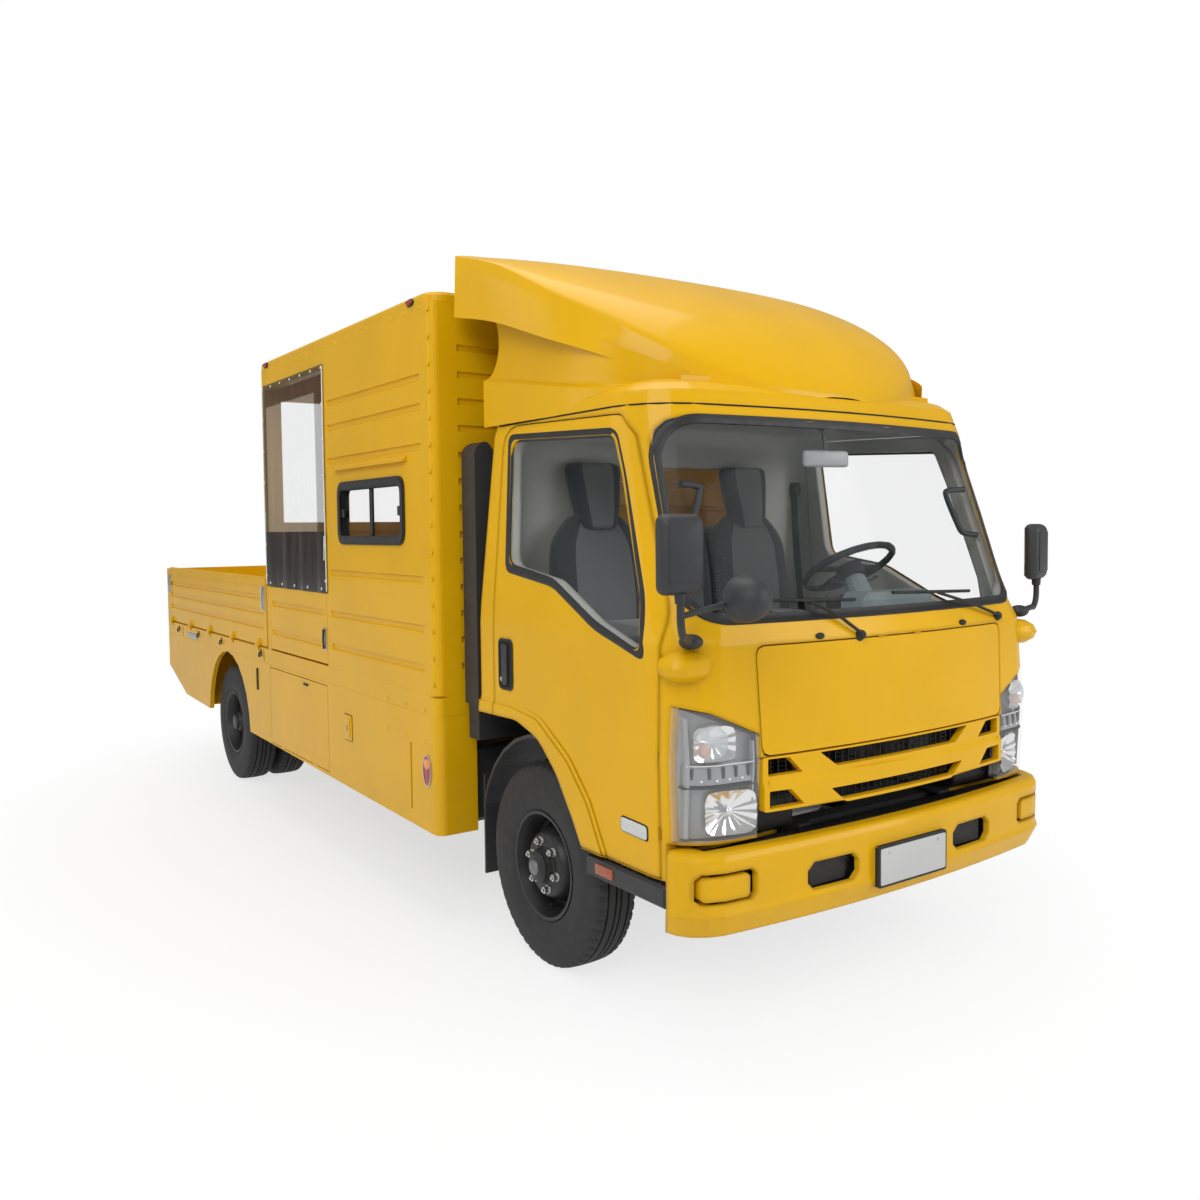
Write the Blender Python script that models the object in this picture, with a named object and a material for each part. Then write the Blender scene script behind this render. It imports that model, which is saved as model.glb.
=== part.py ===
"""Thermoplastic pre-heating truck, modelled in metres with +Z up.

The truck faces -Y and its right side is at -X. All shapes are drawn in an axle frame,
whose y = 0 is the front axle and whose z = 0 is the ground. The root empty then puts
the middle of the overall length at the world origin.
"""
import math

import bmesh
import bpy
from mathutils import Matrix, Vector

# Driving dimensions of the chassis
WHEELBASE = 4.175
FRONT_REACH = 1.130      # front axle to the nose of the bumper
NOSE = -FRONT_REACH      # y of the foremost point of the bumper
REAR_REACH = 1.735       # rear axle to the last point of the bed
TYRE_RADIUS = 0.417
TYRE_WIDTH = 0.205
RIM_RADIUS = 0.212       # bead seat radius
FRONT_TRACK = 1.680
REAR_OUTER_FACE = 1.030  # outer side wall of the outer rear tyre
TWIN_GAP = 0.032         # air between the twin tyres
KINGPIN_X = FRONT_TRACK / 2 - 0.140
KINGPIN_R = 0.018
HUB_R = 0.050            # bore of each wheel hub
RAIL_X = 0.400           # middle of each frame rail
RAIL_BOTTOM, RAIL_TOP = 0.520, 0.720
RAIL_WALL = 0.010

# Driving dimensions of the bodywork
BODY_HALF = 1.090
WALL = 0.050
BOX_FRONT, BOX_REAR = 0.640, 3.090
BOX_FLOOR, BOX_TOP = 1.050, 2.820
ROOF_TOP = 2.866
CORNER_R = 0.085
SILL_BOTTOM = 0.955
DECK_REAR = 5.870
OPENING = (2.010, 3.035, 2.686)       # side opening: front, rear, top
GATE_TOP = 1.455
SIDE_WINDOW = (0.940, 1.800, 1.730, 2.060)
SKIRT_BOTTOM = 0.410
SKIRT_WALL = 0.030
LOCKER = (2.035, 3.065, 0.455, 0.935)     # front, rear, bottom, top
DROPSIDE = (3.120, 5.810, 1.065, 1.500)
DROPSIDE_WALL = 0.036
ARCH_R = 0.520
ARCH_LEAD = 0.115         # arch centre ahead of the rear axle
RIBS_BODY = (2.495, 2.362, 2.182, 1.576, 1.350, 1.170)
RIB_HEIGHT, RIB_DEPTH = 0.032, 0.010

# Driving dimensions of the cab
CAB_WALL = 0.055
CAB_ROOF = 2.375
CAB_CURL = CAB_ROOF - 0.115      # where the walls curl into the roof
CAB_EAVE = CAB_ROOF - 0.175      # top of the straight walls
CAB_STATIONS = (
    # z, half width, front y, rear y, corner radius
    (0.597, 0.985, NOSE + 0.070, 0.425, 0.19),
    (1.000, 0.990, NOSE + 0.045, 0.435, 0.20),
    (1.400, 0.990, NOSE + 0.062, 0.435, 0.24),
    (1.480, 0.986, NOSE + 0.095, 0.432, 0.27),
    (CAB_EAVE, 0.925, NOSE + 0.308, 0.400, 0.28),
    (CAB_ROOF - 0.105, 0.915, NOSE + 0.330, 0.395, 0.28),
)
CAB_CROWN = 0.060
CAB_FLOOR = 1.060
CAB_MOUNTS = (-0.360, -0.060)           # y of the posts that carry the cab
WELL_R = 0.545            # radius of the front wheel well in the cab
DOOR_GAP = 0.005
HOOD_STATIONS = (
    # y, lower edge z, ridge z, crest z, half width at the lower edge and at the ridge
    (0.557, 2.735, 3.000, 3.030, 1.010, 1.000),
    (0.240, 2.665, 2.900, 2.960, 0.990, 0.970),
    (-0.120, 2.545, 2.715, 2.835, 0.950, 0.915),
    (-0.380, 2.450, 2.570, 2.705, 0.860, 0.815),
    (-0.560, 2.365, 2.450, 2.575, 0.735, 0.685),
    (-0.690, 2.310, 2.360, 2.445, 0.540, 0.485),
    (-0.775, 2.285, 2.305, 2.340, 0.300, 0.255),
)
HOOD_WALL = 0.018
COLLAR_STATIONS = (
    # y, half width below the ledge, ledge z, half width and z of the top
    (0.445, 0.930, 2.457, 0.905, 2.780),
    (0.100, 0.925, 2.405, 0.900, 2.690),
    (-0.300, 0.900, 2.345, 0.875, 2.530),
    (-0.520, 0.830, 2.318, 0.800, 2.440),
    (-0.640, 0.700, 2.303, 0.660, 2.370),
)
COLLAR_FOOT = CAB_ROOF - 0.129       # just clear of the door's top edge
COLLAR_NOTCH = 0.360      # rear edge of the collar above its ledge
MASK_SLOTS = ((0.950, 0.048), (0.826, 0.052))     # lower edge, height
WHEEL_CENTRE = Vector((0.440, -0.415, 1.615))
WHEEL_AXIS = Vector((0, 0.50, 0.866)).normalized()
DASH_HALF = 0.860
LID_DEPTH, LAMP_DEPTH = 0.030, 0.048
SEAM = 0.0003

SPIN = 20                 # facets round each rim and tyre
STUB_R = HUB_R * math.cos(math.pi / SPIN) - SEAM

YELLOW = (0.72, 0.39, 0.010)
BLACK = (0.015, 0.016, 0.018)
DARK = (0.035, 0.037, 0.040)
GREY = (0.22, 0.23, 0.24)
CLEAR = (0.30, 0.34, 0.35)

MIRROR_X = 1.130         # middle of each mirror head
MIRROR_NOSE = 1.3000     # foremost point, on the round front mirror

# Hinges
HINGE_OUT = 0.014        # flap pins stand this far outside the panels
KNUCKLE_R = 0.008
PIN_R = 0.0022           # pins that lie inside a shut line
FLAP_HINGES = (3.284, 3.893, 4.509, 5.086, 5.699)
TAIL_HINGES = (-0.80, 0.0, 0.80)
DOOR_AXIS = (0.985, -0.8580)          # x, y
DOOR_PIN_R = 0.0035
SHELL_SIDE = 0.925        # outer side of the shell behind the foot of a door
DOOR_LEAD = 0.003         # extra gap at the hinged edge of a door
LID_AXIS = (-1.0690, 1.3925)          # y, z
Y_MID = (DECK_REAR + HINGE_OUT + KNUCKLE_R - MIRROR_NOSE) / 2


# Mesh helpers
def box(x0, x1, y0, y1, z0, z1, bevel=0.0, segments=1):
    """Cuboid between two corners, with all its edges bevelled when asked."""
    bm = bmesh.new()
    size = Vector((x1 - x0, y1 - y0, z1 - z0))
    middle = Vector(((x0 + x1) / 2, (y0 + y1) / 2, (z0 + z1) / 2))
    bmesh.ops.create_cube(bm, size=1.0, matrix=Matrix.Translation(middle) @ Matrix.Diagonal(size).to_4x4())
    if bevel:
        bmesh.ops.bevel(bm, geom=bm.edges[:], offset=bevel, segments=segments, profile=0.5,
                        affect="EDGES", clamp_overlap=True)
    return bm


def rounded(points, radius, steps=4):
    """Polygon with its corners turned into arcs; radius is one value or one per corner."""
    radii = radius if isinstance(radius, (list, tuple)) else [radius] * len(points)
    result = []
    for index, (point, r) in enumerate(zip(points, radii)):
        corner = Vector(point)
        before = Vector(points[index - 1]) - corner
        after = Vector(points[(index + 1) % len(points)]) - corner
        if r <= 0:
            result.append(tuple(corner))
            continue
        half = before.angle(after) / 2
        reach = min(r / math.tan(half), before.length * 0.49, after.length * 0.49)
        true_r = reach * math.tan(half)
        middle = corner + (before.normalized() + after.normalized()).normalized() * (true_r / math.sin(half))
        start = corner + before.normalized() * reach - middle
        end = corner + after.normalized() * reach - middle
        turn = start.angle_signed(end)
        for step in range(steps + 1):
            part = -turn * step / steps
            spun = Matrix.Rotation(part, 2) @ start
            result.append(tuple(middle + spun))
    return result


def face_out(bm):
    """Turn all faces outward; a deep hollow section can come out reversed."""
    bmesh.ops.recalc_face_normals(bm, faces=bm.faces[:])
    if bm.calc_volume(signed=True) < 0:
        bmesh.ops.reverse_faces(bm, faces=bm.faces[:])
    return bm


def prism(outline, axis, low, high):
    """Extrude a plane outline along X (outline is y, z), Y (x, z) or Z (x, y)."""
    bm = bmesh.new()
    place = {"X": lambda a, b, c: (c, a, b), "Y": lambda a, b, c: (a, c, b), "Z": lambda a, b,
             c: (a, b, c)}[axis]
    rings = [[bm.verts.new(place(a, b, end)) for a, b in outline] for end in (low, high)]
    bm.faces.new(rings[0])
    bm.faces.new(rings[1])
    count = len(outline)
    for i in range(count):
        j = (i + 1) % count
        bm.faces.new((rings[0][i], rings[0][j], rings[1][j], rings[1][i]))
    return face_out(bm)


def loft(rings):
    """Skin closed rings of equal point counts and cap both ends."""
    bm = bmesh.new()
    grid = [[bm.verts.new(point) for point in ring] for ring in rings]
    count = len(grid[0])
    for low, high in zip(grid, grid[1:]):
        for i in range(count):
            j = (i + 1) % count
            bm.faces.new((low[i], low[j], high[j], high[i]))
    bm.faces.new(grid[0])
    bm.faces.new(grid[-1])
    return face_out(bm)


def lathe(profile, centre, segments=40, axis="X"):
    """Turn a closed (along, radius) outline about an axis through centre."""
    bm = bmesh.new()
    cx, cy, cz = centre
    grid = []
    for step in range(segments):
        angle = math.tau * step / segments
        c, s = math.cos(angle), math.sin(angle)
        if axis == "X":
            grid.append([bm.verts.new((cx + a, cy + r * c, cz + r * s)) for a, r in profile])
        elif axis == "Y":
            grid.append([bm.verts.new((cx + r * c, cy + a, cz + r * s)) for a, r in profile])
        else:
            grid.append([bm.verts.new((cx + r * c, cy + r * s, cz + a)) for a, r in profile])
    count = len(profile)
    for step in range(segments):
        here, there = grid[step], grid[(step + 1) % segments]
        for i in range(count):
            j = (i + 1) % count
            bm.faces.new((here[i], here[j], there[j], there[i]))
    return face_out(bm)


def rod(start, end, radius, segments=12, end_radius=None):
    """Round bar, or a cone frustum when end_radius differs, between two points."""
    start, end = Vector(start), Vector(end)
    bm = bmesh.new()
    turn = (end - start).to_track_quat("Z", "Y").to_matrix().to_4x4()
    bmesh.ops.create_cone(bm, cap_ends=True, segments=segments, radius1=radius,
                          radius2=radius if end_radius is None else end_radius,
                          depth=(end - start).length,
                          matrix=Matrix.Translation((start + end) / 2) @ turn)
    return bm


def pipe(points, radius, segments=8):
    """Bent round bar through a list of points, mitred at each bend."""
    path = [Vector(p) for p in points]
    rings = []
    side = None
    for index, point in enumerate(path):
        ahead = (path[min(index + 1, len(path) - 1)] - point)
        behind = (point - path[max(index - 1, 0)])
        ahead = ahead.normalized() if ahead.length else behind.normalized()
        behind = behind.normalized() if behind.length else ahead
        tangent = (ahead + behind).normalized()
        if side is None:
            side = tangent.orthogonal().normalized()
        side = (side - tangent * side.dot(tangent)).normalized()
        other = tangent.cross(side)
        stretch = 1 / max(0.5, tangent.dot(ahead))
        bend = (ahead - behind)
        ring = []
        for step in range(segments):
            angle = math.tau * step / segments
            spoke = side * math.cos(angle) + other * math.sin(angle)
            if bend.length > 1e-6:
                inward = bend.normalized()
                spoke = spoke + inward * spoke.dot(inward) * (stretch - 1)
            ring.append(tuple(point + spoke * radius))
        rings.append(ring)
    return loft(rings)


def ball(centre, radii, segments=20, rings=12):
    """Ellipsoid."""
    bm = bmesh.new()
    matrix = Matrix.Translation(centre) @ Matrix.Diagonal(radii).to_4x4()
    bmesh.ops.create_uvsphere(bm, u_segments=segments, v_segments=rings, radius=1.0, matrix=matrix)
    return bm


def mirrored(bm):
    """Copy on the other side of the truck's middle plane."""
    other = bm.copy()
    bmesh.ops.scale(other, vec=(-1, 1, 1), verts=other.verts[:])
    bmesh.ops.reverse_faces(other, faces=other.faces[:])
    return other


def temp_object(bm, name):
    mesh = bpy.data.meshes.new(name)
    bm.to_mesh(mesh)
    obj = bpy.data.objects.new(name, mesh)
    bpy.context.scene.collection.objects.link(obj)
    return obj


def boolean(base, tool, operation):
    """One EXACT Boolean of two closed meshes; the result replaces base."""
    target = temp_object(base, "boolean_target")
    cutter = temp_object(tool, "boolean_cutter")
    modifier = target.modifiers.new("boolean", "BOOLEAN")
    modifier.operation = operation
    modifier.solver = "EXACT"
    modifier.object = cutter
    shape = target.evaluated_get(bpy.context.evaluated_depsgraph_get()).to_mesh()
    result = bmesh.new()
    result.from_mesh(shape)
    for obj in (target, cutter):
        mesh = obj.data
        bpy.data.objects.remove(obj)
        bpy.data.meshes.remove(mesh)
    bmesh.ops.remove_doubles(result, verts=result.verts[:], dist=1e-6)
    return result


def union(*parts):
    result = parts[0]
    for part in parts[1:]:
        result = boolean(result, part, "UNION")
    return result


def cut(base, *tools):
    result = base
    for tool in tools:
        result = boolean(result, tool, "DIFFERENCE")
    return result


def common(base, tool):
    return boolean(base, tool, "INTERSECT")


# Object helpers
MATERIALS = {}


def material(name, colour, roughness=0.5, metallic=0.0, alpha=1.0):
    """Principled material, made once for each name."""
    if name in MATERIALS:
        return MATERIALS[name]
    mat = bpy.data.materials.new(name)
    mat.use_nodes = True
    shader = mat.node_tree.nodes["Principled BSDF"]
    shader.inputs["Base Color"].default_value = (*colour, 1.0)
    shader.inputs["Roughness"].default_value = roughness
    shader.inputs["Metallic"].default_value = metallic
    shader.inputs["Alpha"].default_value = alpha
    MATERIALS[name] = mat
    return mat


def empty(name, location, parent=None):
    obj = bpy.data.objects.new(name, None)
    obj.location = Vector(location) - (parent_place(parent) if parent else Vector())
    obj.parent = parent
    bpy.context.scene.collection.objects.link(obj)
    return obj


def parent_place(parent):
    """Position of a parent in the axle frame."""
    place = Vector()
    while parent is not None and parent.name != "truck":
        place += parent.location
        parent = parent.parent
    return place


def node(name, bm, finish, parent, pivot=(0, 0, 0), sharp=35.0):
    """Turn a mesh drawn in the axle frame into a named object with its origin at pivot."""
    bmesh.ops.translate(bm, vec=-Vector(pivot), verts=bm.verts[:])
    mesh = bpy.data.meshes.new(name)
    bm.to_mesh(mesh)
    bm.free()
    mesh.shade_smooth()
    mesh.set_sharp_from_angle(angle=math.radians(sharp))
    mesh.materials.append(finish)
    obj = bpy.data.objects.new(name, mesh)
    obj.location = Vector(pivot) - parent_place(parent)
    obj.parent = parent
    bpy.context.scene.collection.objects.link(obj)
    return obj


def blend(stations, z, column):
    """Value of one column of a station list at height z."""
    if z <= stations[0][0]:
        return stations[0][column]
    for low, high in zip(stations, stations[1:]):
        if z <= high[0]:
            part = (z - low[0]) / (high[0] - low[0])
            return low[column] + part * (high[column] - low[column])
    return stations[-1][column]


def hinge_eye(flip):
    """Section of half a flap hinge: a leaf that lies on the panel and ends in a rolled eye."""
    arc = []
    for degrees in (-50, 20, 90, 180):
        angle = math.radians(degrees)
        arc.append((HINGE_OUT + KNUCKLE_R * math.cos(angle), KNUCKLE_R * math.sin(angle)))
    leaf = HINGE_OUT - KNUCKLE_R
    points = [(-0.004, -0.041), (leaf, -0.041)] + arc + [(leaf - 0.002, -0.005), (-0.004, -0.005)]
    return [(a, b * flip) for a, b in points]


def knuckle_pair(side, y, z):
    """One flap hinge on a side: the half of the flap, then the half of the body."""
    halves = []
    for flip, y0, y1 in ((-1, y - 0.032, y), (1, y + SEAM, y + 0.032)):
        outline = [(side * (BODY_HALF + a), z + b) for a, b in hinge_eye(flip)]
        halves.append(prism(outline, "Y", y0, y1))
    return halves


def tail_pair(x, z):
    """The same hinge across the tail."""
    halves = []
    for flip, x0, x1 in ((-1, x - 0.032, x), (1, x + SEAM, x + 0.032)):
        outline = [(DECK_REAR + a, z + b) for a, b in hinge_eye(flip)]
        halves.append(prism(outline, "X", x0, x1))
    return halves


def upright_pins(side, x, y, back, heights, radius=PIN_R):
    """Slim hinge pins inside an upright shut line; back is the y that their leaves reach."""
    parts = []
    for z in heights:
        parts.append(rod((side * x, y, z - 0.02), (side * x, y, z + 0.02), radius, 6))
        leaf = span(side * (x - 0.006), side * (x - 0.0004))
        parts.append(box(*leaf, min(y, back), max(y, back), z - 0.02, z + 0.02))
    return parts


# Chassis
def channel_rail(side):
    """C section frame rail with its open face inward."""
    h = (RAIL_TOP - RAIL_BOTTOM)
    web, flange = RAIL_WALL, 0.065
    outline = [(0, 0), (0, h), (-flange, h), (-flange, h - web), (-web, h - web), (-web, web),
               (-flange, web), (-flange, 0)]
    points = [(side * (RAIL_X + 0.03 + a), RAIL_BOTTOM + b) for a, b in outline]
    return prism(points, "Y", -FRONT_REACH + 0.16, WHEELBASE + REAR_REACH - 0.12)


def chassis_frame(root, finish):
    rails = [channel_rail(side) for side in (-1, 1)]
    spots = [-0.88, -0.55, 1.25, 2.05, 3.15, WHEELBASE + 0.05, WHEELBASE + REAR_REACH - 0.22]
    inner = RAIL_X + 0.028
    members = [box(-inner, inner, y - 0.035, y + 0.035, RAIL_TOP - 0.060, RAIL_TOP - 0.012)
               for y in spots]
    tail = box(-0.70, 0.70, DECK_REAR - 0.115, DECK_REAR - 0.055, 0.47, 0.57)
    drops = [box(s * 0.428 - 0.04, s * 0.428 + 0.04, DECK_REAR - 0.16, DECK_REAR - 0.10, 0.48, 0.60)
             for s in (-1, 1)]
    mounts = [box(*span(s * (0.30 + SEAM), s * inner), y - 0.05, y + 0.05,
                  0.585, 0.620) for s in (-1, 1) for y in (-0.25, 0.30)]
    seats = [box(s * 0.405 - 0.024, s * 0.405 + 0.024, y - 0.03, y + 0.03, RAIL_TOP - 0.008,
                 CAB_FLOOR - CAB_WALL - SEAM) for s in (-1, 1) for y in CAB_MOUNTS]
    carried = (fuel_tank(), battery_box(), exhaust())
    return node("chassis_frame", union(*rails, *members, *drops, *mounts, *seats, tail, *carried),
                finish, root)


def leaf_spring(x, y, half, top):
    """Pack of leaves that get shorter downward, with eyes at its ends."""
    sag = 0.075
    steps = 4
    upper = [(y + half * (2 * i / steps - 1),
              top + sag * ((2 * i / steps - 1) ** 2)) for i in range(steps + 1)]
    lower = [(a, b - 0.016 - 0.034 * (1 - abs(a - y) / half)) for a, b in upper]
    pack = prism(upper + lower[::-1], "X", x - 0.032, x + 0.032)
    eyes = [rod((x - 0.032, y + s * half, top + sag - 0.008),
                (x + 0.032, y + s * half, top + sag - 0.008), 0.028, 6)
            for s in (-1, 1)]
    return union(pack, *eyes)


def front_axle(root, finish):
    beam_z = TYRE_RADIUS - 0.055
    drop = 0.070
    reach = KINGPIN_X - 0.060
    upper = [(-reach, beam_z + drop), (-0.50, beam_z), (0.50, beam_z), (reach, beam_z + drop)]
    lower = [(x, z - 0.085) for x, z in upper[::-1]]
    beam = prism(upper + lower, "Y", -0.040, 0.040)
    eyes = [rod((s * KINGPIN_X, 0, beam_z - 0.010), (s * KINGPIN_X, 0, beam_z + drop), 0.045, 10)
            for s in (-1, 1)]
    links = [box(min(s * 0.60, s * KINGPIN_X), max(s * 0.60, s * KINGPIN_X), -0.036, 0.036,
                 beam_z - 0.008, beam_z + drop - 0.002) for s in (-1, 1)]
    springs = [leaf_spring(s * (RAIL_X - 0.005), 0.0, 0.62, beam_z + 0.045) for s in (-1, 1)]
    pads = [box(s * 0.395 - 0.05, s * 0.395 + 0.05, -0.07, 0.07, beam_z - 0.012,
                beam_z + 0.030) for s in (-1, 1)]
    bore = (KINGPIN_R + SEAM) / math.cos(math.pi / 20)
    bores = [rod((s * KINGPIN_X, 0, 0.2), (s * KINGPIN_X, 0, 0.6), bore, 20) for s in (-1, 1)]
    hangers = []
    for s in (-1, 1):
        for end in (-0.62, 0.62):
            hangers.append(box(s * 0.395 - 0.022, s * 0.395 + 0.022, end - 0.03, end + 0.03,
                               beam_z + 0.10, RAIL_BOTTOM - SEAM))
    return node("front_axle", cut(union(beam, *eyes, *links, *pads, *springs, *hangers), *bores),
                finish, root)


def knuckle(side, root, finish):
    """Steering knuckle: kingpin, yoke, stub axle and steering arm."""
    x = side * KINGPIN_X
    z = TYRE_RADIUS
    beam_low, beam_top = z - 0.065, z + 0.015
    low, high = beam_low - 0.045, beam_top + 0.045
    pin = rod((x, 0, low), (x, 0, high), KINGPIN_R, 20)
    plate_x = x + side * 0.062
    plate = box(min(plate_x - 0.012, plate_x + 0.012), max(plate_x - 0.012, plate_x + 0.012),
                -0.05, 0.05, low, high, 0.004)
    ears = [box(min(x - side * 0.035, plate_x), max(x - side * 0.035, plate_x), -0.036, 0.036, a, b)
            for a, b in ((low, beam_low - 0.006), (beam_top + 0.006, high))]
    stub = rod((plate_x, 0, z), (x + side * 0.165, 0, z), STUB_R, 12)
    arm = pipe([(x + side * 0.055, 0.02, low + 0.02), (x + side * 0.02, 0.11, low + 0.005),
                (x - side * 0.015, 0.20, low + 0.005)], 0.018, 10)
    joint = rod((x - side * 0.015, 0.20, low - 0.020), (x - side * 0.015, 0.20, low + 0.032), 0.022)
    bm = union(plate, *ears, pin, stub, arm, joint)
    return node("knuckle_" + ("L" if side > 0 else "R"), bm, finish, root, pivot=(x, 0, z))


def tie_rod(parent, finish):
    """Bar between the two steering arms, below their ball joints."""
    reach = KINGPIN_X - 0.015
    z = TYRE_RADIUS - 0.065 - 0.045 - 0.020
    bar = rod((-reach, 0.20, z - 0.020), (reach, 0.20, z - 0.020), 0.015)
    ends = [rod((s * reach, 0.20, z - 0.045), (s * reach, 0.20, z - SEAM), 0.024) for s in (-1, 1)]
    return node("tie_rod", union(bar, *ends), finish, parent, pivot=(-reach, 0.20, z - 0.020))


def rear_axle(root, finish):
    z = TYRE_RADIUS
    y = WHEELBASE
    tube = rod((-0.66, y, z), (0.66, y, z), 0.058, 10)
    bowl = ball((0, y, z), (0.19, 0.19, 0.19), 10, 6)
    nose = rod((0, y - 0.30, z), (0, y, z), 0.06, 10, 0.10)
    springs = [leaf_spring(s * (RAIL_X + 0.005), y, 0.68, z - 0.005) for s in (-1, 1)]
    saddles = [box(s * 0.405 - 0.05, s * 0.405 + 0.05, y - 0.08, y + 0.08, z - 0.075,
                   z + 0.0) for s in (-1, 1)]
    hangers = []
    for s in (-1, 1):
        for end in (-0.68, 0.68):
            hangers.append(box(s * 0.405 - 0.022, s * 0.405 + 0.022, y + end - 0.03, y + end + 0.03,
                               z + 0.05, RAIL_BOTTOM - SEAM))
    stubs = [rod((s * 0.60, y, z), (s * 0.925, y, z), STUB_R, 12) for s in (-1, 1)]
    return node("rear_axle", union(tube, bowl, nose, *saddles, *springs, *hangers, *stubs), finish, root)


# Wheels
def tyre_profile(inner, outer):
    """Closed cross-section between two x values: bead, side walls and tread."""
    w = outer - inner
    bead = RIM_RADIUS + SEAM
    r = TYRE_RADIUS
    return [(inner + 0.12 * w, bead), (inner, (bead + r) / 2 + 0.01), (inner + 0.05 * w, r - 0.034),
            (inner + 0.16 * w, r - 0.004), (inner + 0.5 * w, r), (outer - 0.16 * w, r - 0.004),
            (outer - 0.05 * w, r - 0.034), (outer, (bead + r) / 2 + 0.01), (outer - 0.12 * w, bead)]


def tyre(name, side, near, far, y, parent, finish):
    profile = [(side * a, r) for a, r in tyre_profile(near, far)]
    spun = lathe(profile, (0, y, TYRE_RADIUS), SPIN)
    middle = side * (near + far) / 2
    return node(name, spun, finish, parent, pivot=(middle, y, TYRE_RADIUS), sharp=50)


def barrel(near, far):
    """Closed section of a rim: flanges at both ends and a drop in the middle."""
    w = far - near
    r = RIM_RADIUS
    t = 0.008
    outer = [(near + 0.05 * w, r + 0.012), (near + 0.12 * w, r), (near + 0.34 * w, r - 0.020),
             (near + 0.66 * w, r - 0.020), (far - 0.12 * w, r), (far - 0.05 * w, r + 0.012)]
    inner = [(far - 0.08 * w, r - t), (near + 0.50 * w, r - 0.020 - t), (near + 0.08 * w, r - t)]
    return outer + inner


def plain_barrel(near, far):
    """Simpler rim section for the hidden inner wheel of a pair."""
    w = far - near
    r = RIM_RADIUS
    return [(near + 0.05 * w, r), (far - 0.05 * w, r), (far - 0.05 * w, r - 0.028),
            (near + 0.05 * w, r - 0.028)]


def hand_holes(side, x, y, radius, count=8, size=0.024):
    tools = []
    for k in range(count):
        angle = math.tau * (k + 0.5) / count
        cy, cz = y + radius * math.cos(angle), TYRE_RADIUS + radius * math.sin(angle)
        tools.append(rod((side * (x - 0.05), cy, cz), (side * (x + 0.05), cy, cz), size, 8))
    return tools


def front_rim(side, parent, finish):
    """Steel wheel with an outset hub, a raised cap and ventilation holes."""
    outer = FRONT_TRACK / 2 + TYRE_WIDTH / 2
    inner = outer - TYRE_WIDTH
    ring = lathe([(side * a, r) for a, r in barrel(inner, outer)], (0, 0, TYRE_RADIUS), SPIN)
    drop = (inner + outer) / 2
    seat = RIM_RADIUS - 0.024
    face = outer - 0.020
    dish = [(inner + 0.060, HUB_R), (inner + 0.060, 0.100), (drop - 0.012, 0.125), (drop - 0.012, seat),
            (drop + 0.004, seat), (drop + 0.012, 0.150), (face, 0.122), (face, 0.074), (outer + 0.010,
                                                                                        0.066),
            (outer + 0.038, 0.050), (outer + 0.040, 0.020), (outer + 0.018, 0.020), (outer + 0.016, HUB_R)]
    hub = lathe([(side * a, r) for a, r in dish], (0, 0, TYRE_RADIUS), SPIN)
    cap = rod((side * (outer + 0.019), 0, TYRE_RADIUS), (side * (outer + 0.039), 0, TYRE_RADIUS), 0.030, 10)
    bm = cut(union(ring, hub, cap), *hand_holes(side, drop + 0.01, 0, 0.152, 6, 0.018))
    return node("front_rim_" + ("L" if side > 0 else "R"), bm, finish, parent,
                pivot=(side * FRONT_TRACK / 2, 0, TYRE_RADIUS))


def rear_rim(side, root, finish):
    """Twin steel wheels bolted back to back on one hub."""
    y = WHEELBASE
    outer = REAR_OUTER_FACE
    inner = outer - TYRE_WIDTH
    low_out = inner - TWIN_GAP
    low_in = low_out - TYRE_WIDTH
    ring_a = lathe([(side * a, r) for a, r in barrel(inner, outer)], (0, y, TYRE_RADIUS), SPIN)
    ring_b = lathe([(side * a, r) for a, r in plain_barrel(low_in, low_out)], (0, y, TYRE_RADIUS), SPIN)
    middle = (inner + low_out) / 2
    drop = (inner + outer) / 2 - middle
    seat = RIM_RADIUS - 0.024
    disc = [(middle - drop * 0.5, HUB_R), (middle - drop * 0.5, seat), (middle - drop * 0.5 + 0.014, seat),
            (middle, 0.142), (middle + drop - 0.012, 0.170), (middle + drop - 0.008, seat),
            (middle + drop + 0.008, seat), (middle + drop + 0.004, 0.160), (middle + 0.014, 0.125),
            (outer - 0.040, 0.080), (outer - 0.010, 0.058), (outer - 0.008, 0.020), (outer - 0.032, 0.020),
            (outer - 0.034, HUB_R)]
    hub = lathe([(side * a, r) for a, r in disc], (0, y, TYRE_RADIUS), SPIN)
    cap = rod((side * (outer - 0.029), y, TYRE_RADIUS), (side * (outer - 0.009), y, TYRE_RADIUS), 0.030, 10)
    bm = cut(union(ring_a, ring_b, hub, cap), *hand_holes(side, middle + drop - 0.02, y, 0.148, 6, 0.018))
    return node("rear_rim_" + ("L" if side > 0 else "R"), bm, finish, root,
                pivot=(side * middle, y, TYRE_RADIUS))


# Running gear
def engine_block(root, finish):
    return node("engine_block", box(-0.30, 0.30, -0.40, 0.45, 0.53, 1.00, 0.02), finish, root)


def driveline(root, finish):
    """Gearbox on the frame centre line and the propeller shaft behind it."""
    case = box(-0.15, 0.15, 0.4503, 0.90, 0.46, 0.78, 0.03)
    bell = rod((0, 0.90, 0.60), (0, 1.12, 0.58), 0.12, 20, 0.06)
    end = WHEELBASE - 0.30 - SEAM
    shaft = rod((0, 1.06, 0.585), (0, end - 0.020, TYRE_RADIUS), 0.045, 12)
    flange = rod((0, end - 0.040, TYRE_RADIUS), (0, end, TYRE_RADIUS), 0.055, 12)
    return node("driveline", union(case, bell, shaft, flange), finish, root)


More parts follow.
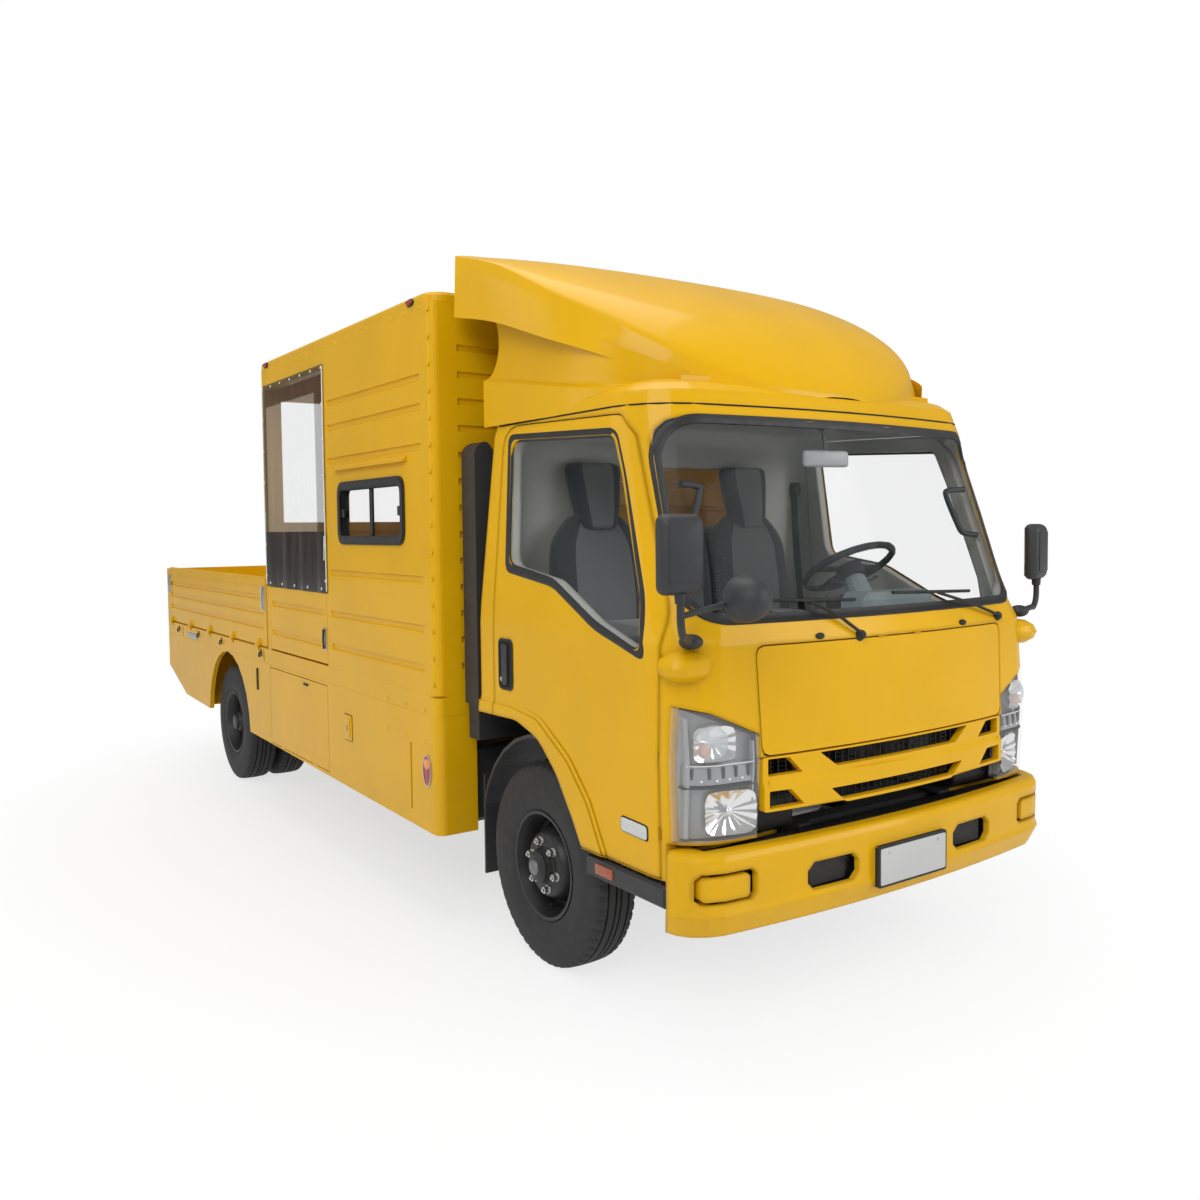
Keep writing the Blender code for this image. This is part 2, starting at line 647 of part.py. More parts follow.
def fuel_tank():
    """Tank outside the left rail, with its two brackets."""
    tank = box(0.480, 0.860, 1.28, 2.20, 0.43, 0.80, 0.04, 1)
    hooks = [box(0.4200, 0.56, y - 0.025, y + 0.025, 0.60, 0.70) for y in (1.45, 2.03)]
    return union(tank, *hooks)


def battery_box():
    """Box outside the right rail, behind the cab."""
    case = box(-0.900, -0.480, 0.66, 1.10, 0.44, 0.80, 0.02)
    arm = box(-0.50, -0.4200, 0.75, 1.00, 0.58, 0.70)
    return union(case, arm)


def exhaust():
    """Silencer outside the right rail, its pipes and hangers."""
    can = rod((-0.62, 1.60, 0.60), (-0.62, 2.30, 0.60), 0.115, 16)
    inlet = pipe([(-0.62, 1.65, 0.60), (-0.62, 1.42, 0.58), (-0.52, 1.30, 0.55), (-0.47, 1.15, 0.55)],
                 0.032)
    tail = pipe([(-0.62, 2.28, 0.60), (-0.62, 3.00, 0.60), (-0.66, 3.12, 0.56), (-0.80, 3.22, 0.50)], 0.032)
    arms = [box(-0.58, -0.4200, y - 0.02, y + 0.02, 0.58, 0.62) for y in (1.75, 2.15)]
    return union(can, inlet, tail, *arms)


# Body work
def rib_tools(side, y0, y1, heights, depth_x=BODY_HALF):
    """Long shallow channels with sloped lips that are pressed into a side panel."""
    tools = []
    for z in heights:
        h = RIB_HEIGHT / 2
        face = side * (depth_x + 0.002)
        root = side * (depth_x - RIB_DEPTH)
        rings = [[(face, y0, z - h - 0.006), (face, y1, z - h - 0.006), (face, y1, z + h),
                  (face, y0, z + h)],
                 [(root, y0 + 0.008, z - h + 0.004), (root, y1 - 0.008, z - h + 0.004),
                  (root, y1 - 0.008, z + h - 0.003), (root, y0 + 0.008, z + h - 0.003)]]
        tools.append(loft(rings))
    return tools


def span(a, b):
    return (a, b) if a < b else (b, a)


def slab(side, outer, thick, y0, y1, z0, z1, bevel=0.0):
    """Upright panel whose outer face is at side * outer."""
    x0, x1 = span(side * (outer - thick), side * outer)
    return box(x0, x1, y0, y1, z0, z1, bevel)


def cargo_floor(root, finish):
    """Deck plate, side sills, two long bearers on the frame and the cross bearers."""
    r = CORNER_R
    plan = rounded([(-BODY_HALF, DECK_REAR), (-BODY_HALF, BOX_FRONT), (BODY_HALF, BOX_FRONT),
                    (BODY_HALF, DECK_REAR)],
                   [0, r * 0.98, r * 0.98, 0], 6)
    plate = prism(plan, "Z", SILL_BOTTOM + 0.045, BOX_FLOOR - SEAM)
    sills = [slab(s, BODY_HALF - 0.001, 0.048, BOX_FRONT + r - 0.02, DECK_REAR, SILL_BOTTOM,
                  BOX_FLOOR - 0.02) for s in (-1, 1)]
    bearers = [box(s * RAIL_X - 0.035, s * RAIL_X + 0.035, BOX_FRONT + 0.05, DECK_REAR - 0.08,
                   RAIL_TOP + SEAM, SILL_BOTTOM + 0.05) for s in (-1, 1)]
    crossings = [box(-BODY_HALF + 0.035, BODY_HALF - 0.035, y - 0.03, y + 0.03, 0.90, SILL_BOTTOM + 0.05)
                 for y in (0.80, 1.55, 2.30, 3.05, 3.45, 4.90, 5.40)]
    tail = box(-BODY_HALF + 0.035, BODY_HALF - 0.035, DECK_REAR - 0.05, DECK_REAR, 0.90, BOX_FLOOR - 0.01)
    posts = [slab(s, BODY_HALF, 0.06, DROPSIDE[1] + 0.006, DECK_REAR, BOX_FLOOR - 0.030, DROPSIDE[3])
             for s in (-1, 1)]
    fixed = []
    for s in (-1, 1):
        for y in FLAP_HINGES:
            fixed.append(knuckle_pair(s, y, DROPSIDE[2])[1])
    for x in TAIL_HINGES:
        fixed.append(tail_pair(x, DROPSIDE[2])[1])
    front = prism(front_post_outline(), "Z", SILL_BOTTOM + 0.0005, BOX_FLOOR - 0.010)
    return node("cargo_floor", union(plate, front, *sills, *bearers, *crossings, tail, *posts, *fixed),
                finish, root)


def box_side_wall(side, root, finish):
    """Panelled side of the cabin with its window and the tall rear opening."""
    y0, y1 = BOX_FRONT + CORNER_R + SEAM, BOX_REAR
    front, rear, top = OPENING
    wall = slab(side, BODY_HALF, WALL, y0, y1, BOX_FLOOR, BOX_TOP)
    opening = slab(side, BODY_HALF + 0.1, 0.4, front, rear, BOX_FLOOR - 0.1, top)
    wy0, wy1, wz0, wz1 = SIDE_WINDOW
    hole = rounded([(wy0 + 0.03, wz0 + 0.03), (wy1 - 0.03, wz0 + 0.03), (wy1 - 0.03, wz1 - 0.03),
                    (wy0 + 0.03, wz1 - 0.03)], 0.05)
    x0, x1 = span(side * (BODY_HALF - 0.2), side * (BODY_HALF + 0.1))
    window = prism(hole, "X", x0, x1)
    ribs = rib_tools(side, y0 + 0.03, front - 0.055, RIBS_BODY)
    hood = [(BODY_HALF - 0.01, wz1 + 0.095), (BODY_HALF + 0.006, wz1 + 0.090),
            (BODY_HALF + 0.014, wz1 + 0.070),
            (BODY_HALF + 0.006, wz1 + 0.072), (BODY_HALF - 0.01, wz1 + 0.074)]
    rain = prism([(side * a, b) for a, b in hood], "Y", wy0 - 0.03, wy1 + 0.02)
    pins = upright_pins(side, BODY_HALF, rear - DOOR_GAP / 2, rear + 0.003, (1.15, 1.38))
    bm = cut(wall, opening, window, *ribs)
    bm = union(bm, rain, *pins)
    return node("box_side_wall_" + ("L" if side > 0 else "R"), bm, finish, root)


def front_post_outline():
    """Plan of the cabin's front wall with its rounded corner posts."""
    r = CORNER_R
    return rounded([(-BODY_HALF, BOX_FRONT + r), (-BODY_HALF, BOX_FRONT), (BODY_HALF, BOX_FRONT),
                       (BODY_HALF, BOX_FRONT + r), (BODY_HALF - WALL, BOX_FRONT + r),
                       (BODY_HALF - WALL, BOX_FRONT + WALL), (-BODY_HALF + WALL, BOX_FRONT + WALL),
                       (-BODY_HALF + WALL, BOX_FRONT + r)], [0, r * 0.98, r * 0.98, 0, 0, 0.02, 0.02, 0], 6)


def box_front_wall(root, finish):
    """Front bulkhead of the cabin with rounded corner posts and pressed ribs."""
    wall = prism(front_post_outline(), "Z", BOX_FLOOR, BOX_TOP)
    ribs = []
    for z in (2.62, 2.50, 2.38, 2.26, 2.14, 2.02, 1.90, 1.78, 1.66, 1.54, 1.42, 1.30, 1.18):
        h = RIB_HEIGHT / 2
        x = BODY_HALF - 0.13
        rings = [[(-x, BOX_FRONT - 0.002, z - h), (x, BOX_FRONT - 0.002, z - h),
                  (x, BOX_FRONT - 0.002, z + h),
                  (-x, BOX_FRONT - 0.002, z + h)],
                 [(-x + 0.01, BOX_FRONT + 0.012, z - h + 0.006), (x - 0.01, BOX_FRONT + 0.012,
                                                                  z - h + 0.006),
                  (x - 0.01, BOX_FRONT + 0.012, z + h - 0.006), (-x + 0.01, BOX_FRONT + 0.012,
                                                                 z + h - 0.006)]]
        ribs.append(loft(rings))
    return node("box_front_wall", cut(wall, *ribs), finish, root)


def box_rear_wall(root, finish):
    """Frame of posts and a head beam round the open back, with a low panel."""
    x = BODY_HALF - WALL - SEAM
    wall = box(-x, x, BOX_REAR - 0.045, BOX_REAR, BOX_FLOOR, BOX_TOP)
    hole = box(-x + 0.055, x - 0.055, BOX_REAR - 0.2, BOX_REAR + 0.1, 1.86, 2.63)
    rail = box(-x + 0.02, x - 0.02, BOX_REAR - 0.060, BOX_REAR - 0.02, 1.80, 1.86)
    return node("box_rear_wall", union(cut(wall, hole), rail), finish, root)


def box_roof(root, finish):
    r = CORNER_R
    outline = rounded([(-BODY_HALF, BOX_FRONT), (BODY_HALF, BOX_FRONT), (BODY_HALF, BOX_REAR),
                       (-BODY_HALF, BOX_REAR)],
                      [r * 0.98, r * 0.98, 0.01, 0.01], 6)
    rings = []
    for z, inset in ((BOX_TOP + SEAM, 0.0), (ROOF_TOP - 0.018, 0.0), (ROOF_TOP - 0.006, 0.006),
                     (ROOF_TOP, 0.020)):
        sx = (BODY_HALF - inset) / BODY_HALF
        mid = (BOX_FRONT + BOX_REAR) / 2
        sy = ((BOX_REAR - BOX_FRONT) / 2 - inset) / ((BOX_REAR - BOX_FRONT) / 2)
        rings.append([(x * sx, mid + (y - mid) * sy, z) for x, y in outline])
    return node("box_roof", loft(rings), finish, root)


def side_window(side, root, finish):
    """Black frame with its centre bar and glass, set into the wall."""
    y0, y1, z0, z1 = SIDE_WINDOW
    lip = rounded([(y0, z0), (y1, z0), (y1, z1), (y0, z1)], 0.075)
    throat = rounded([(y0 + 0.0305, z0 + 0.0305), (y1 - 0.0305, z0 + 0.0305), (y1 - 0.0305, z1 - 0.0305),
                      (y0 + 0.0305, z1 - 0.0305)], 0.05)
    hole = rounded([(y0 + 0.045, z0 + 0.045), (y1 - 0.045, z0 + 0.045), (y1 - 0.045, z1 - 0.045),
                    (y0 + 0.045, z1 - 0.045)], 0.035)
    flange = prism(lip, "X", *span(side * (BODY_HALF + SEAM), side * (BODY_HALF + 0.011)))
    sleeve = prism(throat, "X", *span(side * (BODY_HALF - WALL), side * (BODY_HALF + 0.005)))
    clear = prism(hole, "X", *span(side * (BODY_HALF - 0.2), side * (BODY_HALF + 0.1)))
    mid = (y0 + y1) / 2
    bar = slab(side, BODY_HALF - 0.008, 0.024, mid - 0.012, mid + 0.012, z0 + 0.04, z1 - 0.04)
    sheet = rounded([(y0 + 0.043, z0 + 0.043), (y1 - 0.043, z0 + 0.043), (y1 - 0.043, z1 - 0.043),
                     (y0 + 0.043, z1 - 0.043)], 0.035)
    pane = prism(sheet, "X", *span(side * (BODY_HALF - 0.030), side * (BODY_HALF - 0.025)))
    bm = union(cut(union(flange, sleeve), clear), pane, bar)
    return node("side_window_" + ("L" if side > 0 else "R"), bm, finish, root)


def curtain(side, root, finish):
    """Flat sheet that closes the side opening above the gate."""
    front, rear, top = OPENING
    sheet = slab(side, BODY_HALF + 0.0045, 0.004, front - 0.025, rear + 0.030, GATE_TOP + 0.004,
                 top + 0.030)
    return node("curtain_" + ("L" if side > 0 else "R"), sheet, finish, root)


def half_gate(side, root, finish):
    """Low ribbed gate under the curtain, hinged along its rear edge."""
    front, rear, top = OPENING
    y0, y1 = front + DOOR_GAP, rear - DOOR_GAP
    panel = slab(side, BODY_HALF, 0.036, y0, y1, BOX_FLOOR + 0.012, GATE_TOP)
    ribs = rib_tools(side, y0 + 0.04, y1 - 0.03, (1.350, 1.170))
    bm = cut(panel, *ribs)
    return node("half_gate_" + ("L" if side > 0 else "R"), bm, finish, root,
                pivot=(side * BODY_HALF, rear - DOOR_GAP / 2, BOX_FLOOR + 0.012))


def skirt(side, root, finish):
    """Lower side of the body: rounded nose, locker opening, wheel arch and cut tail."""
    x = BODY_HALF
    z0, z1 = SKIRT_BOTTOM, SILL_BOTTOM - SEAM
    arch_y, arch_z = WHEELBASE - ARCH_LEAD, 0.430
    low = math.asin(0.02 / ARCH_R)
    outline = [(BOX_FRONT + CORNER_R, z0)]
    for k in range(13):
        angle = math.pi - low - (math.pi - 3 * low) * k / 12
        outline.append((arch_y + ARCH_R * math.cos(angle), arch_z + ARCH_R * math.sin(angle)))
    tail_y = DECK_REAR - 0.57
    outline += [(tail_y, 0.489), (DECK_REAR, 0.677), (DECK_REAR, z1), (BOX_FRONT + CORNER_R, z1)]
    x0, x1 = span(side * (x - SKIRT_WALL), side * x)
    sheet = prism(outline, "X", x0, x1)
    r = CORNER_R
    nose = rounded([(side * x, BOX_FRONT + r + 0.01), (side * x, BOX_FRONT), (side * (x - 0.20), BOX_FRONT),
                    (side * (x - 0.20), BOX_FRONT + SKIRT_WALL), (side * (x - SKIRT_WALL),
                                                                  BOX_FRONT + SKIRT_WALL),
                    (side * (x - SKIRT_WALL), BOX_FRONT + r + 0.01)], [0, r * 0.98, 0, 0, 0.02, 0], 6)
    post = prism(nose, "Z", z0, z1)
    hangers = [slab(side, x - SKIRT_WALL + 0.001, 0.05, y - 0.025, y + 0.025, 0.70, z1) for y in (1.95,
                                                                                                  3.20, 5.10)]
    door = slab(side, x + 0.1, 0.3, LOCKER[0] - 0.005, LOCKER[1] + 0.005, LOCKER[2] - 0.005,
                LOCKER[3] + 0.005)
    slot = slab(side, x + 0.01, 0.02, 0.918, 0.934, 0.483, 0.80)
    bm = union(sheet, post)
    bm = cut(bm, door, slot)
    flap_y = WHEELBASE + TYRE_RADIUS + 0.090
    flap = box(*span(side * 0.60, side * (x - 0.01)), flap_y, flap_y + 0.010, 0.480, z1 - 0.01)
    pins = []
    axis_z = LOCKER[2] - DOOR_GAP / 2
    for y in (LOCKER[0] + 0.22, LOCKER[1] - 0.22):
        pins.append(rod((side * x, y - 0.03, axis_z), (side * x, y + 0.03, axis_z), PIN_R, 6))
        pins.append(box(*span(side * (x - 0.006), side * (x - 0.0004)), y - 0.03, y + 0.03,
                        axis_z - 0.006, axis_z))
    bm = union(bm, *hangers, flap, *pins)
    return node("skirt_" + ("L" if side > 0 else "R"), bm, finish, root)


def locker_door(side, root, finish):
    """Drop-down door of the locker in the skirt, hinged at its bottom edge."""
    y0, y1, z0, z1 = LOCKER
    panel = slab(side, BODY_HALF, SKIRT_WALL, y0, y1, z0, z1)
    stiff = slab(side, BODY_HALF - SKIRT_WALL + 0.002, 0.012, y0 + 0.10, y1 - 0.10, z0 + 0.10, z1 - 0.10)
    return node("locker_door_" + ("L" if side > 0 else "R"), union(panel, stiff), finish, root,
                pivot=(side * BODY_HALF, (y0 + y1) / 2, z0 - DOOR_GAP / 2))


def dropside(side, root, finish):
    """Ribbed side flap of the low bed with hinge knuckles along its foot."""
    y0, y1, z0, z1 = DROPSIDE
    panel = slab(side, BODY_HALF, DROPSIDE_WALL, y0, y1, z0, z1)
    rim = slab(side, BODY_HALF + 0.006, DROPSIDE_WALL + 0.012, y0, y1, z1 - 0.045, z1)
    ribs = rib_tools(side, y0 + 0.05, y1 - 0.05, (1.380, 1.285, 1.190))
    barrels = [knuckle_pair(side, y, z0)[0] for y in FLAP_HINGES]
    return node("dropside_" + ("L" if side > 0 else "R"), union(cut(panel, *ribs), rim, *barrels),
                finish, root,
                pivot=(side * (BODY_HALF + HINGE_OUT), (y0 + y1) / 2, z0))


def tailgate(root, finish):
    x = BODY_HALF - 0.066
    panel = box(-x, x, DECK_REAR - 0.038, DECK_REAR - 0.002, DROPSIDE[2], DROPSIDE[3])
    ribs = []
    for z in (1.380, 1.285, 1.190):
        h = RIB_HEIGHT / 2
        ribs.append(box(-x + 0.05, x - 0.05, DECK_REAR - 0.012, DECK_REAR + 0.01, z - h, z + h))
    barrels = [tail_pair(x0, DROPSIDE[2])[0] for x0 in TAIL_HINGES]
    return node("tailgate", union(cut(panel, *ribs), *barrels), finish, root,
                pivot=(0, DECK_REAR + HINGE_OUT, DROPSIDE[2]))


def rear_lamp_bar(root, finish):
    """Crossbar under the tail with both lamp units."""
    bar = box(-0.95, 0.95, DECK_REAR - 0.075, DECK_REAR - 0.045, 0.80, 0.8997)
    lamps = [box(s * 0.80 - 0.15, s * 0.80 + 0.15, DECK_REAR - 0.06, DECK_REAR - 0.005, 0.78, 0.89, 0.008)
             for s in (-1, 1)]
    return node("rear_lamp_bar", union(bar, *lamps), finish, root)


# Cab
def cab_ring(z, inset=0.0, at=None):
    """Plan outline of the cab body at height z, drawn anticlockwise from above."""
    half = blend(CAB_STATIONS, z, 1) - inset
    front = blend(CAB_STATIONS, z, 2) + inset
    rear = blend(CAB_STATIONS, z, 3) - inset
    corner = max(0.03, blend(CAB_STATIONS, z, 4) - inset)
    height = z if at is None else at
    xs = half - corner
    crown = CAB_CROWN * xs / 0.75
    right = []
    for k in range(4):
        x = xs * k / 3
        right.append((x, front + crown * (k / 3) ** 2))
    start = front + crown
    for k in range(1, 6):
        angle = math.pi / 2 * k / 5
        right.append((xs + corner * math.sin(angle), start + corner * 0.92 * (1 - math.cos(angle))))
    back = 0.045
    for k in range(3):
        angle = math.pi / 2 * k / 2
        right.append((half - back + back * math.cos(angle), rear - back + back * math.sin(angle)))
    left = [(-x, y) for x, y in right[:0:-1]]
    return [(x, y, height) for x, y in right + left]


def cab_solid(inset, bottom, top, roof_drop=0.0):
    """Closed body of the cab, drawn in by inset; top is where the roof begins to curl."""
    levels = [bottom] + [station[0] for station in CAB_STATIONS if bottom < station[0] <= top]
    rings = [cab_ring(z, inset) for z in levels]
    radius, height = 0.200, CAB_ROOF - 0.020 - CAB_CURL
    for k in range(1, 5):
        angle = math.pi / 2 * k / 4
        rings.append(cab_ring(CAB_CURL, inset + radius * (1 - math.cos(angle)),
                              CAB_CURL + (height - roof_drop) * math.sin(angle)))
    rings.append(cab_ring(CAB_CURL, inset + 0.42, CAB_ROOF - roof_drop))
    return loft(rings)


def door_outline(gap=0.0):
    """Side view (y, z) of a door above the wheel arch; gap shrinks it all round."""
    g = gap
    lead = g + (DOOR_LEAD if g else 0.0)
    return rounded([(NOSE + 0.268 + lead, 0.600 + g), (NOSE + 0.268 + lead, 1.520),
                    (NOSE + 0.490 + lead, CAB_EAVE - 0.070), (NOSE + 0.570, CAB_EAVE + 0.015 - g),
                    (0.285 - g, CAB_EAVE + 0.040 - g), (0.285 - g, 1.075 + g), (-0.080, 1.045 + g),
                    (-0.310 - g, 0.900), (-0.440 - g, 0.740), (-0.520 - g, 0.600 + g)],
                   [0, 0.20, 0, 0.05, 0.10, 0, 0.10, 0, 0, 0], 3)


def door_foot_outline(gap=0.0):
    """Side view of the door's lower rear part, whose skin runs down to the wheel arch."""
    g = gap
    return [(-0.620, 0.600 + g), (-0.620, 1.150), (0.285 - g, 1.150), (0.285 - g, 0.900),
            (-0.300, 0.600 + g)]


def arch_flare(side):
    """Raised band round the wheel arch, with its outer edge stepped down to the skin."""
    outer = [(-0.551, 0.560), (-0.540, 0.620), (-0.444, 0.791), (-0.310, 0.929), (-0.093, 1.056),
             (0.150, 1.080),
             (0.50, 1.072), (0.50, 0.560)]
    parts = []
    for grow, rise in ((0.0, 0.006), (-0.016, 0.012)):
        outline = [(y - grow if y < 0.4 else y, z + grow if z > 0.57 else z) for y, z in outer]
        band = side_prism(rounded(outline, [0, 0, 0.2, 0.2, 0.15, 0, 0, 0], 2), side, 0.80)
        parts.append(common(cab_solid(-rise, CAB_STATIONS[0][0], 1.20), band))
    return union(*parts)


def door_window_outline(grow=0.0):
    """Side view (y, z) of the door glass with its low front dip."""
    g = grow
    return rounded([(NOSE + 0.365 - g, 1.365 - g), (NOSE + 0.385 - g, 1.560), (NOSE + 0.530 - g, 1.985),
                    (NOSE + 0.595, CAB_EAVE - 0.060 + g), (0.215 + g, 2.175 + g), (0.175 + g, 1.650 - g),
                    (-0.180, 1.600 - g), (-0.480, 1.455 - g)],
                   [0.03, 0, 0.10, 0.05, 0.06, 0.07, 0.20, 0.10], 3)


def side_prism(outline, side, near=0.60, far=1.40):
    return prism(outline, "X", *span(side * near, side * far))


def windscreen_outline(grow=0.0):
    """Front view (x, z) of the windscreen opening."""
    g = grow
    return rounded([(-0.915 - g, 1.478 - g), (0.915 + g, 1.478 - g), (0.872 + g, CAB_EAVE - 0.005 + g),
                    (-0.872 - g, CAB_EAVE - 0.005 + g)],
                   [0.13, 0.13, 0.10, 0.10], 3)


def rear_glass_outline(grow=0.0):
    g = grow
    return rounded([(-0.48 - g, 1.81 - g), (0.48 + g, 1.81 - g), (0.48 + g, 2.09 + g),
                    (-0.48 - g, 2.09 + g)], 0.06, 3)


def cab_arch(grow=0.0, lift=0.0):
    """Side view of the front wheel arch, open to the rear below the cab floor."""
    g = grow
    return rounded([(-0.405 - g, 0.40), (-0.405 - g, 0.580), (-0.330 - g, 0.700), (-0.222 - g, 0.850 + g),
                    (-0.090, 0.968 + g), (0.083, 1.016 + g), (0.70, 1.004 + g), (0.70, 0.40)],
                   [0, 0, 0.2, 0.2, 0.2, 0.2, 0, 0], 2)


def lid_outline(gap=0.0):
    g = gap
    return rounded([(-0.674 + g, 1.010 + g), (0.674 - g, 1.010 + g), (0.686 - g, 1.395 - g),
                    (-0.686 + g, 1.395 - g)],
                   0.03, 2)


def lamp_outline(side, gap=0.0):
    """Front view of a headlamp that wraps round the corner of the cab."""
    g = gap
    return [(side * a, b) for a, b in ((0.681 + g, 0.735 + g), (0.681 + g, 1.092 - g), (0.86, 1.175 - g),
                                       (1.02, 1.215 - g), (1.02, 0.735 + g))]


def cab_shell(root, finish):
    """Hollow cab body: walls, floor, tunnel, roof and pillars in one piece."""
    outer = cab_solid(0.0, CAB_STATIONS[0][0], CAB_EAVE)
    inner = cab_solid(CAB_WALL, CAB_FLOOR, CAB_EAVE, 0.050)
    foot = box(-0.93, 0.93, -0.925, -0.480, 0.700, CAB_FLOOR + 0.05)
    bay = box(-0.46, 0.46, -1.20, 0.60, 0.40, CAB_FLOOR - 0.055)
    nose = box(-0.640, 0.640, -1.30, -0.990, 0.40, CAB_FLOOR + 0.30)
    arch = prism(cab_arch(), "X", -1.20, 1.20)
    wells = [lathe([(span(s * 0.40, s * 0.9303)[0], 0.0005), (span(s * 0.40, s * 0.9303)[1], 0.0005),
                    (span(s * 0.40, s * 0.9303)[1], WELL_R), (span(s * 0.40, s * 0.9303)[0], WELL_R)],
                   (0, 0, TYRE_RADIUS), 24) for s in (-1, 1)]
    glass = prism(windscreen_outline(), "Y", -1.40, -0.45)
    rear = prism(rear_glass_outline(), "Y", 0.20, 0.60)
    core = cab_solid(LID_DEPTH, CAB_STATIONS[0][0] - 0.01, CAB_EAVE)
    lid = cut(prism(lid_outline(), "Y", -1.40, -0.90), core)
    mask = prism([(-0.681, 0.70), (0.681, 0.70), (0.681, 1.0103), (-0.681, 1.0103)], "Y", -1.40, -0.965)
    core = cab_solid(LAMP_DEPTH, CAB_STATIONS[0][0] - 0.01, CAB_EAVE)
    lamps = [cut(prism(lamp_outline(s), "Y", -1.40, -0.90), core) for s in (-1, 1)]
    doors = [side_prism(door_outline(), s) for s in (-1, 1)]
    doors += [side_prism(door_foot_outline(), s, SHELL_SIDE) for s in (-1, 1)]
    under = box(-1.2, 1.2, -1.4, -0.885, 0.40, 0.7303)
    outer = union(outer, corner_pod(-1), corner_pod(1), arch_flare(-1), arch_flare(1))
    bm = cut(outer, inner, foot, bay, nose, arch, *wells, glass, rear, lid, mask, *lamps, *doors, under)
    pins = []
    for s in (-1, 1):
        pins += upright_pins(s, DOOR_AXIS[0], DOOR_AXIS[1], DOOR_AXIS[1] - 0.008, (0.76, 1.02), DOOR_PIN_R)
        pins.append(rod((s * 0.12, LID_AXIS[0], LID_AXIS[1]), (s * 0.08, LID_AXIS[0], LID_AXIS[1]),
                        PIN_R + 0.0006, 8))
        pins.append(box(*span(s * 0.08, s * 0.12), LID_AXIS[0], LID_AXIS[0] + 0.008, LID_AXIS[1],
                        LID_AXIS[1] + 0.006))
    return node("cab_shell", union(bm, *pins), finish, root)


def cab_door(side, root, finish):
    """Door with its window frame; the hinge is at the front edge of the skin."""
    skin = union(cab_solid(0.0, CAB_STATIONS[0][0], CAB_EAVE), arch_flare(side))
    inside = cab_solid(CAB_WALL, CAB_STATIONS[0][0] - 0.01, CAB_EAVE, 0.050)
    slice_ = union(side_prism(door_outline(DOOR_GAP), side), side_prism(door_foot_outline(DOOR_GAP),
                                                                        side, 0.80))
    arch = prism(cab_arch(), "X", -1.20, 1.20)
    window = side_prism(door_window_outline(), side)
    recess = rounded([(0.118, 1.128), (0.235, 1.128), (0.235, 1.344), (0.118, 1.344)], 0.03)
    pocket = side_prism(recess, side, 0.965, 1.2)
    bm = cut(common(skin, slice_), inside, window, pocket, arch)
    grip = slab(side, 0.984, 0.016, 0.160, 0.192, 1.120, 1.352, 0.004)
    hinge = (side * DOOR_AXIS[0], DOOR_AXIS[1], 1.05)
    return node("cab_door_" + ("L" if side > 0 else "R"), union(bm, grip), finish, root, pivot=hinge)


def glass_sheet(outline_prism, low, high):
    """Thin piece of the cab's own surface inside a window outline."""
    outer = cab_solid(low, CAB_STATIONS[0][0], CAB_EAVE)
    inner = cab_solid(high, CAB_STATIONS[0][0] - 0.01, CAB_EAVE)
    return cut(common(outer, outline_prism), inner)


def windscreen(root, finish):
    tool = prism(windscreen_outline(-SEAM), "Y", -1.40, -0.55)
    return node("windscreen", glass_sheet(tool, 0.006, 0.012), finish, root)


def door_glass(side, parent, finish):
    tool = side_prism(door_window_outline(-SEAM), side)
    return node("door_glass_" + ("L" if side > 0 else "R"), glass_sheet(tool, 0.010, 0.015), finish, parent,
                pivot=(side * DOOR_AXIS[0], DOOR_AXIS[1], 1.05))


def rear_glass(root, finish):
    outline = rear_glass_outline(-SEAM)
    return node("rear_glass", prism(outline, "Y", 0.385, 0.390), finish, root)


def front_lid(root, finish):
    """Service lid above the grille, hinged along its top edge."""
    skin = cab_solid(0.0, CAB_STATIONS[0][0], CAB_EAVE)
    inside = cab_solid(LID_DEPTH - 0.004, CAB_STATIONS[0][0] - 0.01, CAB_EAVE)
    tool = prism(lid_outline(DOOR_GAP), "Y", -1.40, -0.90)
    bm = cut(common(skin, tool), inside)
    return node("front_lid", bm, finish, root, pivot=(0, LID_AXIS[0], LID_AXIS[1]))


def grille(root, finish):
    """Painted mask below the lid: two wing slots, short outer slots and a raised fold on each bar."""
    skin = cab_solid(0.0, CAB_STATIONS[0][0], CAB_EAVE)
    inside = cab_solid(0.030, CAB_STATIONS[0][0] - 0.01, CAB_EAVE)
    area = [(-0.665, 0.800), (-0.34, 0.785), (0.34, 0.785), (0.665, 0.800), (0.6735, 1.009),
            (-0.6735, 1.009)]
    bm = cut(common(skin, prism(area, "Y", -1.40, -0.90)), inside)
    slots = []
    for z, high in MASK_SLOTS:
        slots.append(rounded([(-0.355, z), (0.355, z), (0.430, z + high), (-0.430, z + high)], 0.010, 1))
        for s in (-1, 1):
            short = [(s * 0.650, z + 0.014), (s * 0.545, z + 0.014), (s * 0.590, z + high),
                     (s * 0.650, z + high)]
            slots.append(short)
    tools = [prism(outline, "Y", -1.40, -0.80) for outline in slots]
    back = box(-0.655, 0.655, -0.975, -0.9653, 0.80, 0.995)
    webs = [box(x - 0.006, x + 0.006, -1.060, -0.970, 0.805, 0.990) for x in (-0.655, -0.49, 0.49, 0.655)]
    return node("grille", union(cut(bm, *tools), back, *webs), finish, root)


def headlamp(side, root, finish):
    skin = cab_solid(0.0, CAB_STATIONS[0][0], CAB_EAVE)
    inside = cab_solid(LAMP_DEPTH - SEAM, CAB_STATIONS[0][0] - 0.01, CAB_EAVE)
    tool = prism(lamp_outline(side, 0.003), "Y", -1.40, -0.903)
    keep = cut(common(skin, tool), inside)
    return node("headlamp_" + ("L" if side > 0 else "R"), keep, finish, root)


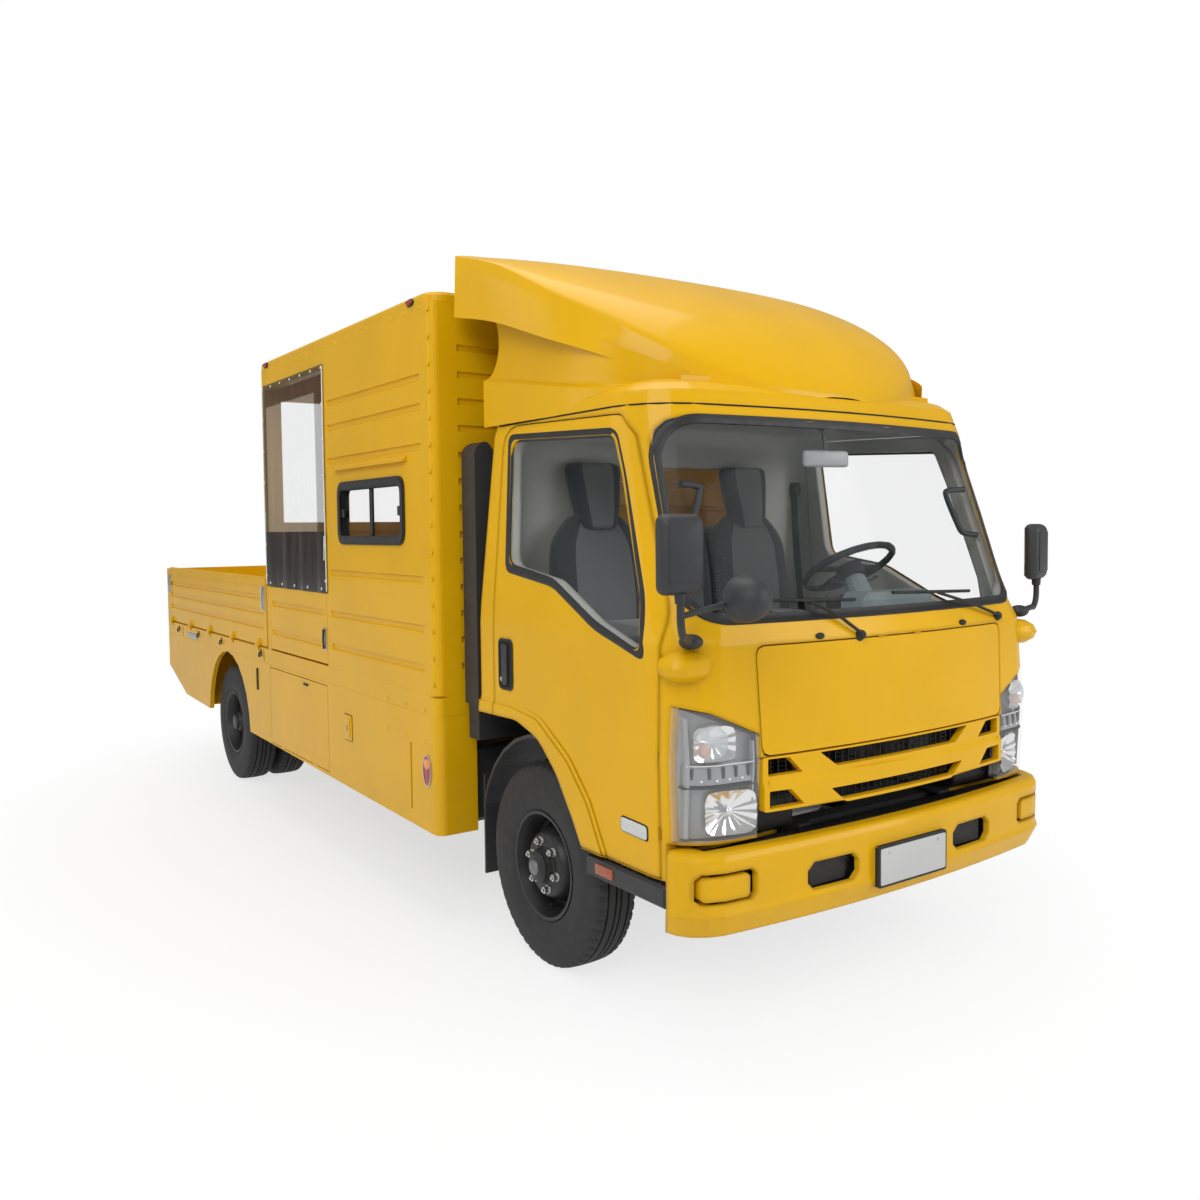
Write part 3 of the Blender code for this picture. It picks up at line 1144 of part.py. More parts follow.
def bumper_ring(z, grow=0.0, steps=5):
    """Plan outline of the bumper at height z: crowned front and rounded ends."""
    tuck = 0.030 * max(0.0, (0.52 - z) / 0.11)
    front = -FRONT_REACH + 0.012 + tuck - grow
    half = 1.008 - tuck * 0.6 + grow
    right = [(half * 0.80 * k / steps, front + 0.045 * (k / steps) ** 2) for k in range(steps + 1)]
    for k in range(1, steps + 1):
        angle = math.pi / 2 * k / steps
        right.append((half * (0.80 + 0.20 * math.sin(angle)),
                      front + 0.045 + 0.150 * (1 - math.cos(angle))))
    return right + [(-x, y) for x, y in right[:0:-1]]


def front_bumper(root, finish):
    """Pressed bumper: a crowned wall with returned lips, dished lamp blanks and tow windows."""
    rings = []
    for z, grow in ((0.420, -0.026), (0.430, -0.004), (0.505, 0.006), (0.524, -0.004), (0.690, -0.002),
                    (0.708, -0.010), (0.715, -0.024)):
        rings.append([(x, y, z) for x, y in bumper_ring(z, grow)])
    outer = loft(rings)
    inner = loft([[(x, y, z) for x, y in bumper_ring(z, -0.034, 3)] for z in (0.440, 0.685)])
    shallow = loft([[(x, y, z) for x, y in bumper_ring(z, -0.014, 3)] for z in (0.30, 0.80)])
    tows, dishes = [], []
    for s in (-1, 1):
        for grow, group in ((0.0, tows), (0.022, dishes)):
            tow = [(s * (0.290 - grow), 0.537 - grow * 0.5), (s * (0.492 + grow), 0.537 - grow * 0.5),
                   (s * (0.492 + grow), 0.614 + grow * 0.6), (s * (0.290 - grow), 0.614 + grow * 0.6)]
            group.append(prism(rounded(tow[::s], 0.018 + grow * 0.5, 1), "Y", -1.30, -0.90))
        blank = [(s * 0.735, 0.545), (s * 0.960, 0.545), (s * 0.960, 0.652), (s * 0.735, 0.652)]
        dishes.append(prism(rounded(blank[::s], 0.02, 1), "Y", -1.30, -0.80))
    pads = []
    for s in (-1, 1):
        pad = [(s * 0.765, 0.558), (s * 0.942, 0.558), (s * 0.942, 0.638), (s * 0.765, 0.638)]
        pads.append(cut(common(outer, prism(rounded(pad[::s], 0.010, 1), "Y", -1.30, -0.80)), inner))
    throat = box(-0.90, 0.90, -FRONT_REACH + 0.150, -0.80, 0.30, 0.80)
    dished = [cut(dish, shallow) for dish in dishes]
    bm = cut(outer, inner, throat, *tows, *dished)
    nose = -FRONT_REACH
    brackets = [box(s * 0.43 - 0.03, s * 0.43 + 0.03, nose + 0.035, nose + 0.1597, 0.625,
                    0.665) for s in (-1, 1)]
    sheet = box(-0.192, 0.192, nose, nose + 0.030, 0.481, 0.631)
    return node("front_bumper", union(bm, *pads, *brackets, sheet), finish, root)


def hood_ring(station, inset=0.0, steps=6):
    """Cross-section of the hood: flat floor, leaning sides and an elliptic back."""
    y, low, ridge, crest, foot, shoulder = station
    low, ridge, crest = low + inset, ridge - inset * 0.3, crest - inset
    foot, shoulder = foot - inset, shoulder - inset
    half = [(foot, low)]
    for k in range(steps):
        angle = math.pi / 2 * k / steps
        half.append((shoulder * math.cos(angle), ridge + (crest - ridge) * math.sin(angle)))
    left = [(-x, z) for x, z in half]
    return [(x, y, z) for x, z in half + [(0.0, crest)] + left[::-1]]


def collar_ring(station, inset=0.0, lift=0.0):
    """Cross-section of the collar: upright base, a ledge and a drawn-in neck."""
    y, base, ledge, neck, top = station
    base, neck, ledge = base - inset, neck - inset, ledge - inset * 0.5
    half = [(base, COLLAR_FOOT - inset), (base, ledge - 0.014), (base - 0.014, ledge),
            (neck - 0.006, ledge + 0.006),
            (neck - 0.006, top + lift)]
    left = [(-x, z) for x, z in half]
    return [(x, y, z) for x, z in half + left[::-1]]


def deflector(root, finish):
    """Roof wind deflector: a hollow crowned hood on a collar, open to the rear and below."""
    hood = loft([hood_ring(station) for station in HOOD_STATIONS])
    collar = loft([collar_ring(station) for station in COLLAR_STATIONS])
    ledge_z, top_z = COLLAR_STATIONS[0][2], COLLAR_STATIONS[0][4]
    notch = prism(rounded([(0.60, ledge_z + 0.008), (0.60, top_z + 0.10),
                           (COLLAR_NOTCH + 0.08, top_z - 0.046),
                           (COLLAR_NOTCH, top_z - 0.10), (COLLAR_NOTCH, ledge_z + 0.06),
                           (COLLAR_NOTCH + 0.06, ledge_z + 0.008)], [0, 0, 0.04, 0.05, 0.04,
                                                                     0.03], 2), "X", -1.2, 1.2)
    outer = union(hood, cut(collar, notch))
    first, second = list(HOOD_STATIONS[0]), list(COLLAR_STATIONS[0])
    first[0] += 0.05
    second[0] += 0.05
    hollow = loft([hood_ring(station, HOOD_WALL,
                             4) for station in [tuple(first)] + list(HOOD_STATIONS[:-1])])
    collar_hollow = loft([collar_ring(station, HOOD_WALL, -0.012)
                          for station in [tuple(second)] + list(COLLAR_STATIONS[:-1])])
    roof = cab_solid(-SEAM, CAB_STATIONS[0][0], CAB_EAVE, -SEAM)
    return node("roof_deflector", cut(outer, hollow, collar_hollow, roof), finish, root)


def cab_step(side):
    """Entry step under the door, with its arm from the frame."""
    x0, x1 = span(side * 0.70, side * 0.985)
    tread = box(x0, x1, -0.885, -0.505, 0.500, 0.580, 0.010)
    edge = slab(side, 0.985, 0.030, -0.60, -0.410, 0.505, 0.575)
    a0, a1 = span(side * 0.4303, side * 0.72)
    arm = box(a0, a1, -0.72, -0.64, 0.525, 0.565)
    return union(tread, edge, arm)


def front_fender(side, root, finish):
    """Arched mudguard over the front wheel with a flap behind it."""
    inner_r, outer_r = WELL_R - 0.022, WELL_R - 0.007
    arc = []
    for k in range(13):
        angle = math.radians(166 - k * 12.6)
        arc.append((outer_r * math.cos(angle), TYRE_RADIUS + outer_r * math.sin(angle)))
    back = [(inner_r * y / outer_r, TYRE_RADIUS + inner_r * (z - TYRE_RADIUS) / outer_r) for y,
            z in arc[::-1]]
    x0, x1 = span(side * 0.66, side * 0.926)
    guard = prism(arc + back, "X", x0, x1)
    flap = box(x0, x1, 0.500, 0.512, 0.250, 0.700)
    b0, b1 = span(side * 0.4303, side * 0.70)
    arm = box(b0, b1, 0.490, 0.530, 0.60, 0.66)
    bm = union(guard, flap, arm, cab_step(side))
    return node("fender_step_" + ("L" if side > 0 else "R"), bm, finish, root)


def seat(x0, x1, headrest):
    """Seat with cushion, back and, where asked, a head restraint."""
    base = box(x0 + 0.03, x1 - 0.03, -0.20, 0.26, CAB_FLOOR + SEAM, CAB_FLOOR + 0.20)
    cushion = box(x0, x1, -0.26, 0.28, CAB_FLOOR + 0.17, CAB_FLOOR + 0.32, 0.03, 1)
    back = prism(rounded([(0.15, 1.30), (0.29, 1.30), (0.365, 1.86), (0.25, 1.86)], 0.04, 2), "X",
                 x0 + 0.01, x1 - 0.01)
    parts = [base, cushion, back]
    if headrest:
        mid = (x0 + x1) / 2
        parts.append(box(mid - 0.14, mid + 0.14, 0.245, 0.345, 1.88, 2.12, 0.03, 1))
        parts.append(box(mid - 0.07, mid + 0.07, 0.285, 0.315, 1.80, 1.92))
    return union(*parts)


def dashboard(root, finish):
    """Moulded dash under the windscreen with its binnacle."""
    profile = rounded([(-0.925, 1.10), (-0.925, 1.440), (-0.82, 1.470), (-0.62, 1.440), (-0.560, 1.36),
                       (-0.60, 1.15),
                       (-0.72, 1.10)], 0.03, 3)
    slab_ = prism(profile, "X", -DASH_HALF, DASH_HALF)
    inside = cab_solid(CAB_WALL + 0.004, CAB_FLOOR - 0.1, CAB_EAVE, 0.05)
    clock = box(0.22, 0.66, -0.72, -0.545, 1.38, 1.520, 0.03, 1)
    legs = [box(s * 0.53 - 0.02, s * 0.53 + 0.02, -0.80, -0.70, 0.7003, 1.15) for s in (-1, 1)]
    bm = union(common(union(slab_, clock), inside), *legs, steering_column())
    return node("dashboard", bm, finish, root)


def steering_column():
    start = WHEEL_CENTRE - WHEEL_AXIS * (0.050 + SEAM)
    column = rod(start, start - WHEEL_AXIS * 0.475, 0.040, 12, 0.045)
    shroud = rod(start - WHEEL_AXIS * 0.012, start - WHEEL_AXIS * 0.24, 0.052, 12, 0.065)
    return union(column, shroud)


def steering_wheel(root, finish):
    """Rim, three spokes and the hub, drawn flat and turned onto the column."""
    ring = [(0.017 * math.cos(math.tau * k / 6),
             0.205 + 0.017 * math.sin(math.tau * k / 6)) for k in range(5)]
    rim = lathe([(a, r) for a, r in ring], (0, 0, 0), 20, "Z")
    hub = rod((0, 0, -0.050), (0, 0, 0.006), 0.062, 12)
    spokes = [box(-0.20, -0.04, -0.016, 0.016, -0.012, 0.0), box(0.04, 0.20, -0.016, 0.016, -0.012, 0.0),
              box(-0.016, 0.016, -0.20, -0.04, -0.012, 0.0)]
    bm = union(rim, hub, *spokes)
    obj = node("steering_wheel", bm, finish, root)
    obj.location = WHEEL_CENTRE
    obj.rotation_mode = "QUATERNION"
    obj.rotation_quaternion = WHEEL_AXIS.to_track_quat("Z", "Y")
    return obj


def mirror_arm(side, root, finish):
    """Tubular arm from the cab corner with the mirror housing on its end."""
    if side < 0:
        head, foot = Vector((-MIRROR_X, -1.165, 1.718)), Vector((-0.935, -0.975, 1.418))
    else:
        head, foot = Vector((MIRROR_X, -0.900, 1.677)), Vector((0.945, -0.938, 1.418))
    high, wide, deep = 0.258, 0.162, 0.064
    shell = box(-wide / 2, wide / 2, -deep / 2, deep / 2, -high / 2, high / 2, 0.024, 1)
    turn = Matrix.Rotation(math.radians(14 * side), 4, "Z")
    bmesh.ops.transform(shell, matrix=Matrix.Translation(head) @ turn, verts=shell.verts[:])
    bottom = head - Vector((0, 0, high / 2 + 0.10))
    tube = pipe([tuple(foot), tuple(foot + (bottom - foot) * 0.85 - Vector((0, 0, 0.01))),
                 tuple(bottom + Vector((0, 0, 0.02))), tuple(head - Vector((0, 0,
                                                                            high / 2 - 0.04)))], 0.012, 8)
    cap = ball(foot, (0.045, 0.045, 0.030), 10, 5)
    parts = [shell, tube, cap]
    if side < 0:
        eye = Vector((-0.900, -MIRROR_NOSE + 0.075, 1.574))
        dome = [(0.055, 0.0005)]
        dome += [(0.045 - 0.120 * k / 4, 0.076 * math.sqrt(1 - (k / 4) ** 2.4)) for k in range(4)]
        parts.append(lathe(dome + [(-0.075, 0.0005)], tuple(eye), 14, "Y"))
        parts.append(pipe([tuple(head - Vector((0, 0, high / 2 + 0.06))), tuple(eye + Vector((-0.03,
                                                                                              0.035, -0.01))),
                           tuple(eye + Vector((0.01, 0.02, 0)))], 0.010, 8))
    skin = cab_solid(-SEAM, CAB_STATIONS[0][0], CAB_EAVE)
    return node("mirror_" + ("L" if side > 0 else "R"), cut(union(*parts), skin), finish, root)


def corner_pod(side):
    """Moulded bulge at the front corner below the mirror foot."""
    return ball((side * 0.925, -0.930, 1.335), (0.105, 0.085, 0.055), 12, 6)


def intake_snorkel(root, finish):
    """Air intake duct that stands behind the right rear corner of the cab."""
    path = rounded([(-0.965, 1.02), (-0.965, 2.16), (-0.905, 2.20), (-0.86, 2.14), (-0.86, 1.02)],
                   [0, 0.05, 0.03, 0.03, 0], 3)
    duct = prism(path, "Y", 0.475, 0.600)
    foot = box(-0.955, -0.40, 0.49, 0.585, 0.86, 1.04)
    leg = box(-0.4297, -0.37, 0.49, 0.585, RAIL_TOP + SEAM, 0.90)
    return node("intake_duct", union(duct, foot, leg), finish, root)


# Truck
def clear_scene():
    for obj in list(bpy.data.objects):
        bpy.data.objects.remove(obj, do_unlink=True)


def build():
    clear_scene()
    root = empty("truck", (0, 0, 0))
    root.location = (0, -Y_MID, 0)
    paint = material("yellow_paint", YELLOW, 0.35)
    iron = material("chassis_black", BLACK, 0.55)
    rubber = material("tyre_rubber", (0.02, 0.02, 0.02), 0.85)
    wheel = material("wheel_black", (0.03, 0.03, 0.032), 0.5, 0.3)
    plastic = material("black_plastic", DARK, 0.6)
    trim = material("window_rubber", BLACK, 0.6)
    glazing = material("tinted_glass", CLEAR, 0.05, 0.0, 0.35)
    vinyl = material("clear_vinyl", (0.6, 0.63, 0.62), 0.25, 0.0, 0.4)
    lamp = material("lamp_lens", (0.55, 0.56, 0.56), 0.1)
    fabric = material("seat_fabric", (0.08, 0.08, 0.09), 0.9)
    moulding = material("dash_grey", (0.16, 0.18, 0.17), 0.6)
    metal = material("bare_steel", GREY, 0.4, 0.9)
    tail = material("tail_lamp", (0.45, 0.02, 0.02), 0.2)

    chassis_frame(root, iron)
    front_axle(root, iron)
    rear_axle(root, iron)
    engine_block(root, metal)
    driveline(root, iron)
    knuckles = {side: knuckle(side, root, iron) for side in (-1, 1)}
    tie_rod(knuckles[-1], iron)
    for side in (-1, 1):
        tag = "L" if side > 0 else "R"
        near = FRONT_TRACK / 2 - TYRE_WIDTH / 2
        rim = front_rim(side, knuckles[side], wheel)
        tyre("front_tyre_" + tag, side, near, near + TYRE_WIDTH, 0.0, rim, rubber)
        twin = rear_rim(side, root, wheel)
        outer = REAR_OUTER_FACE
        tyre("rear_tyre_outer_" + tag, side, outer - TYRE_WIDTH, outer, WHEELBASE, twin, rubber)
        low = outer - TYRE_WIDTH - TWIN_GAP
        tyre("rear_tyre_inner_" + tag, side, low - TYRE_WIDTH, low, WHEELBASE, twin, rubber)

    cargo_floor(root, paint)
    box_front_wall(root, paint)
    box_rear_wall(root, paint)
    box_roof(root, paint)
    tailgate(root, paint)
    rear_lamp_bar(root, tail)
    for side in (-1, 1):
        box_side_wall(side, root, paint)
        side_window(side, root, trim)
        curtain(side, root, vinyl)
        half_gate(side, root, paint)
        skirt(side, root, paint)
        locker_door(side, root, paint)
        dropside(side, root, paint)

    cab_shell(root, paint)
    windscreen(root, glazing)
    rear_glass(root, glazing)
    front_lid(root, paint)
    grille(root, paint)
    front_bumper(root, paint)
    deflector(root, paint)
    dashboard(root, moulding)
    steering_wheel(root, plastic)
    intake_snorkel(root, plastic)
    node("driver_seat", seat(0.20, 0.70, True), fabric, root)
    link = box(-0.30, -0.10, -0.15, 0.22, CAB_FLOOR + 0.02, CAB_FLOOR + 0.16)
    node("passenger_bench", union(seat(-0.72, -0.22, True), seat(-0.19, 0.17, False), link), fabric, root)
    for side in (-1, 1):
        door = cab_door(side, root, paint)
        door_glass(side, door, glazing)
        headlamp(side, root, lamp)
        front_fender(side, root, plastic)
        mirror_arm(side, root, plastic)


build()
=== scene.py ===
"""Looks of the pre-heating truck: finishes, trim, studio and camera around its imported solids."""
import enum
import logging
import math
from dataclasses import dataclass
from typing import ClassVar, Sequence

import bmesh
import bpy
from mathutils import Matrix, Vector
from mathutils.bvhtree import BVHTree
from mathutils.geometry import tessellate_polygon


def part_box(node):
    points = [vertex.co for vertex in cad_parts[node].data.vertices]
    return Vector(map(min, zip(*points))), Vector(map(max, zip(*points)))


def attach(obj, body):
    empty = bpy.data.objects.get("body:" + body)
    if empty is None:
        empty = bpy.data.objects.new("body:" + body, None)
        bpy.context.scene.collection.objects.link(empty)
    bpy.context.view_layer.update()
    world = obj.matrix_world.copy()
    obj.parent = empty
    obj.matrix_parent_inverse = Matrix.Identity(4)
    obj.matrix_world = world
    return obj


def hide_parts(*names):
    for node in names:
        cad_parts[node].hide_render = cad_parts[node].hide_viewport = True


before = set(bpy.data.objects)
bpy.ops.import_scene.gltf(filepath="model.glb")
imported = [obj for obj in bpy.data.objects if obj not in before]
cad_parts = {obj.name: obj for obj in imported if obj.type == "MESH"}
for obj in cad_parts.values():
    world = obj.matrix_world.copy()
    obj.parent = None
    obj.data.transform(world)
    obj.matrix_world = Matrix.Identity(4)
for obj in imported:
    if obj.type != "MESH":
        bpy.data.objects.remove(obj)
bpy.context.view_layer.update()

AXLE_Y = 2.296
BODY_HALF = 1.090
# Black that stands for painted shade deep in the nose's openings.
PIT_SHADE_BLACK = (0.006, 0.006, 0.007)
LOG = logging.getLogger("truck")
Colour = tuple[float, float, float]
Point = Sequence[float]


def at(x: float, y: float, z: float) -> Vector:
    """Point given from the front axle, turned into the frame's own place."""
    return Vector((x, y - AXLE_Y, z))


class Side(enum.Enum):
    """Side of the truck, as the sign of its x."""

    LEFT = 1
    RIGHT = -1

    @property
    def letter(self) -> str:
        """Letter that ends the names of this side's pieces."""
        return "L" if self is Side.LEFT else "R"


def both(*stems: str) -> list[str]:
    """Names of both sides' solids."""
    return [f"{stem}_{side.letter}" for stem in stems for side in Side]


class Value:
    """One shader socket, with arithmetic that adds Math nodes."""

    def __init__(self, sheet: "Sheet", socket: bpy.types.NodeSocket) -> None:
        """Keep the socket and the sheet that it belongs to."""
        self.sheet = sheet
        self.socket = socket

    def _math(self, operation: str, first: "Value | float", second: "Value | float" = 0.0) -> "Value":
        """Add one Math node."""
        node = self.sheet.add("ShaderNodeMath", {"operation": operation}, {0: first, 1: second})
        return Value(self.sheet, node.outputs[0])

    def __add__(self, other: "Value | float") -> "Value":
        """Sum."""
        return self._math("ADD", self, other)

    def __radd__(self, other: float) -> "Value":
        """Reflected sum."""
        return self._math("ADD", other, self)

    def __sub__(self, other: "Value | float") -> "Value":
        """Difference."""
        return self._math("SUBTRACT", self, other)

    def __rsub__(self, other: float) -> "Value":
        """Reflected difference."""
        return self._math("SUBTRACT", other, self)

    def __mul__(self, other: "Value | float") -> "Value":
        """Product."""
        return self._math("MULTIPLY", self, other)

    def __rmul__(self, other: float) -> "Value":
        """Reflected product."""
        return self._math("MULTIPLY", other, self)

    def __gt__(self, other: "Value | float") -> "Value":
        """1 where this value is the greater one."""
        return self._math("GREATER_THAN", self, other)

    def __lt__(self, other: "Value | float") -> "Value":
        """1 where this value is the lesser one."""
        return self._math("LESS_THAN", self, other)

    def __abs__(self) -> "Value":
        """Size without sign."""
        return self._math("ABSOLUTE", self)

    def most(self, other: "Value | float") -> "Value":
        """Greater of two values."""
        return self._math("MAXIMUM", self, other)

    def least(self, other: "Value | float") -> "Value":
        """Lesser of two values."""
        return self._math("MINIMUM", self, other)

    def ramp(self, low: float, high: float) -> "Value":
        """Smooth step from 0 at low to 1 at high.

        Args:
            low: Value that gives 0.
            high: Value that gives 1.

        Returns:
            The eased value.
        """
        settings = {"interpolation_type": "SMOOTHSTEP"}
        node = self.sheet.add("ShaderNodeMapRange", settings,
                              {"Value": self, "From Min": low, "From Max": high})
        return Value(self.sheet, node.outputs[0])


class Sheet:
    """One material's node tree and the ways to fill it."""

    def __init__(self, name: str) -> None:
        """Start a material with its Principled shader.

        Args:
            name: The material's name.
        """
        self.material = bpy.data.materials.new(name)
        self.material.use_nodes = True
        self.tree = self.material.node_tree
        self.shader = self.tree.nodes["Principled BSDF"]
        self._place: bpy.types.Node | None = None

    def add(self, kind: str, settings: dict, inputs: dict) -> bpy.types.Node:
        """Add a node.

        Args:
            kind: The node's type.
            settings: Its own settings, set first.
            inputs: Socket index or name to a value, colour, socket or Value.

        Returns:
            The new node.
        """
        node = self.tree.nodes.new(kind)
        for key, value in settings.items():
            setattr(node, key, value)
        for key, value in inputs.items():
            self.feed(node.inputs[key], value)
        return node

    def feed(self, socket: bpy.types.NodeSocket, value: object) -> None:
        """Link a Value or socket to a socket, or set a plain value on it.

        Args:
            socket: The input.
            value: What goes in.
        """
        if isinstance(value, Value):
            value = value.socket
        if isinstance(value, bpy.types.NodeSocket):
            self.tree.links.new(value, socket)
        else:
            socket.default_value = value

    def place(self) -> tuple[Value, Value, Value]:
        """Coordinates of the shaded point in the piece's own frame.

        Returns:
            Its x, y and z.
        """
        if self._place is None:
            spot = self.add("ShaderNodeTexCoord", {}, {})
            self._place = self.add("ShaderNodeSeparateXYZ", {}, {0: spot.outputs["Object"]})
        outs = self._place.outputs
        return Value(self, outs[0]), Value(self, outs[1]), Value(self, outs[2])

    def noise(self, scale: float, detail: float = 3.0, stretch: Point = (1, 1, 1)) -> Value:
        """Noise on the piece's own coordinates.

        Args:
            scale: Waves in a metre.
            detail: Octaves.
            stretch: Factor on each axis.

        Returns:
            Noise about 0.5.
        """
        spot = self.add("ShaderNodeTexCoord", {}, {})
        turned = self.add("ShaderNodeMapping", {}, {"Vector": spot.outputs["Object"],
                                                    "Scale": tuple(stretch)})
        node = self.add("ShaderNodeTexNoise", {}, {"Vector": turned.outputs[0], "Scale": scale,
                                                   "Detail": detail})
        return Value(self, node.outputs["Fac"])

    def root(self, value: Value) -> Value:
        """Square root of a value."""
        return Value(self, self.add("ShaderNodeMath", {"operation": "SQRT"}, {0: value}).outputs[0])

    def cells(self, scale: float) -> Value:
        """Distance field of small cells.

        Args:
            scale: Cells in a metre.

        Returns:
            Distance to each cell's middle.
        """
        spot = self.add("ShaderNodeTexCoord", {}, {})
        node = self.add("ShaderNodeTexVoronoi", {}, {"Vector": spot.outputs["Object"], "Scale": scale})
        return Value(self, node.outputs["Distance"])

    def mix(self, share: "Value | float", first: object, second: object) -> bpy.types.NodeSocket:
        """Mix two colours.

        Args:
            share: Share of the second.
            first: Colour or socket.
            second: Colour or socket.

        Returns:
            The mixed colour's socket.
        """
        node = self.add("ShaderNodeMix", {"data_type": "RGBA"}, {"Factor": share})
        for name, value in (("A", first), ("B", second)):
            socket = next(item for item in node.inputs if item.name == name and item.type == "RGBA")
            if isinstance(value, tuple) and len(value) == 3:
                value = (*value, 1.0)
            self.feed(socket, value)
        return next(item for item in node.outputs if item.type == "RGBA")

    def set(self, **values: object) -> None:
        """Set or link the shader's sockets.

        Args:
            values: Socket name, with _ for a space, to its value.
        """
        for key, value in values.items():
            if isinstance(value, tuple) and len(value) == 3:
                value = (*value, 1.0)
            self.feed(self.shader.inputs[key.replace("_", " ")], value)

    def bump(self, height: Value, depth: float, strength: float = 1.0,
             soft: bpy.types.Node | None = None) -> None:
        """Turn a height field into the shader's normal.

        Args:
            height: Height from 0 to 1.
            depth: Depth in metres.
            strength: Weight of the effect.
            soft: Node that rounds the facets, or None.
        """
        node = self.add("ShaderNodeBump", {}, {"Height": height, "Distance": depth, "Strength": strength})
        if soft is not None:
            self.tree.links.new(soft.outputs[0], node.inputs["Normal"])
        self.feed(self.shader.inputs["Normal"], node.outputs[0])


@dataclass(frozen=True)
class Paint:
    """Sprayed enamel with faint waviness, road dust low down and a soft clear coat, with optional painted
    shade (black) deep in the nose's openings.
    """

    name: str
    colour: Colour
    gloss: float = 0.40
    dust: float = 0.10
    coat: float = 0.20
    inner: Colour | None = None
    # Whether faces deep in the nose's openings get painted shade (black).
    pocket: bool = False
    soften: bool = False

    DUST: ClassVar[Colour] = (0.21, 0.17, 0.11)
    EDGE_ROUND: ClassVar[float] = 0.030
    CAB_FLOOR: ClassVar[float] = 0.69
    CAB_REAR: ClassVar[float] = 0.415
    CAB_HALF: ClassVar[float] = 0.988
    CAB_WAIST: ClassVar[float] = 1.48
    CAB_NOSE: ClassVar[float] = 1.085
    ROOF_FOOT: ClassVar[float] = 2.238
    ROOF_CURL: ClassVar[float] = 0.095
    CAB_SKIN: ClassVar[float] = 0.016

    def build(self) -> bpy.types.Material:
        """Make the material.

        Returns:
            The painted finish.
        """
        sheet = Sheet(self.name)
        x, y, z = sheet.place()
        cloud = sheet.noise(2.2, 4.0)
        fine = sheet.noise(38.0, 2.0)
        pale = tuple(min(1.0, c * 1.03) for c in self.colour)
        deep = tuple(c * 0.96 for c in self.colour)
        body = sheet.mix(cloud.ramp(0.30, 0.70), deep, pale)
        low = (1.0 - z.ramp(0.25, 0.95)) * sheet.noise(7.0, 5.0).ramp(0.35, 0.75) * self.dust
        body = sheet.mix(low, body, self.DUST)
        if self.inner is not None:
            mask = self._inside(sheet)
            body = sheet.mix(mask, body, self.inner)
            # Painted shade: inner faces down in the nose opening get black instead of the grey lining.
            pit_shade = mask * (z < 1.300) * ((y + AXLE_Y) < -0.800)
            body = sheet.mix(pit_shade, body, PIT_SHADE_BLACK)
        if self.pocket:
            # Painted shade: faces deep inside the grille's and bumper's openings are painted black.
            behind = (y + AXLE_Y - abs(x) * abs(x) * 0.075) > self._pocket_depth(z)
            body = sheet.mix(behind * (abs(x) < 0.900) * (z > 0.505), body, PIT_SHADE_BLACK)
        sheet.set(Base_Color=body, Roughness=self.gloss + fine * 0.08 + low * 0.5,
                  Coat_Weight=self.coat, Coat_Roughness=0.12, Specular_IOR_Level=0.14)
        soft = sheet.add("ShaderNodeBevel", {"samples": 6},
                         {"Radius": self.EDGE_ROUND}) if self.soften else None
        sheet.bump(sheet.noise(9.0, 2.0), 0.0012, 0.30, soft)
        return sheet.material

    def _pocket_depth(self, z: Value) -> Value:
        """Depth behind which the nose's openings get painted shade (black)."""
        return -1.052 - (z < 0.690) * 0.040

    def _inside(self, sheet: Sheet) -> Value:
        """Mask of the faces that look into the cab.

        Args:
            sheet: The material under way.

        Returns:
            1 on inner faces.
        """
        x, y, z = sheet.place()
        lean = (z - self.CAB_WAIST).most(0.0)
        half = self.CAB_HALF - lean * 0.0847
        front = (1.0 - z).most(0.0) * 0.062 + (z - 1.0).most(0.0).least(0.4) * 0.0425
        front = front + (z - 1.4).most(0.0).least(0.08) * 0.4125 + lean * 0.2958 - (self.CAB_NOSE + AXLE_Y)
        corner = 0.26
        across = abs(x) - (half - corner)
        bow = 0.056 * (abs(x) * (1.0 / 0.72)).least(1.0)
        ahead = (front + bow + corner) - y
        a, b = across.most(0.0), ahead.most(0.0)
        reach = sheet.root(a * a + b * b)
        rear = y < (self.CAB_REAR - AXLE_Y)
        low = z > self.CAB_FLOOR
        depth = (corner - reach).most(0.0).least(0.2)
        bend = 1.0 - depth * 5.0
        roof = z < (sheet.root((1.0 - bend * bend).most(0.0)) * self.ROOF_CURL + self.ROOF_FOOT)
        side = reach < (corner - self.CAB_SKIN)
        return side * rear * low * roof


@dataclass(frozen=True)
class Moulding:
    """Plastic or rubber with a moulded grain and a little surface wear."""

    name: str
    colour: Colour
    rough: float = 0.55
    grain: float = 900.0
    depth: float = 0.00025
    wear: float = 0.25

    def build(self) -> bpy.types.Material:
        """Make the material.

        Returns:
            The moulded finish.
        """
        sheet = Sheet(self.name)
        cloud = sheet.noise(5.0, 5.0)
        faded = tuple(c * 1.5 + 0.012 for c in self.colour)
        body = sheet.mix(cloud.ramp(0.45, 0.80) * self.wear, self.colour, faded)
        sheet.set(Base_Color=body, Roughness=self.rough + sheet.noise(24.0).ramp(0.3, 0.8) * 0.10)
        sheet.bump(sheet.cells(self.grain), self.depth, 0.6)
        return sheet.material


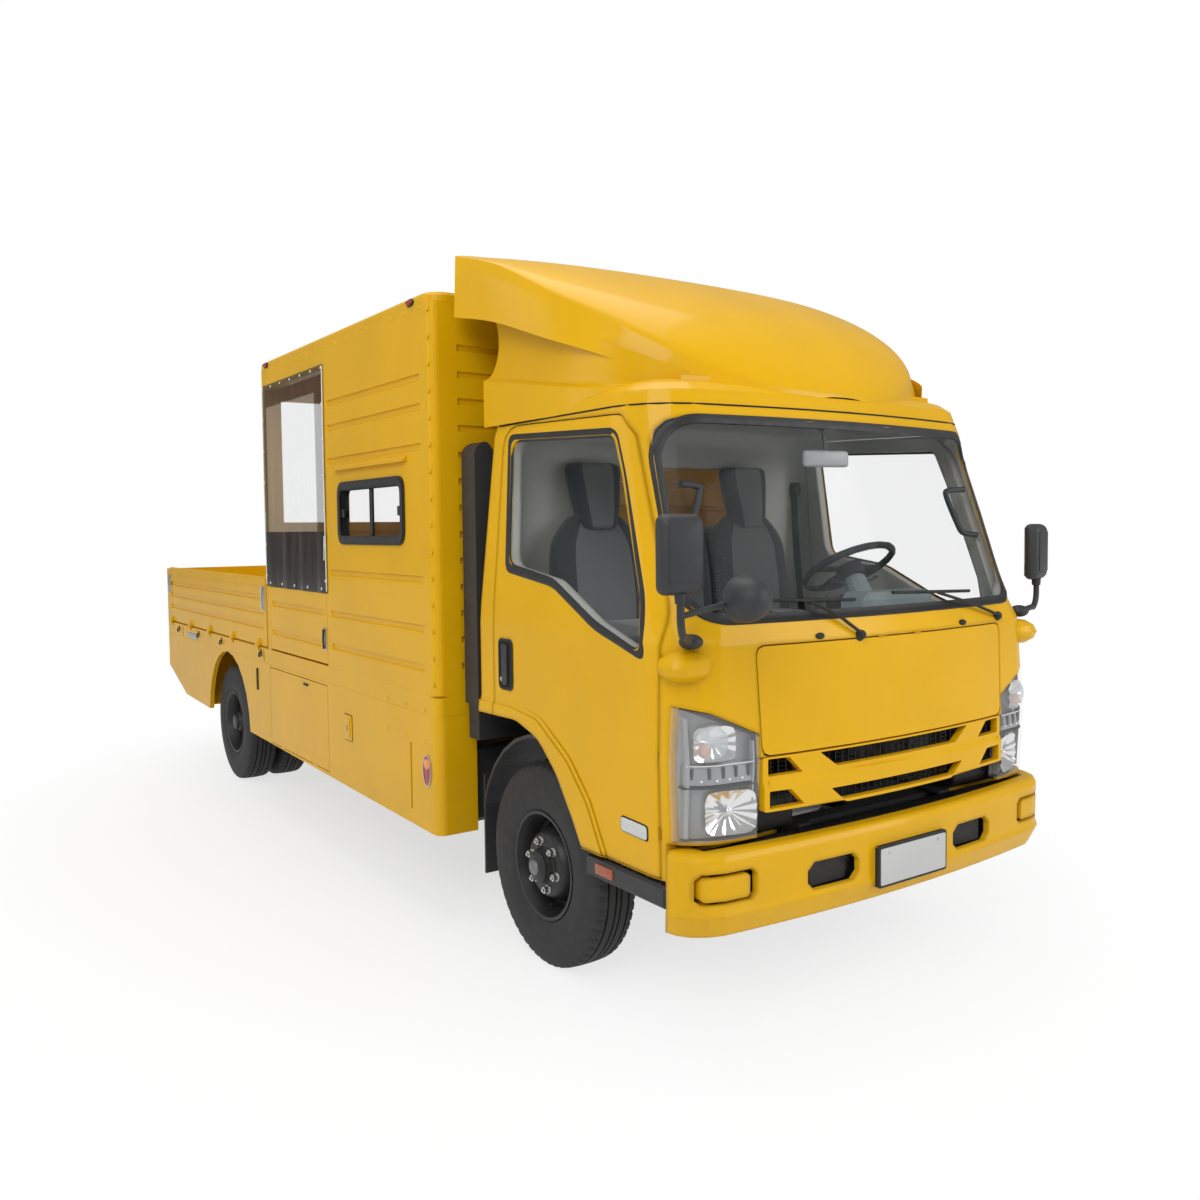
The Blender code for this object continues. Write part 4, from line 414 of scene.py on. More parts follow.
@dataclass(frozen=True)
class Metal:
    """Cast, plated or brushed metal with streaks and grime."""

    name: str
    colour: Colour
    rough: float = 0.30
    metallic: float = 1.0
    grime: float = 0.25
    streak: Point = (1, 1, 1)

    def build(self) -> bpy.types.Material:
        """Make the material.

        Returns:
            The metal finish.
        """
        sheet = Sheet(self.name)
        streaks = sheet.noise(60.0, 3.0, self.streak)
        dirt = sheet.noise(9.0, 6.0).ramp(0.50, 0.78) * self.grime
        body = sheet.mix(dirt, self.colour, tuple(c * 0.45 for c in self.colour))
        sheet.set(Base_Color=body, Metallic=self.metallic,
                  Roughness=self.rough + streaks * 0.10 + dirt * 0.3)
        sheet.bump(streaks, 0.0003, 0.25)
        return sheet.material


@dataclass(frozen=True)
class Tyre:
    """Tyre rubber with dusty flanks and fine rings."""

    name: str
    colour: Colour = (0.016, 0.016, 0.017)

    def build(self) -> bpy.types.Material:
        """Make the material.

        Returns:
            The rubber finish.
        """
        sheet = Sheet(self.name)
        dust = sheet.noise(16.0, 6.0).ramp(0.38, 0.80)
        body = sheet.mix(dust * 0.55, self.colour, (0.055, 0.052, 0.048))
        sheet.set(Base_Color=body, Roughness=0.72 + dust * 0.16)
        sheet.bump(sheet.noise(220.0, 3.0), 0.0005, 0.5)
        return sheet.material


@dataclass(frozen=True)
class Glazing:
    """Clear sheet: glass or vinyl, seen through by mixing with a transparent shader."""

    name: str
    tint: Colour
    cover: float = 0.16
    rough: float = 0.02
    waves: float = 0.0
    bands: bool = False

    BAND_HEAD: ClassVar[float] = 2.575
    BAND_FRONT: ClassVar[float] = 2.125
    BAND_REAR: ClassVar[float] = 3.000
    HEM: ClassVar[float] = 1.800

    def build(self) -> bpy.types.Material:
        """Make the material.

        Returns:
            The clear finish.
        """
        sheet = Sheet(self.name)
        haze = sheet.noise(3.0, 4.0)
        cover: Value = haze * 0.02 + self.cover
        colour: object = self.tint
        if self.bands:
            _, y, z = sheet.place()
            ends = (y < (self.BAND_FRONT - AXLE_Y)), (y > (self.BAND_REAR - AXLE_Y))
            edge = (z > self.BAND_HEAD).most(ends[0]).most(ends[1])
            hem = z < self.HEM
            cover = (cover + edge * 0.28).most(hem * 0.93)
            colour = sheet.mix(hem, sheet.mix(edge, self.tint, (0.030, 0.028, 0.024)),
                               (0.012, 0.012, 0.013))
        sheet.set(Base_Color=colour, Roughness=self.rough + haze * 0.03, Specular_IOR_Level=0.6)
        if self.waves:
            sheet.bump(sheet.noise(5.0, 2.0, (1, 2.5, 0.5)), self.waves, 0.5)
        sheet.set(Alpha=cover)
        sheet.material.surface_render_method = "BLENDED"
        return sheet.material


@dataclass(frozen=True)
class Cloth:
    """Woven seat cover."""

    name: str
    colour: Colour

    def build(self) -> bpy.types.Material:
        """Make the material.

        Returns:
            The woven finish.
        """
        sheet = Sheet(self.name)
        weave = sheet.cells(420.0)
        cloud = sheet.noise(6.0, 4.0)
        pale = tuple(c * 1.25 + 0.004 for c in self.colour)
        body = sheet.mix(weave.ramp(0.1, 0.6) * 0.45 + cloud * 0.2, self.colour, pale)
        sheet.set(Base_Color=body, Roughness=0.92, Sheen_Weight=0.25)
        sheet.bump(weave, 0.0008, 0.7)
        return sheet.material


class Palette:
    """All finishes of the truck, made once each."""

    YELLOW: ClassVar[Colour] = (0.700, 0.385, 0.001)
    SLOTS: ClassVar[dict[str, str]] = {
        "body_yellow": "yellow_paint", "cab_yellow": "yellow_paint", "tyre_rubber": "tyre_rubber",
        "wheel_enamel": "wheel_black", "hub_cap": "wheel_black", "zinc": "bare_steel",
        "bright": "lamp_lens",
        "lamp_dark": "lamp_lens", "lamp_grey": "lamp_lens", "lamp_housing": "lamp_lens",
        "seat_weave": "seat_fabric", "belt_web": "seat_fabric",
        "trim_grey": "dash_grey", "dash_dark": "dash_grey", "clear_vinyl": "clear_vinyl",
        "white_plastic": "clear_vinyl", "seal_black": "window_frame", "frame_black": "chassis_black",
        "amber": "tail_lamp", "red_lens": "tail_lamp", "amber_reflector": "tail_lamp",
    }

    def __init__(self) -> None:
        """Build every finish."""
        grey = (0.42, 0.42, 0.39)
        finishes = [
            Paint("body_yellow", self.YELLOW),
            Paint("cab_yellow", self.YELLOW, inner=grey, soften=True),
            # Nose finish with painted shade (black) deep in its openings.
            Paint("nose_yellow", self.YELLOW, pocket=True, soften=True),
            Moulding("frame_black", (0.016, 0.017, 0.019), 0.50, 300.0, 0.0004),
            Moulding("grained_black", (0.022, 0.023, 0.025), 0.50),
            Moulding("soft_black", (0.010, 0.010, 0.011), 0.62, 500.0),
            Moulding("seal_black", (0.008, 0.008, 0.009), 0.48, 700.0),
            Moulding("seam_black", (0.004, 0.004, 0.004), 0.80, 700.0),
            Moulding("dash_grey", (0.180, 0.220, 0.220), 0.62, 700.0),
            Moulding("dash_dark", (0.020, 0.022, 0.023), 0.60, 700.0),
            Moulding("trim_grey", grey, 0.60, 600.0),
            Moulding("white_plastic", (0.72, 0.72, 0.70), 0.45, 600.0, 0.0001, 0.05),
            Moulding("white_mark", (0.70, 0.70, 0.70), 0.50, 600.0, 0.0001, 0.0),
            Moulding("plate_grey", (0.50, 0.51, 0.50), 0.42, 600.0, 0.0001, 0.10),
            Moulding("lamp_dark", (0.010, 0.010, 0.011), 0.30, 500.0, 0.0001, 0.0),
            Metal("lamp_housing", (0.30, 0.31, 0.32), 0.42, 0.50, 0.0),
            Cloth("seat_panel", (0.120, 0.120, 0.124)),
            Moulding("lamp_grey", (0.30, 0.31, 0.32), 0.30, 500.0, 0.0001, 0.0),
            Moulding("reflector_white", (0.62, 0.63, 0.62), 0.20, 260.0, 0.0008, 0.0),
            Moulding("amber_reflector", (0.30, 0.060, 0.012), 0.18, 260.0, 0.0008, 0.0),
            Moulding("amber", (0.80, 0.24, 0.01), 0.16, 200.0, 0.0005, 0.0),
            Moulding("red_lens", (0.30, 0.008, 0.006), 0.18, 200.0, 0.0005, 0.0),
            Moulding("white_light", (0.90, 0.90, 0.88), 0.20, 400.0, 0.0001, 0.0),
            Moulding("belt_web", (0.012, 0.012, 0.013), 0.85, 900.0, 0.0006),
            Metal("engine_iron", (0.20, 0.20, 0.20), 0.55, 0.9, 0.6),
            Metal("zinc", (0.55, 0.55, 0.54), 0.32, 1.0, 0.35),
            Metal("bright", (0.80, 0.80, 0.80), 0.10, 1.0, 0.05),
            Metal("hub_cap", (0.20, 0.20, 0.205), 0.40, 0.8, 0.4),
            Metal("wheel_enamel", (0.018, 0.018, 0.019), 0.42, 0.2, 0.3),
            Tyre("tyre_rubber"),
            Glazing("cab_glass", (0.10, 0.13, 0.13), 0.03),
            Glazing("screen_glass", (0.10, 0.13, 0.13), 0.03),
            Glazing("window_pane", (0.12, 0.14, 0.14), 0.08, 0.02),
            Glazing("clear_vinyl", (0.62, 0.66, 0.66), 0.30, 0.16, 0.010, bands=True),
            Glazing("lens_clear", (0.72, 0.74, 0.74), 0.12, 0.03),
            Glazing("bulb_glass", (0.60, 0.64, 0.68), 0.45, 0.02),
            Cloth("seat_weave", (0.030, 0.031, 0.036)),
        ]
        self._made = {finish.name: finish.build() for finish in finishes}

    def __getitem__(self, name: str) -> bpy.types.Material:
        """Finish by its name."""
        return self._made[name]

    def slot(self, name: str) -> str:
        """Slot of the record that a finish belongs to."""
        return self.SLOTS.get(name, "black_plastic")


class Dresser:
    """Gives each solid of the frame its finish."""

    def __init__(self, palette: Palette) -> None:
        """Keep the finishes."""
        self.palette = palette

    def dress(self, finish: str, *nodes: str) -> None:
        """Assign one finish.

        Args:
            finish: Name in the palette.
            nodes: Solids of the frame.
        """
        for name in nodes:
            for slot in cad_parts[name].material_slots:
                slot.material = self.palette[finish]
        LOG.info("%s: %s", finish, ", ".join(nodes))

    def dress_all(self) -> None:
        """Assign every solid's finish."""
        for finish, nodes in {
            "body_yellow": ["cargo_floor", "box_front_wall", "box_rear_wall", "box_roof", "tailgate",
                            "front_lid", "roof_deflector",
                            *both("box_side_wall", "half_gate", "skirt", "locker_door", "dropside")],
            "nose_yellow": ["grille", "front_bumper"],
            "cab_yellow": ["cab_shell", *both("cab_door")],
            "frame_black": ["chassis_frame", "front_axle", "rear_axle", "driveline", *both("knuckle"),
                            "tie_rod"],
            "engine_iron": ["engine_block"],
            "wheel_enamel": both("front_rim", "rear_rim"),
            "tyre_rubber": both("front_tyre", "rear_tyre_inner", "rear_tyre_outer"),
            "grained_black": ["rear_lamp_bar", "intake_duct",
                              *both("fender_step", "mirror", "side_window")],
            "soft_black": ["steering_wheel"],
            "dash_grey": ["dashboard"],
            "seat_weave": ["driver_seat", "passenger_bench"],
            "cab_glass": ["rear_glass", *both("door_glass")],
            "screen_glass": ["windscreen"],
            "clear_vinyl": both("curtain"),
            "lens_clear": both("headlamp"),
        }.items():
            self.dress(finish, *nodes)


def bridge(part: bmesh.types.BMesh, rows: Sequence[Sequence[bmesh.types.BMVert]],
           looped: bool = False) -> None:
    """Make quads between neighbouring rows of vertices.

    Args:
        part: Mesh that takes them.
        rows: Rows with as many vertices each.
        looped: Whether each row closes on itself.
    """
    for near, far in zip(rows, rows[1:]):
        for j in range(len(near) if looped else len(near) - 1):
            i = (j + 1) % len(near)
            part.faces.new((near[j], near[i], far[i], far[j]))


class Shape:
    """Trim piece under way: solids in one or more finishes, given from the front axle."""

    def __init__(self, palette: Palette, name: str, finish: str) -> None:
        """Start an empty piece in its first finish.

        Args:
            palette: All finishes.
            name: The piece's name.
            finish: Name of the first finish.
        """
        self.palette = palette
        self.name = name
        self.bm = bmesh.new()
        self.finishes: list[str] = []
        self.use(finish)

    def use(self, finish: str) -> "Shape":
        """Make what follows in this finish.

        Args:
            finish: Name in the palette.

        Returns:
            The piece itself.
        """
        if finish not in self.finishes:
            self.finishes.append(finish)
        self.index = self.finishes.index(finish)
        return self

    def join(self, part: bmesh.types.BMesh, keep: bool = False) -> None:
        """Add a finished solid and free it.

        Args:
            part: The solid.
            keep: Whether its faces already have their finish.
        """
        for face in [] if keep else part.faces:
            face.material_index = self.index
        mesh = bpy.data.meshes.new("part")
        part.to_mesh(mesh)
        part.free()
        self.bm.from_mesh(mesh)
        bpy.data.meshes.remove(mesh)

    def seal(self, part: bmesh.types.BMesh, keep: bool = False) -> None:
        """Turn a solid's faces outwards, then add it."""
        bmesh.ops.recalc_face_normals(part, faces=part.faces[:])
        self.join(part, keep)

    def box(self, low: Point, high: Point, bevel: float = 0.0, turn: Matrix | None = None) -> None:
        """Cuboid between two corners.

        Args:
            low: First corner.
            high: Opposite corner.
            bevel: Radius of its edges.
            turn: Rotation about its middle.
        """
        low, high = Vector(low), Vector(high)
        size = Vector([abs(b - a) for a, b in zip(low, high)])
        part = bmesh.new()
        bmesh.ops.create_cube(part, size=1.0, matrix=Matrix.Diagonal(size).to_4x4())
        if bevel:
            bmesh.ops.bevel(part, geom=part.edges[:], offset=bevel, segments=3, profile=0.5,
                            affect="EDGES", clamp_overlap=True)
        place = Matrix.Translation((low + high) / 2)
        if turn is not None:
            place = place @ turn.to_4x4()
        bmesh.ops.transform(part, matrix=place, verts=part.verts[:])
        self.join(part)

    def bar(self, start: Point, end: Point, radius: float, radius_2: float | None = None,
            sides: int = 20) -> None:
        """Round bar or cone between two points.

        Args:
            start: First end.
            end: Other end.
            radius: Radius at the start.
            radius_2: Radius at the end.
            sides: Facets round it.
        """
        start, end = Vector(start), Vector(end)
        part = bmesh.new()
        turn = (end - start).to_track_quat("Z", "Y").to_matrix().to_4x4()
        bmesh.ops.create_cone(part, cap_ends=True, segments=sides, radius1=radius,
                              radius2=radius if radius_2 is None else radius_2, depth=(end - start).length,
                              matrix=Matrix.Translation((start + end) / 2) @ turn)
        self.join(part)

    def tube(self, path: Sequence[Point], radius: float, sides: int = 10, closed: bool = False,
             flat: float = 1.0) -> None:
        """Rod bent along a path.

        Args:
            path: Points of its middle line.
            radius: Its radius.
            sides: Facets round it.
            closed: Whether the ends meet.
            flat: Height of the section as a share of its width.
        """
        points = [Vector(p) for p in path]
        count = len(points)
        part = bmesh.new()
        rings = []
        normal = None
        for k, point in enumerate(points):
            before = points[(k - 1) % count] if closed or k else point
            after = points[(k + 1) % count] if closed or k < count - 1 else point
            ahead = (after - before).normalized()
            if normal is None:
                guess = Vector((0, 0, 1)) if abs(ahead.z) < 0.9 else Vector((1, 0, 0))
                normal = (guess - ahead * guess.dot(ahead)).normalized()
            normal = (normal - ahead * normal.dot(ahead)).normalized()
            other = ahead.cross(normal)
            ring = []
            for j in range(sides):
                angle = math.tau * j / sides
                across, up = math.sin(angle) * radius, math.cos(angle) * radius * flat
                ring.append(part.verts.new(point + normal * up + other * across))
            rings.append(ring)
        bridge(part, rings + rings[:1] if closed else rings, looped=True)
        if not closed:
            part.faces.new(rings[0])
            part.faces.new(rings[-1][::-1])
        self.seal(part)

    def prism(self, outline: Sequence[Point], axis: str, low: float, high: float,
              bevel: float = 0.0) -> None:
        """Plate cut to an outline.

        Args:
            outline: Points in the plane across the axis, in the order x, y, z without the axis.
            axis: X, Y or Z.
            low: First end on the axis.
            high: Other end.
            bevel: Radius of the rims.
        """
        part = bmesh.new()
        near, far = ([part.verts.new(self._lift(p, axis, level)) for p in outline] for level in (low, high))
        part.faces.new(near[::-1])
        part.faces.new(far)
        for k in range(len(near)):
            j = (k + 1) % len(near)
            part.faces.new((near[k], near[j], far[j], far[k]))
        bmesh.ops.recalc_face_normals(part, faces=part.faces[:])
        if bevel:
            rims = [edge for edge in part.edges if all(v in near for v in edge.verts) or
                    all(v in far for v in edge.verts)]
            bmesh.ops.bevel(part, geom=rims, offset=bevel, segments=2, profile=0.5, affect="EDGES",
                            clamp_overlap=True)
        self.join(part)

    def inlay(self, sign: int, x: float, outline: Sequence[Point], near: float, far: float,
              bevel: float = 0.0) -> None:
        """Plate cut to an outline of y and z, between two distances from one side's skin at x."""
        self.prism(outline, "X", sign * (x + near), sign * (x + far), bevel)

    def plaque(self, sign: int, x: float, low: Point, high: Point, radius: float, near: float, far: float,
               bevel: float = 0.0) -> None:
        """Rounded plate between two corners of y and z, laid as an inlay."""
        self.inlay(sign, x, panel(low, high, radius), near, far, bevel)

    def frame(self, sign: int, x: float, outer: Sequence[Point], inner: Sequence[Point], near: float,
              far: float) -> None:
        """Flat ring on the skin of one side, between two outlines with as many points each.

        Args:
            sign: Sign of the side.
            x: Skin's distance from the middle plane.
            outer: Outer outline, as y and z.
            inner: Inner outline.
            near: Inner face's distance from the skin.
            far: Outer face's distance.
        """
        low, high = sign * (x + near), sign * (x + far)
        self.loft_ring([[Vector((level, *point)) for point in line]
                        for line, level in ((outer, low), (outer, high), (inner, high), (inner, low))])

    @staticmethod
    def _lift(point: Point, axis: str, level: float) -> Vector:
        """Point of an outline at a level of the axis."""
        a, b = point
        return Vector({"X": (level, a, b), "Y": (a, level, b), "Z": (a, b, level)}[axis])

    def loft_ring(self, loops: Sequence[Sequence[Vector]], closed: bool = True) -> None:
        """Skin through loops.

        Args:
            loops: Loops with as many points each.
            closed: Whether it comes back to the first loop; otherwise both ends are capped.
        """
        part = bmesh.new()
        rings = [[part.verts.new(p) for p in loop] for loop in loops]
        if not closed:
            part.faces.new(rings[0])
            part.faces.new(rings[-1][::-1])
        bridge(part, rings + rings[:1] if closed else rings, looped=True)
        self.seal(part)

    def ribbon(self, sections: Sequence[Sequence[Vector]]) -> None:
        """Bar whose section changes along it, capped at both ends."""
        self.loft_ring([list(points) for points in zip(*sections)], closed=False)

    def lathe(self, profile: Sequence[Point], origin: Point, axis: Point, sides: int = 48) -> None:
        """Turned solid.

        Args:
            profile: Points as (way along the axis, radius); a closed line when it ends off the axis.
            origin: Where the way is 0.
            axis: Direction of the axis.
            sides: Facets round it.
        """
        origin, axis = Vector(origin), Vector(axis).normalized()
        guess = Vector((0, 0, 1)) if abs(axis.z) < 0.9 else Vector((1, 0, 0))
        up = (guess - axis * guess.dot(axis)).normalized()
        side = axis.cross(up)
        part = bmesh.new()
        rings = []
        angles = [math.tau * k / sides for k in range(sides)]
        turns = [up * math.cos(angle) + side * math.sin(angle) for angle in angles]
        for way, radius in profile:
            middle = origin + axis * way
            if radius < 1e-6:
                rings.append([part.verts.new(middle)] * sides)
            else:
                rings.append([part.verts.new(middle + turn * radius) for turn in turns])
        open_ended = profile[0][1] < 1e-6 and profile[-1][1] < 1e-6
        for k in range(len(rings) - 1 if open_ended else len(rings)):
            near, far = rings[k], rings[(k + 1) % len(rings)]
            for j in range(sides):
                i = (j + 1) % sides
                corners = list(dict.fromkeys((near[j], near[i], far[i], far[j])))
                if len(corners) > 2:
                    part.faces.new(corners)
        self.seal(part)

    def ball(self, centre: Point, radii: Point, sides: int = 20) -> None:
        """Ellipsoid.

        Args:
            centre: Its middle.
            radii: Half sizes.
            sides: Facets round it.
        """
        part = bmesh.new()
        size = Matrix.Diagonal(Vector(radii)).to_4x4()
        bmesh.ops.create_uvsphere(part, u_segments=sides, v_segments=max(6, sides // 2), radius=1.0,
                                  matrix=Matrix.Translation(Vector(centre)) @ size)
        self.join(part)

    def done(self, body: str, sharp: float = 35.0) -> bpy.types.Object:
        """Turn the piece into an object that rides on a body.

        Args:
            body: Name of the body.
            sharp: Degrees above which an edge stays sharp.

        Returns:
            The object.
        """
        bmesh.ops.translate(self.bm, vec=at(0, 0, 0), verts=self.bm.verts[:])
        for face in self.bm.faces:
            face.smooth = True
        mesh = bpy.data.meshes.new(self.name)
        self.bm.to_mesh(mesh)
        self.bm.free()
        mesh.set_sharp_from_angle(angle=math.radians(sharp))
        for finish in self.finishes:
            mesh.materials.append(self.palette[finish])
        piece = bpy.data.objects.new(self.name, mesh)
        bpy.context.scene.collection.objects.link(piece)
        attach(piece, body)
        self.palette.slot(self.finishes[0])
        LOG.info("%s: %d faces", self.name, len(mesh.polygons))
        return piece


class Skin:
    """Outer surface of some solids of the frame, found by casting rays at it."""

    def __init__(self, *nodes: str) -> None:
        """Gather the solids' faces.

        Args:
            nodes: Solids of the frame.
        """
        bm = bmesh.new()
        for name in nodes:
            bm.from_mesh(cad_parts[name].data)
        bmesh.ops.translate(bm, vec=-at(0, 0, 0), verts=bm.verts[:])
        self.tree = BVHTree.FromBMesh(bm)
        bm.free()

    def hit(self, start: Point, aim: Point, lift: float = 0.0) -> Vector:
        """First point met by a ray, moved off the face.

        Args:
            start: Where the ray starts.
            aim: Its direction.
            lift: Distance off the face.

        Returns:
            The point, or the start if nothing is met.
        """
        spot, normal, _, _ = self.tree.ray_cast(Vector(start), Vector(aim).normalized())
        if spot is None:
            LOG.warning("no face met from %s", tuple(round(c, 3) for c in start))
            return Vector(start)
        if normal.dot(Vector(aim)) > 0:
            normal = -normal
        return spot + normal * lift

    def front(self, x: float, z: float, lift: float = 0.0) -> Vector:
        """Point met from ahead at x and z."""
        return self.hit((x, -2.0, z), (0, 1, 0), lift)

    def side(self, sign: int, y: float, z: float, lift: float = 0.0) -> Vector:
        """Point met from the side at y and z."""
        return self.hit((sign * 2.0, y, z), (-sign, 0, 0), lift)

    def width(self, sign: int, y: float, z: float) -> float:
        """Distance from the middle plane to the point met from the side."""
        return abs(self.side(sign, y, z).x)


def rounded(points: Sequence[Point], radius: float, steps: int = 6) -> list[Point]:
    """Outline with its corners rounded.

    Args:
        points: Corners.
        radius: Radius of each corner.
        steps: Facets of each corner.

    Returns:
        The rounded outline.
    """
    result = []
    count = len(points)
    for k, point in enumerate(points):
        here = Vector(point)
        before, after = Vector(points[k - 1]), Vector(points[(k + 1) % count])
        back, ahead = (before - here), (after - here)
        reach = min(radius, back.length * 0.49, ahead.length * 0.49)
        start, end = here + back.normalized() * reach, here + ahead.normalized() * reach
        for j in range(steps + 1):
            t = j / steps
            result.append(tuple(start * (1 - t) ** 2 + here * 2 * t * (1 - t) + end * t ** 2))
    return result


def panel(low: Point, high: Point, radius: float, steps: int = 6) -> list[Point]:
    """Rounded rectangle between two corners."""
    (a, c), (b, d) = low, high
    return rounded([(a, c), (b, c), (b, d), (a, d)], radius, steps)


def shrunk(line: Sequence[Point], centre: Point, shares: Point) -> list[Point]:
    """Outline drawn towards a point, by a share on each axis."""
    return [tuple(a * k + c * (1 - k) for a, c, k in zip(point, centre, shares)) for point in line]


def oval(centre: Point, half: Point, count: int) -> list[Point]:
    """Points round an ellipse of these half sizes."""
    angles = [math.tau * k / count for k in range(count)]
    return [(centre[0] + half[0] * math.cos(a), centre[1] + half[1] * math.sin(a)) for a in angles]


def curve(points: Sequence[Point], steps: int = 8) -> list[Vector]:
    """Smooth line through points of any dimension.

    Args:
        points: Points that it passes.
        steps: Pieces between two of them.

    Returns:
        Points of the line.
    """
    knots = [Vector(p) for p in points]
    ends = [knots[0] * 2 - knots[1], *knots, knots[-1] * 2 - knots[-2]]
    line = []
    for a, b, c, d in zip(ends, ends[1:], ends[2:], ends[3:]):
        for k in range(steps):
            t = k / steps
            line.append(b + (c - a) * (0.5 * t) + (a * 2 - b * 5 + c * 4 - d) * (0.5 * t * t)
                        + (b * 3 - a - c * 3 + d) * (0.5 * t * t * t))
    return line + [knots[-1]]


def spread(start: float, end: float, count: int) -> list[float]:
    """Evenly spaced values from start to end."""
    return [start + (end - start) * k / (count - 1) for k in range(count)]


@dataclass(frozen=True)
class Wheels:
    """Tyres with cut tread, steel rims with hand holes, and their nuts and caps."""

    palette: Palette
    radius: float = 0.417
    bead: float = 0.212
    width: float = 0.205
    pitches: int = 54
    wheelbase: float = 4.175
    front_middle: float = 0.84
    rear_face: float = 1.030
    twin_gap: float = 0.032

    def turned(self, shape: Shape, side: Side, profile: Sequence[Point], y: float, sides: int) -> None:
        """Part of a wheel turned about its axle."""
        shape.lathe([(side.value * a, b) for a, b in profile], (0, y, self.radius), (1, 0, 0), sides)

    def tyre(self, name: str, side: Side, near: float, far: float, y: float, body: str) -> None:
        """One tyre with rings, shoulder blocks and a round shoulder.

        Args:
            name: The solid that it stands for.
            side: Side of the truck.
            near: Inner face's distance from the middle plane.
            far: Outer face's distance.
            y: Axle's place.
            body: Body that it rides on.
        """
        w, r, bead = far - near, self.radius, self.bead
        half = [(0.13, bead + 0.001), (0.105, bead + 0.008), (0.045, bead + 0.022), (0.012, bead + 0.060),
                (0.000, bead + 0.096), (0.004, bead + 0.118), (0.010, bead + 0.122), (0.012, bead + 0.140),
                (0.030, r - 0.040), (0.055, r - 0.024), (0.078, r - 0.0125), (0.110, r - 0.0062),
                (0.175, r - 0.0030), (0.245, r - 0.0018), (0.250, r - 0.013), (0.285, r - 0.013),
                (0.290, r - 0.0010), (0.420, r - 0.0002), (0.425, r - 0.013), (0.460, r - 0.013),
                (0.465, r), (0.500, r)]
        line = half + [(1.0 - a, b) for a, b in half[-2::-1]]
        cut = [0.0085 if 0.075 < a < 0.18 or 0.82 < a < 0.925 else 0.0 for a, _ in line]
        turns = self.pitches * 4
        part = bmesh.new()
        rings = []
        for k in range(turns):
            angle = math.tau * k / turns
            groove = k % 4 == 0
            ring = []
            for (share, radius), depth in zip(line, cut):
                reach = radius - (depth if groove else 0.0)
                x = side.value * (near + share * w)
                ring.append(part.verts.new((x, y + reach * math.sin(angle), r + reach * math.cos(angle))))
            rings.append(ring)
        bridge(part, rings + rings[:1], looped=True)
        shape = Shape(self.palette, f"{name}_rubber", "tyre_rubber")
        shape.seal(part)
        piece = shape.done(body, 40.0)
        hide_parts(name)

    def holes(self, piece: bpy.types.Object, side: Side, x: float, y: float, ring: float, size: float,
              count: int) -> None:
        """Cut round hand holes through a rim's disc.

        Args:
            piece: The rim.
            side: Side of the truck.
            x: Disc's distance from the middle plane.
            y: Axle's place.
            ring: Radius of the circle of holes.
            size: Radius of a hole.
            count: Number of holes.
        """
        part = bmesh.new()
        for k in range(count):
            angle = math.tau * (k + 0.5) / count
            spot = at(side.value * x, y + ring * math.cos(angle), self.radius + ring * math.sin(angle))
            place = Matrix.Translation(spot) @ Matrix.Rotation(math.pi / 2, 4, "Y")
            bmesh.ops.create_cone(part, cap_ends=True, segments=24, radius1=size, radius2=size, depth=0.14,
                                  matrix=place)
        mesh = bpy.data.meshes.new("cutter")
        part.to_mesh(mesh)
        part.free()
        cutter = bpy.data.objects.new("cutter", mesh)
        bpy.context.scene.collection.objects.link(cutter)
        change = piece.modifiers.new("holes", "BOOLEAN")
        change.operation, change.solver, change.object = "DIFFERENCE", "EXACT", cutter
        fresh = bpy.data.meshes.new_from_object(piece.evaluated_get(bpy.context.evaluated_depsgraph_get()))
        piece.modifiers.clear()
        piece.data = fresh
        fresh.set_sharp_from_angle(angle=math.radians(32))
        bpy.data.objects.remove(cutter)

    def barrel(self, near: float, far: float) -> list[Point]:
        """Section of a drop-centre rim with rolled flanges.

        Args:
            near: Inner face's distance from the middle plane.
            far: Outer face's distance.

        Returns:
            Points as (distance from the middle plane, radius).
        """
        w, r = far - near, self.bead
        outer = [(near + 0.045 * w, r + 0.0115), (near + 0.075 * w, r + 0.0118),
                 (near + 0.105 * w, r - 0.001),
                 (near + 0.30 * w, r - 0.004), (near + 0.36 * w, r - 0.020), (near + 0.64 * w, r - 0.020),
                 (near + 0.70 * w, r - 0.004), (far - 0.105 * w, r - 0.001), (far - 0.075 * w, r + 0.0118),
                 (far - 0.045 * w, r + 0.0115)]
        inner = [(far - 0.055 * w, r - 0.002), (far - 0.13 * w, r - 0.008), (near + 0.66 * w, r - 0.026),
                 (near + 0.34 * w, r - 0.026), (near + 0.13 * w, r - 0.008), (near + 0.055 * w, r - 0.002)]
        return outer + inner

    def studs(self, shape: Shape, side: Side, x: float, y: float, ring: float, count: int,
              size: float) -> None:
        """Ring of wheel nuts with washers and stud ends.

        Args:
            shape: Piece that takes them.
            side: Side of the truck.
            x: Seat's distance from the middle plane.
            y: Axle's place.
            ring: Radius of the circle of nuts.
            count: Number of nuts.
            size: Half width over a nut's corners.
        """
        s = side.value
        for k in range(count):
            angle = math.tau * k / count + 0.26
            b, c = y + ring * math.cos(angle), self.radius + ring * math.sin(angle)
            shape.bar((s * x, b, c), (s * (x + 0.004), b, c), size * 1.25, size * 1.15, 20)
            shape.bar((s * (x + 0.003), b, c), (s * (x + 0.021), b, c), size, size * 0.96, 6)
            shape.bar((s * (x + 0.020), b, c), (s * (x + 0.029), b, c), size * 0.48, size * 0.44, 12)

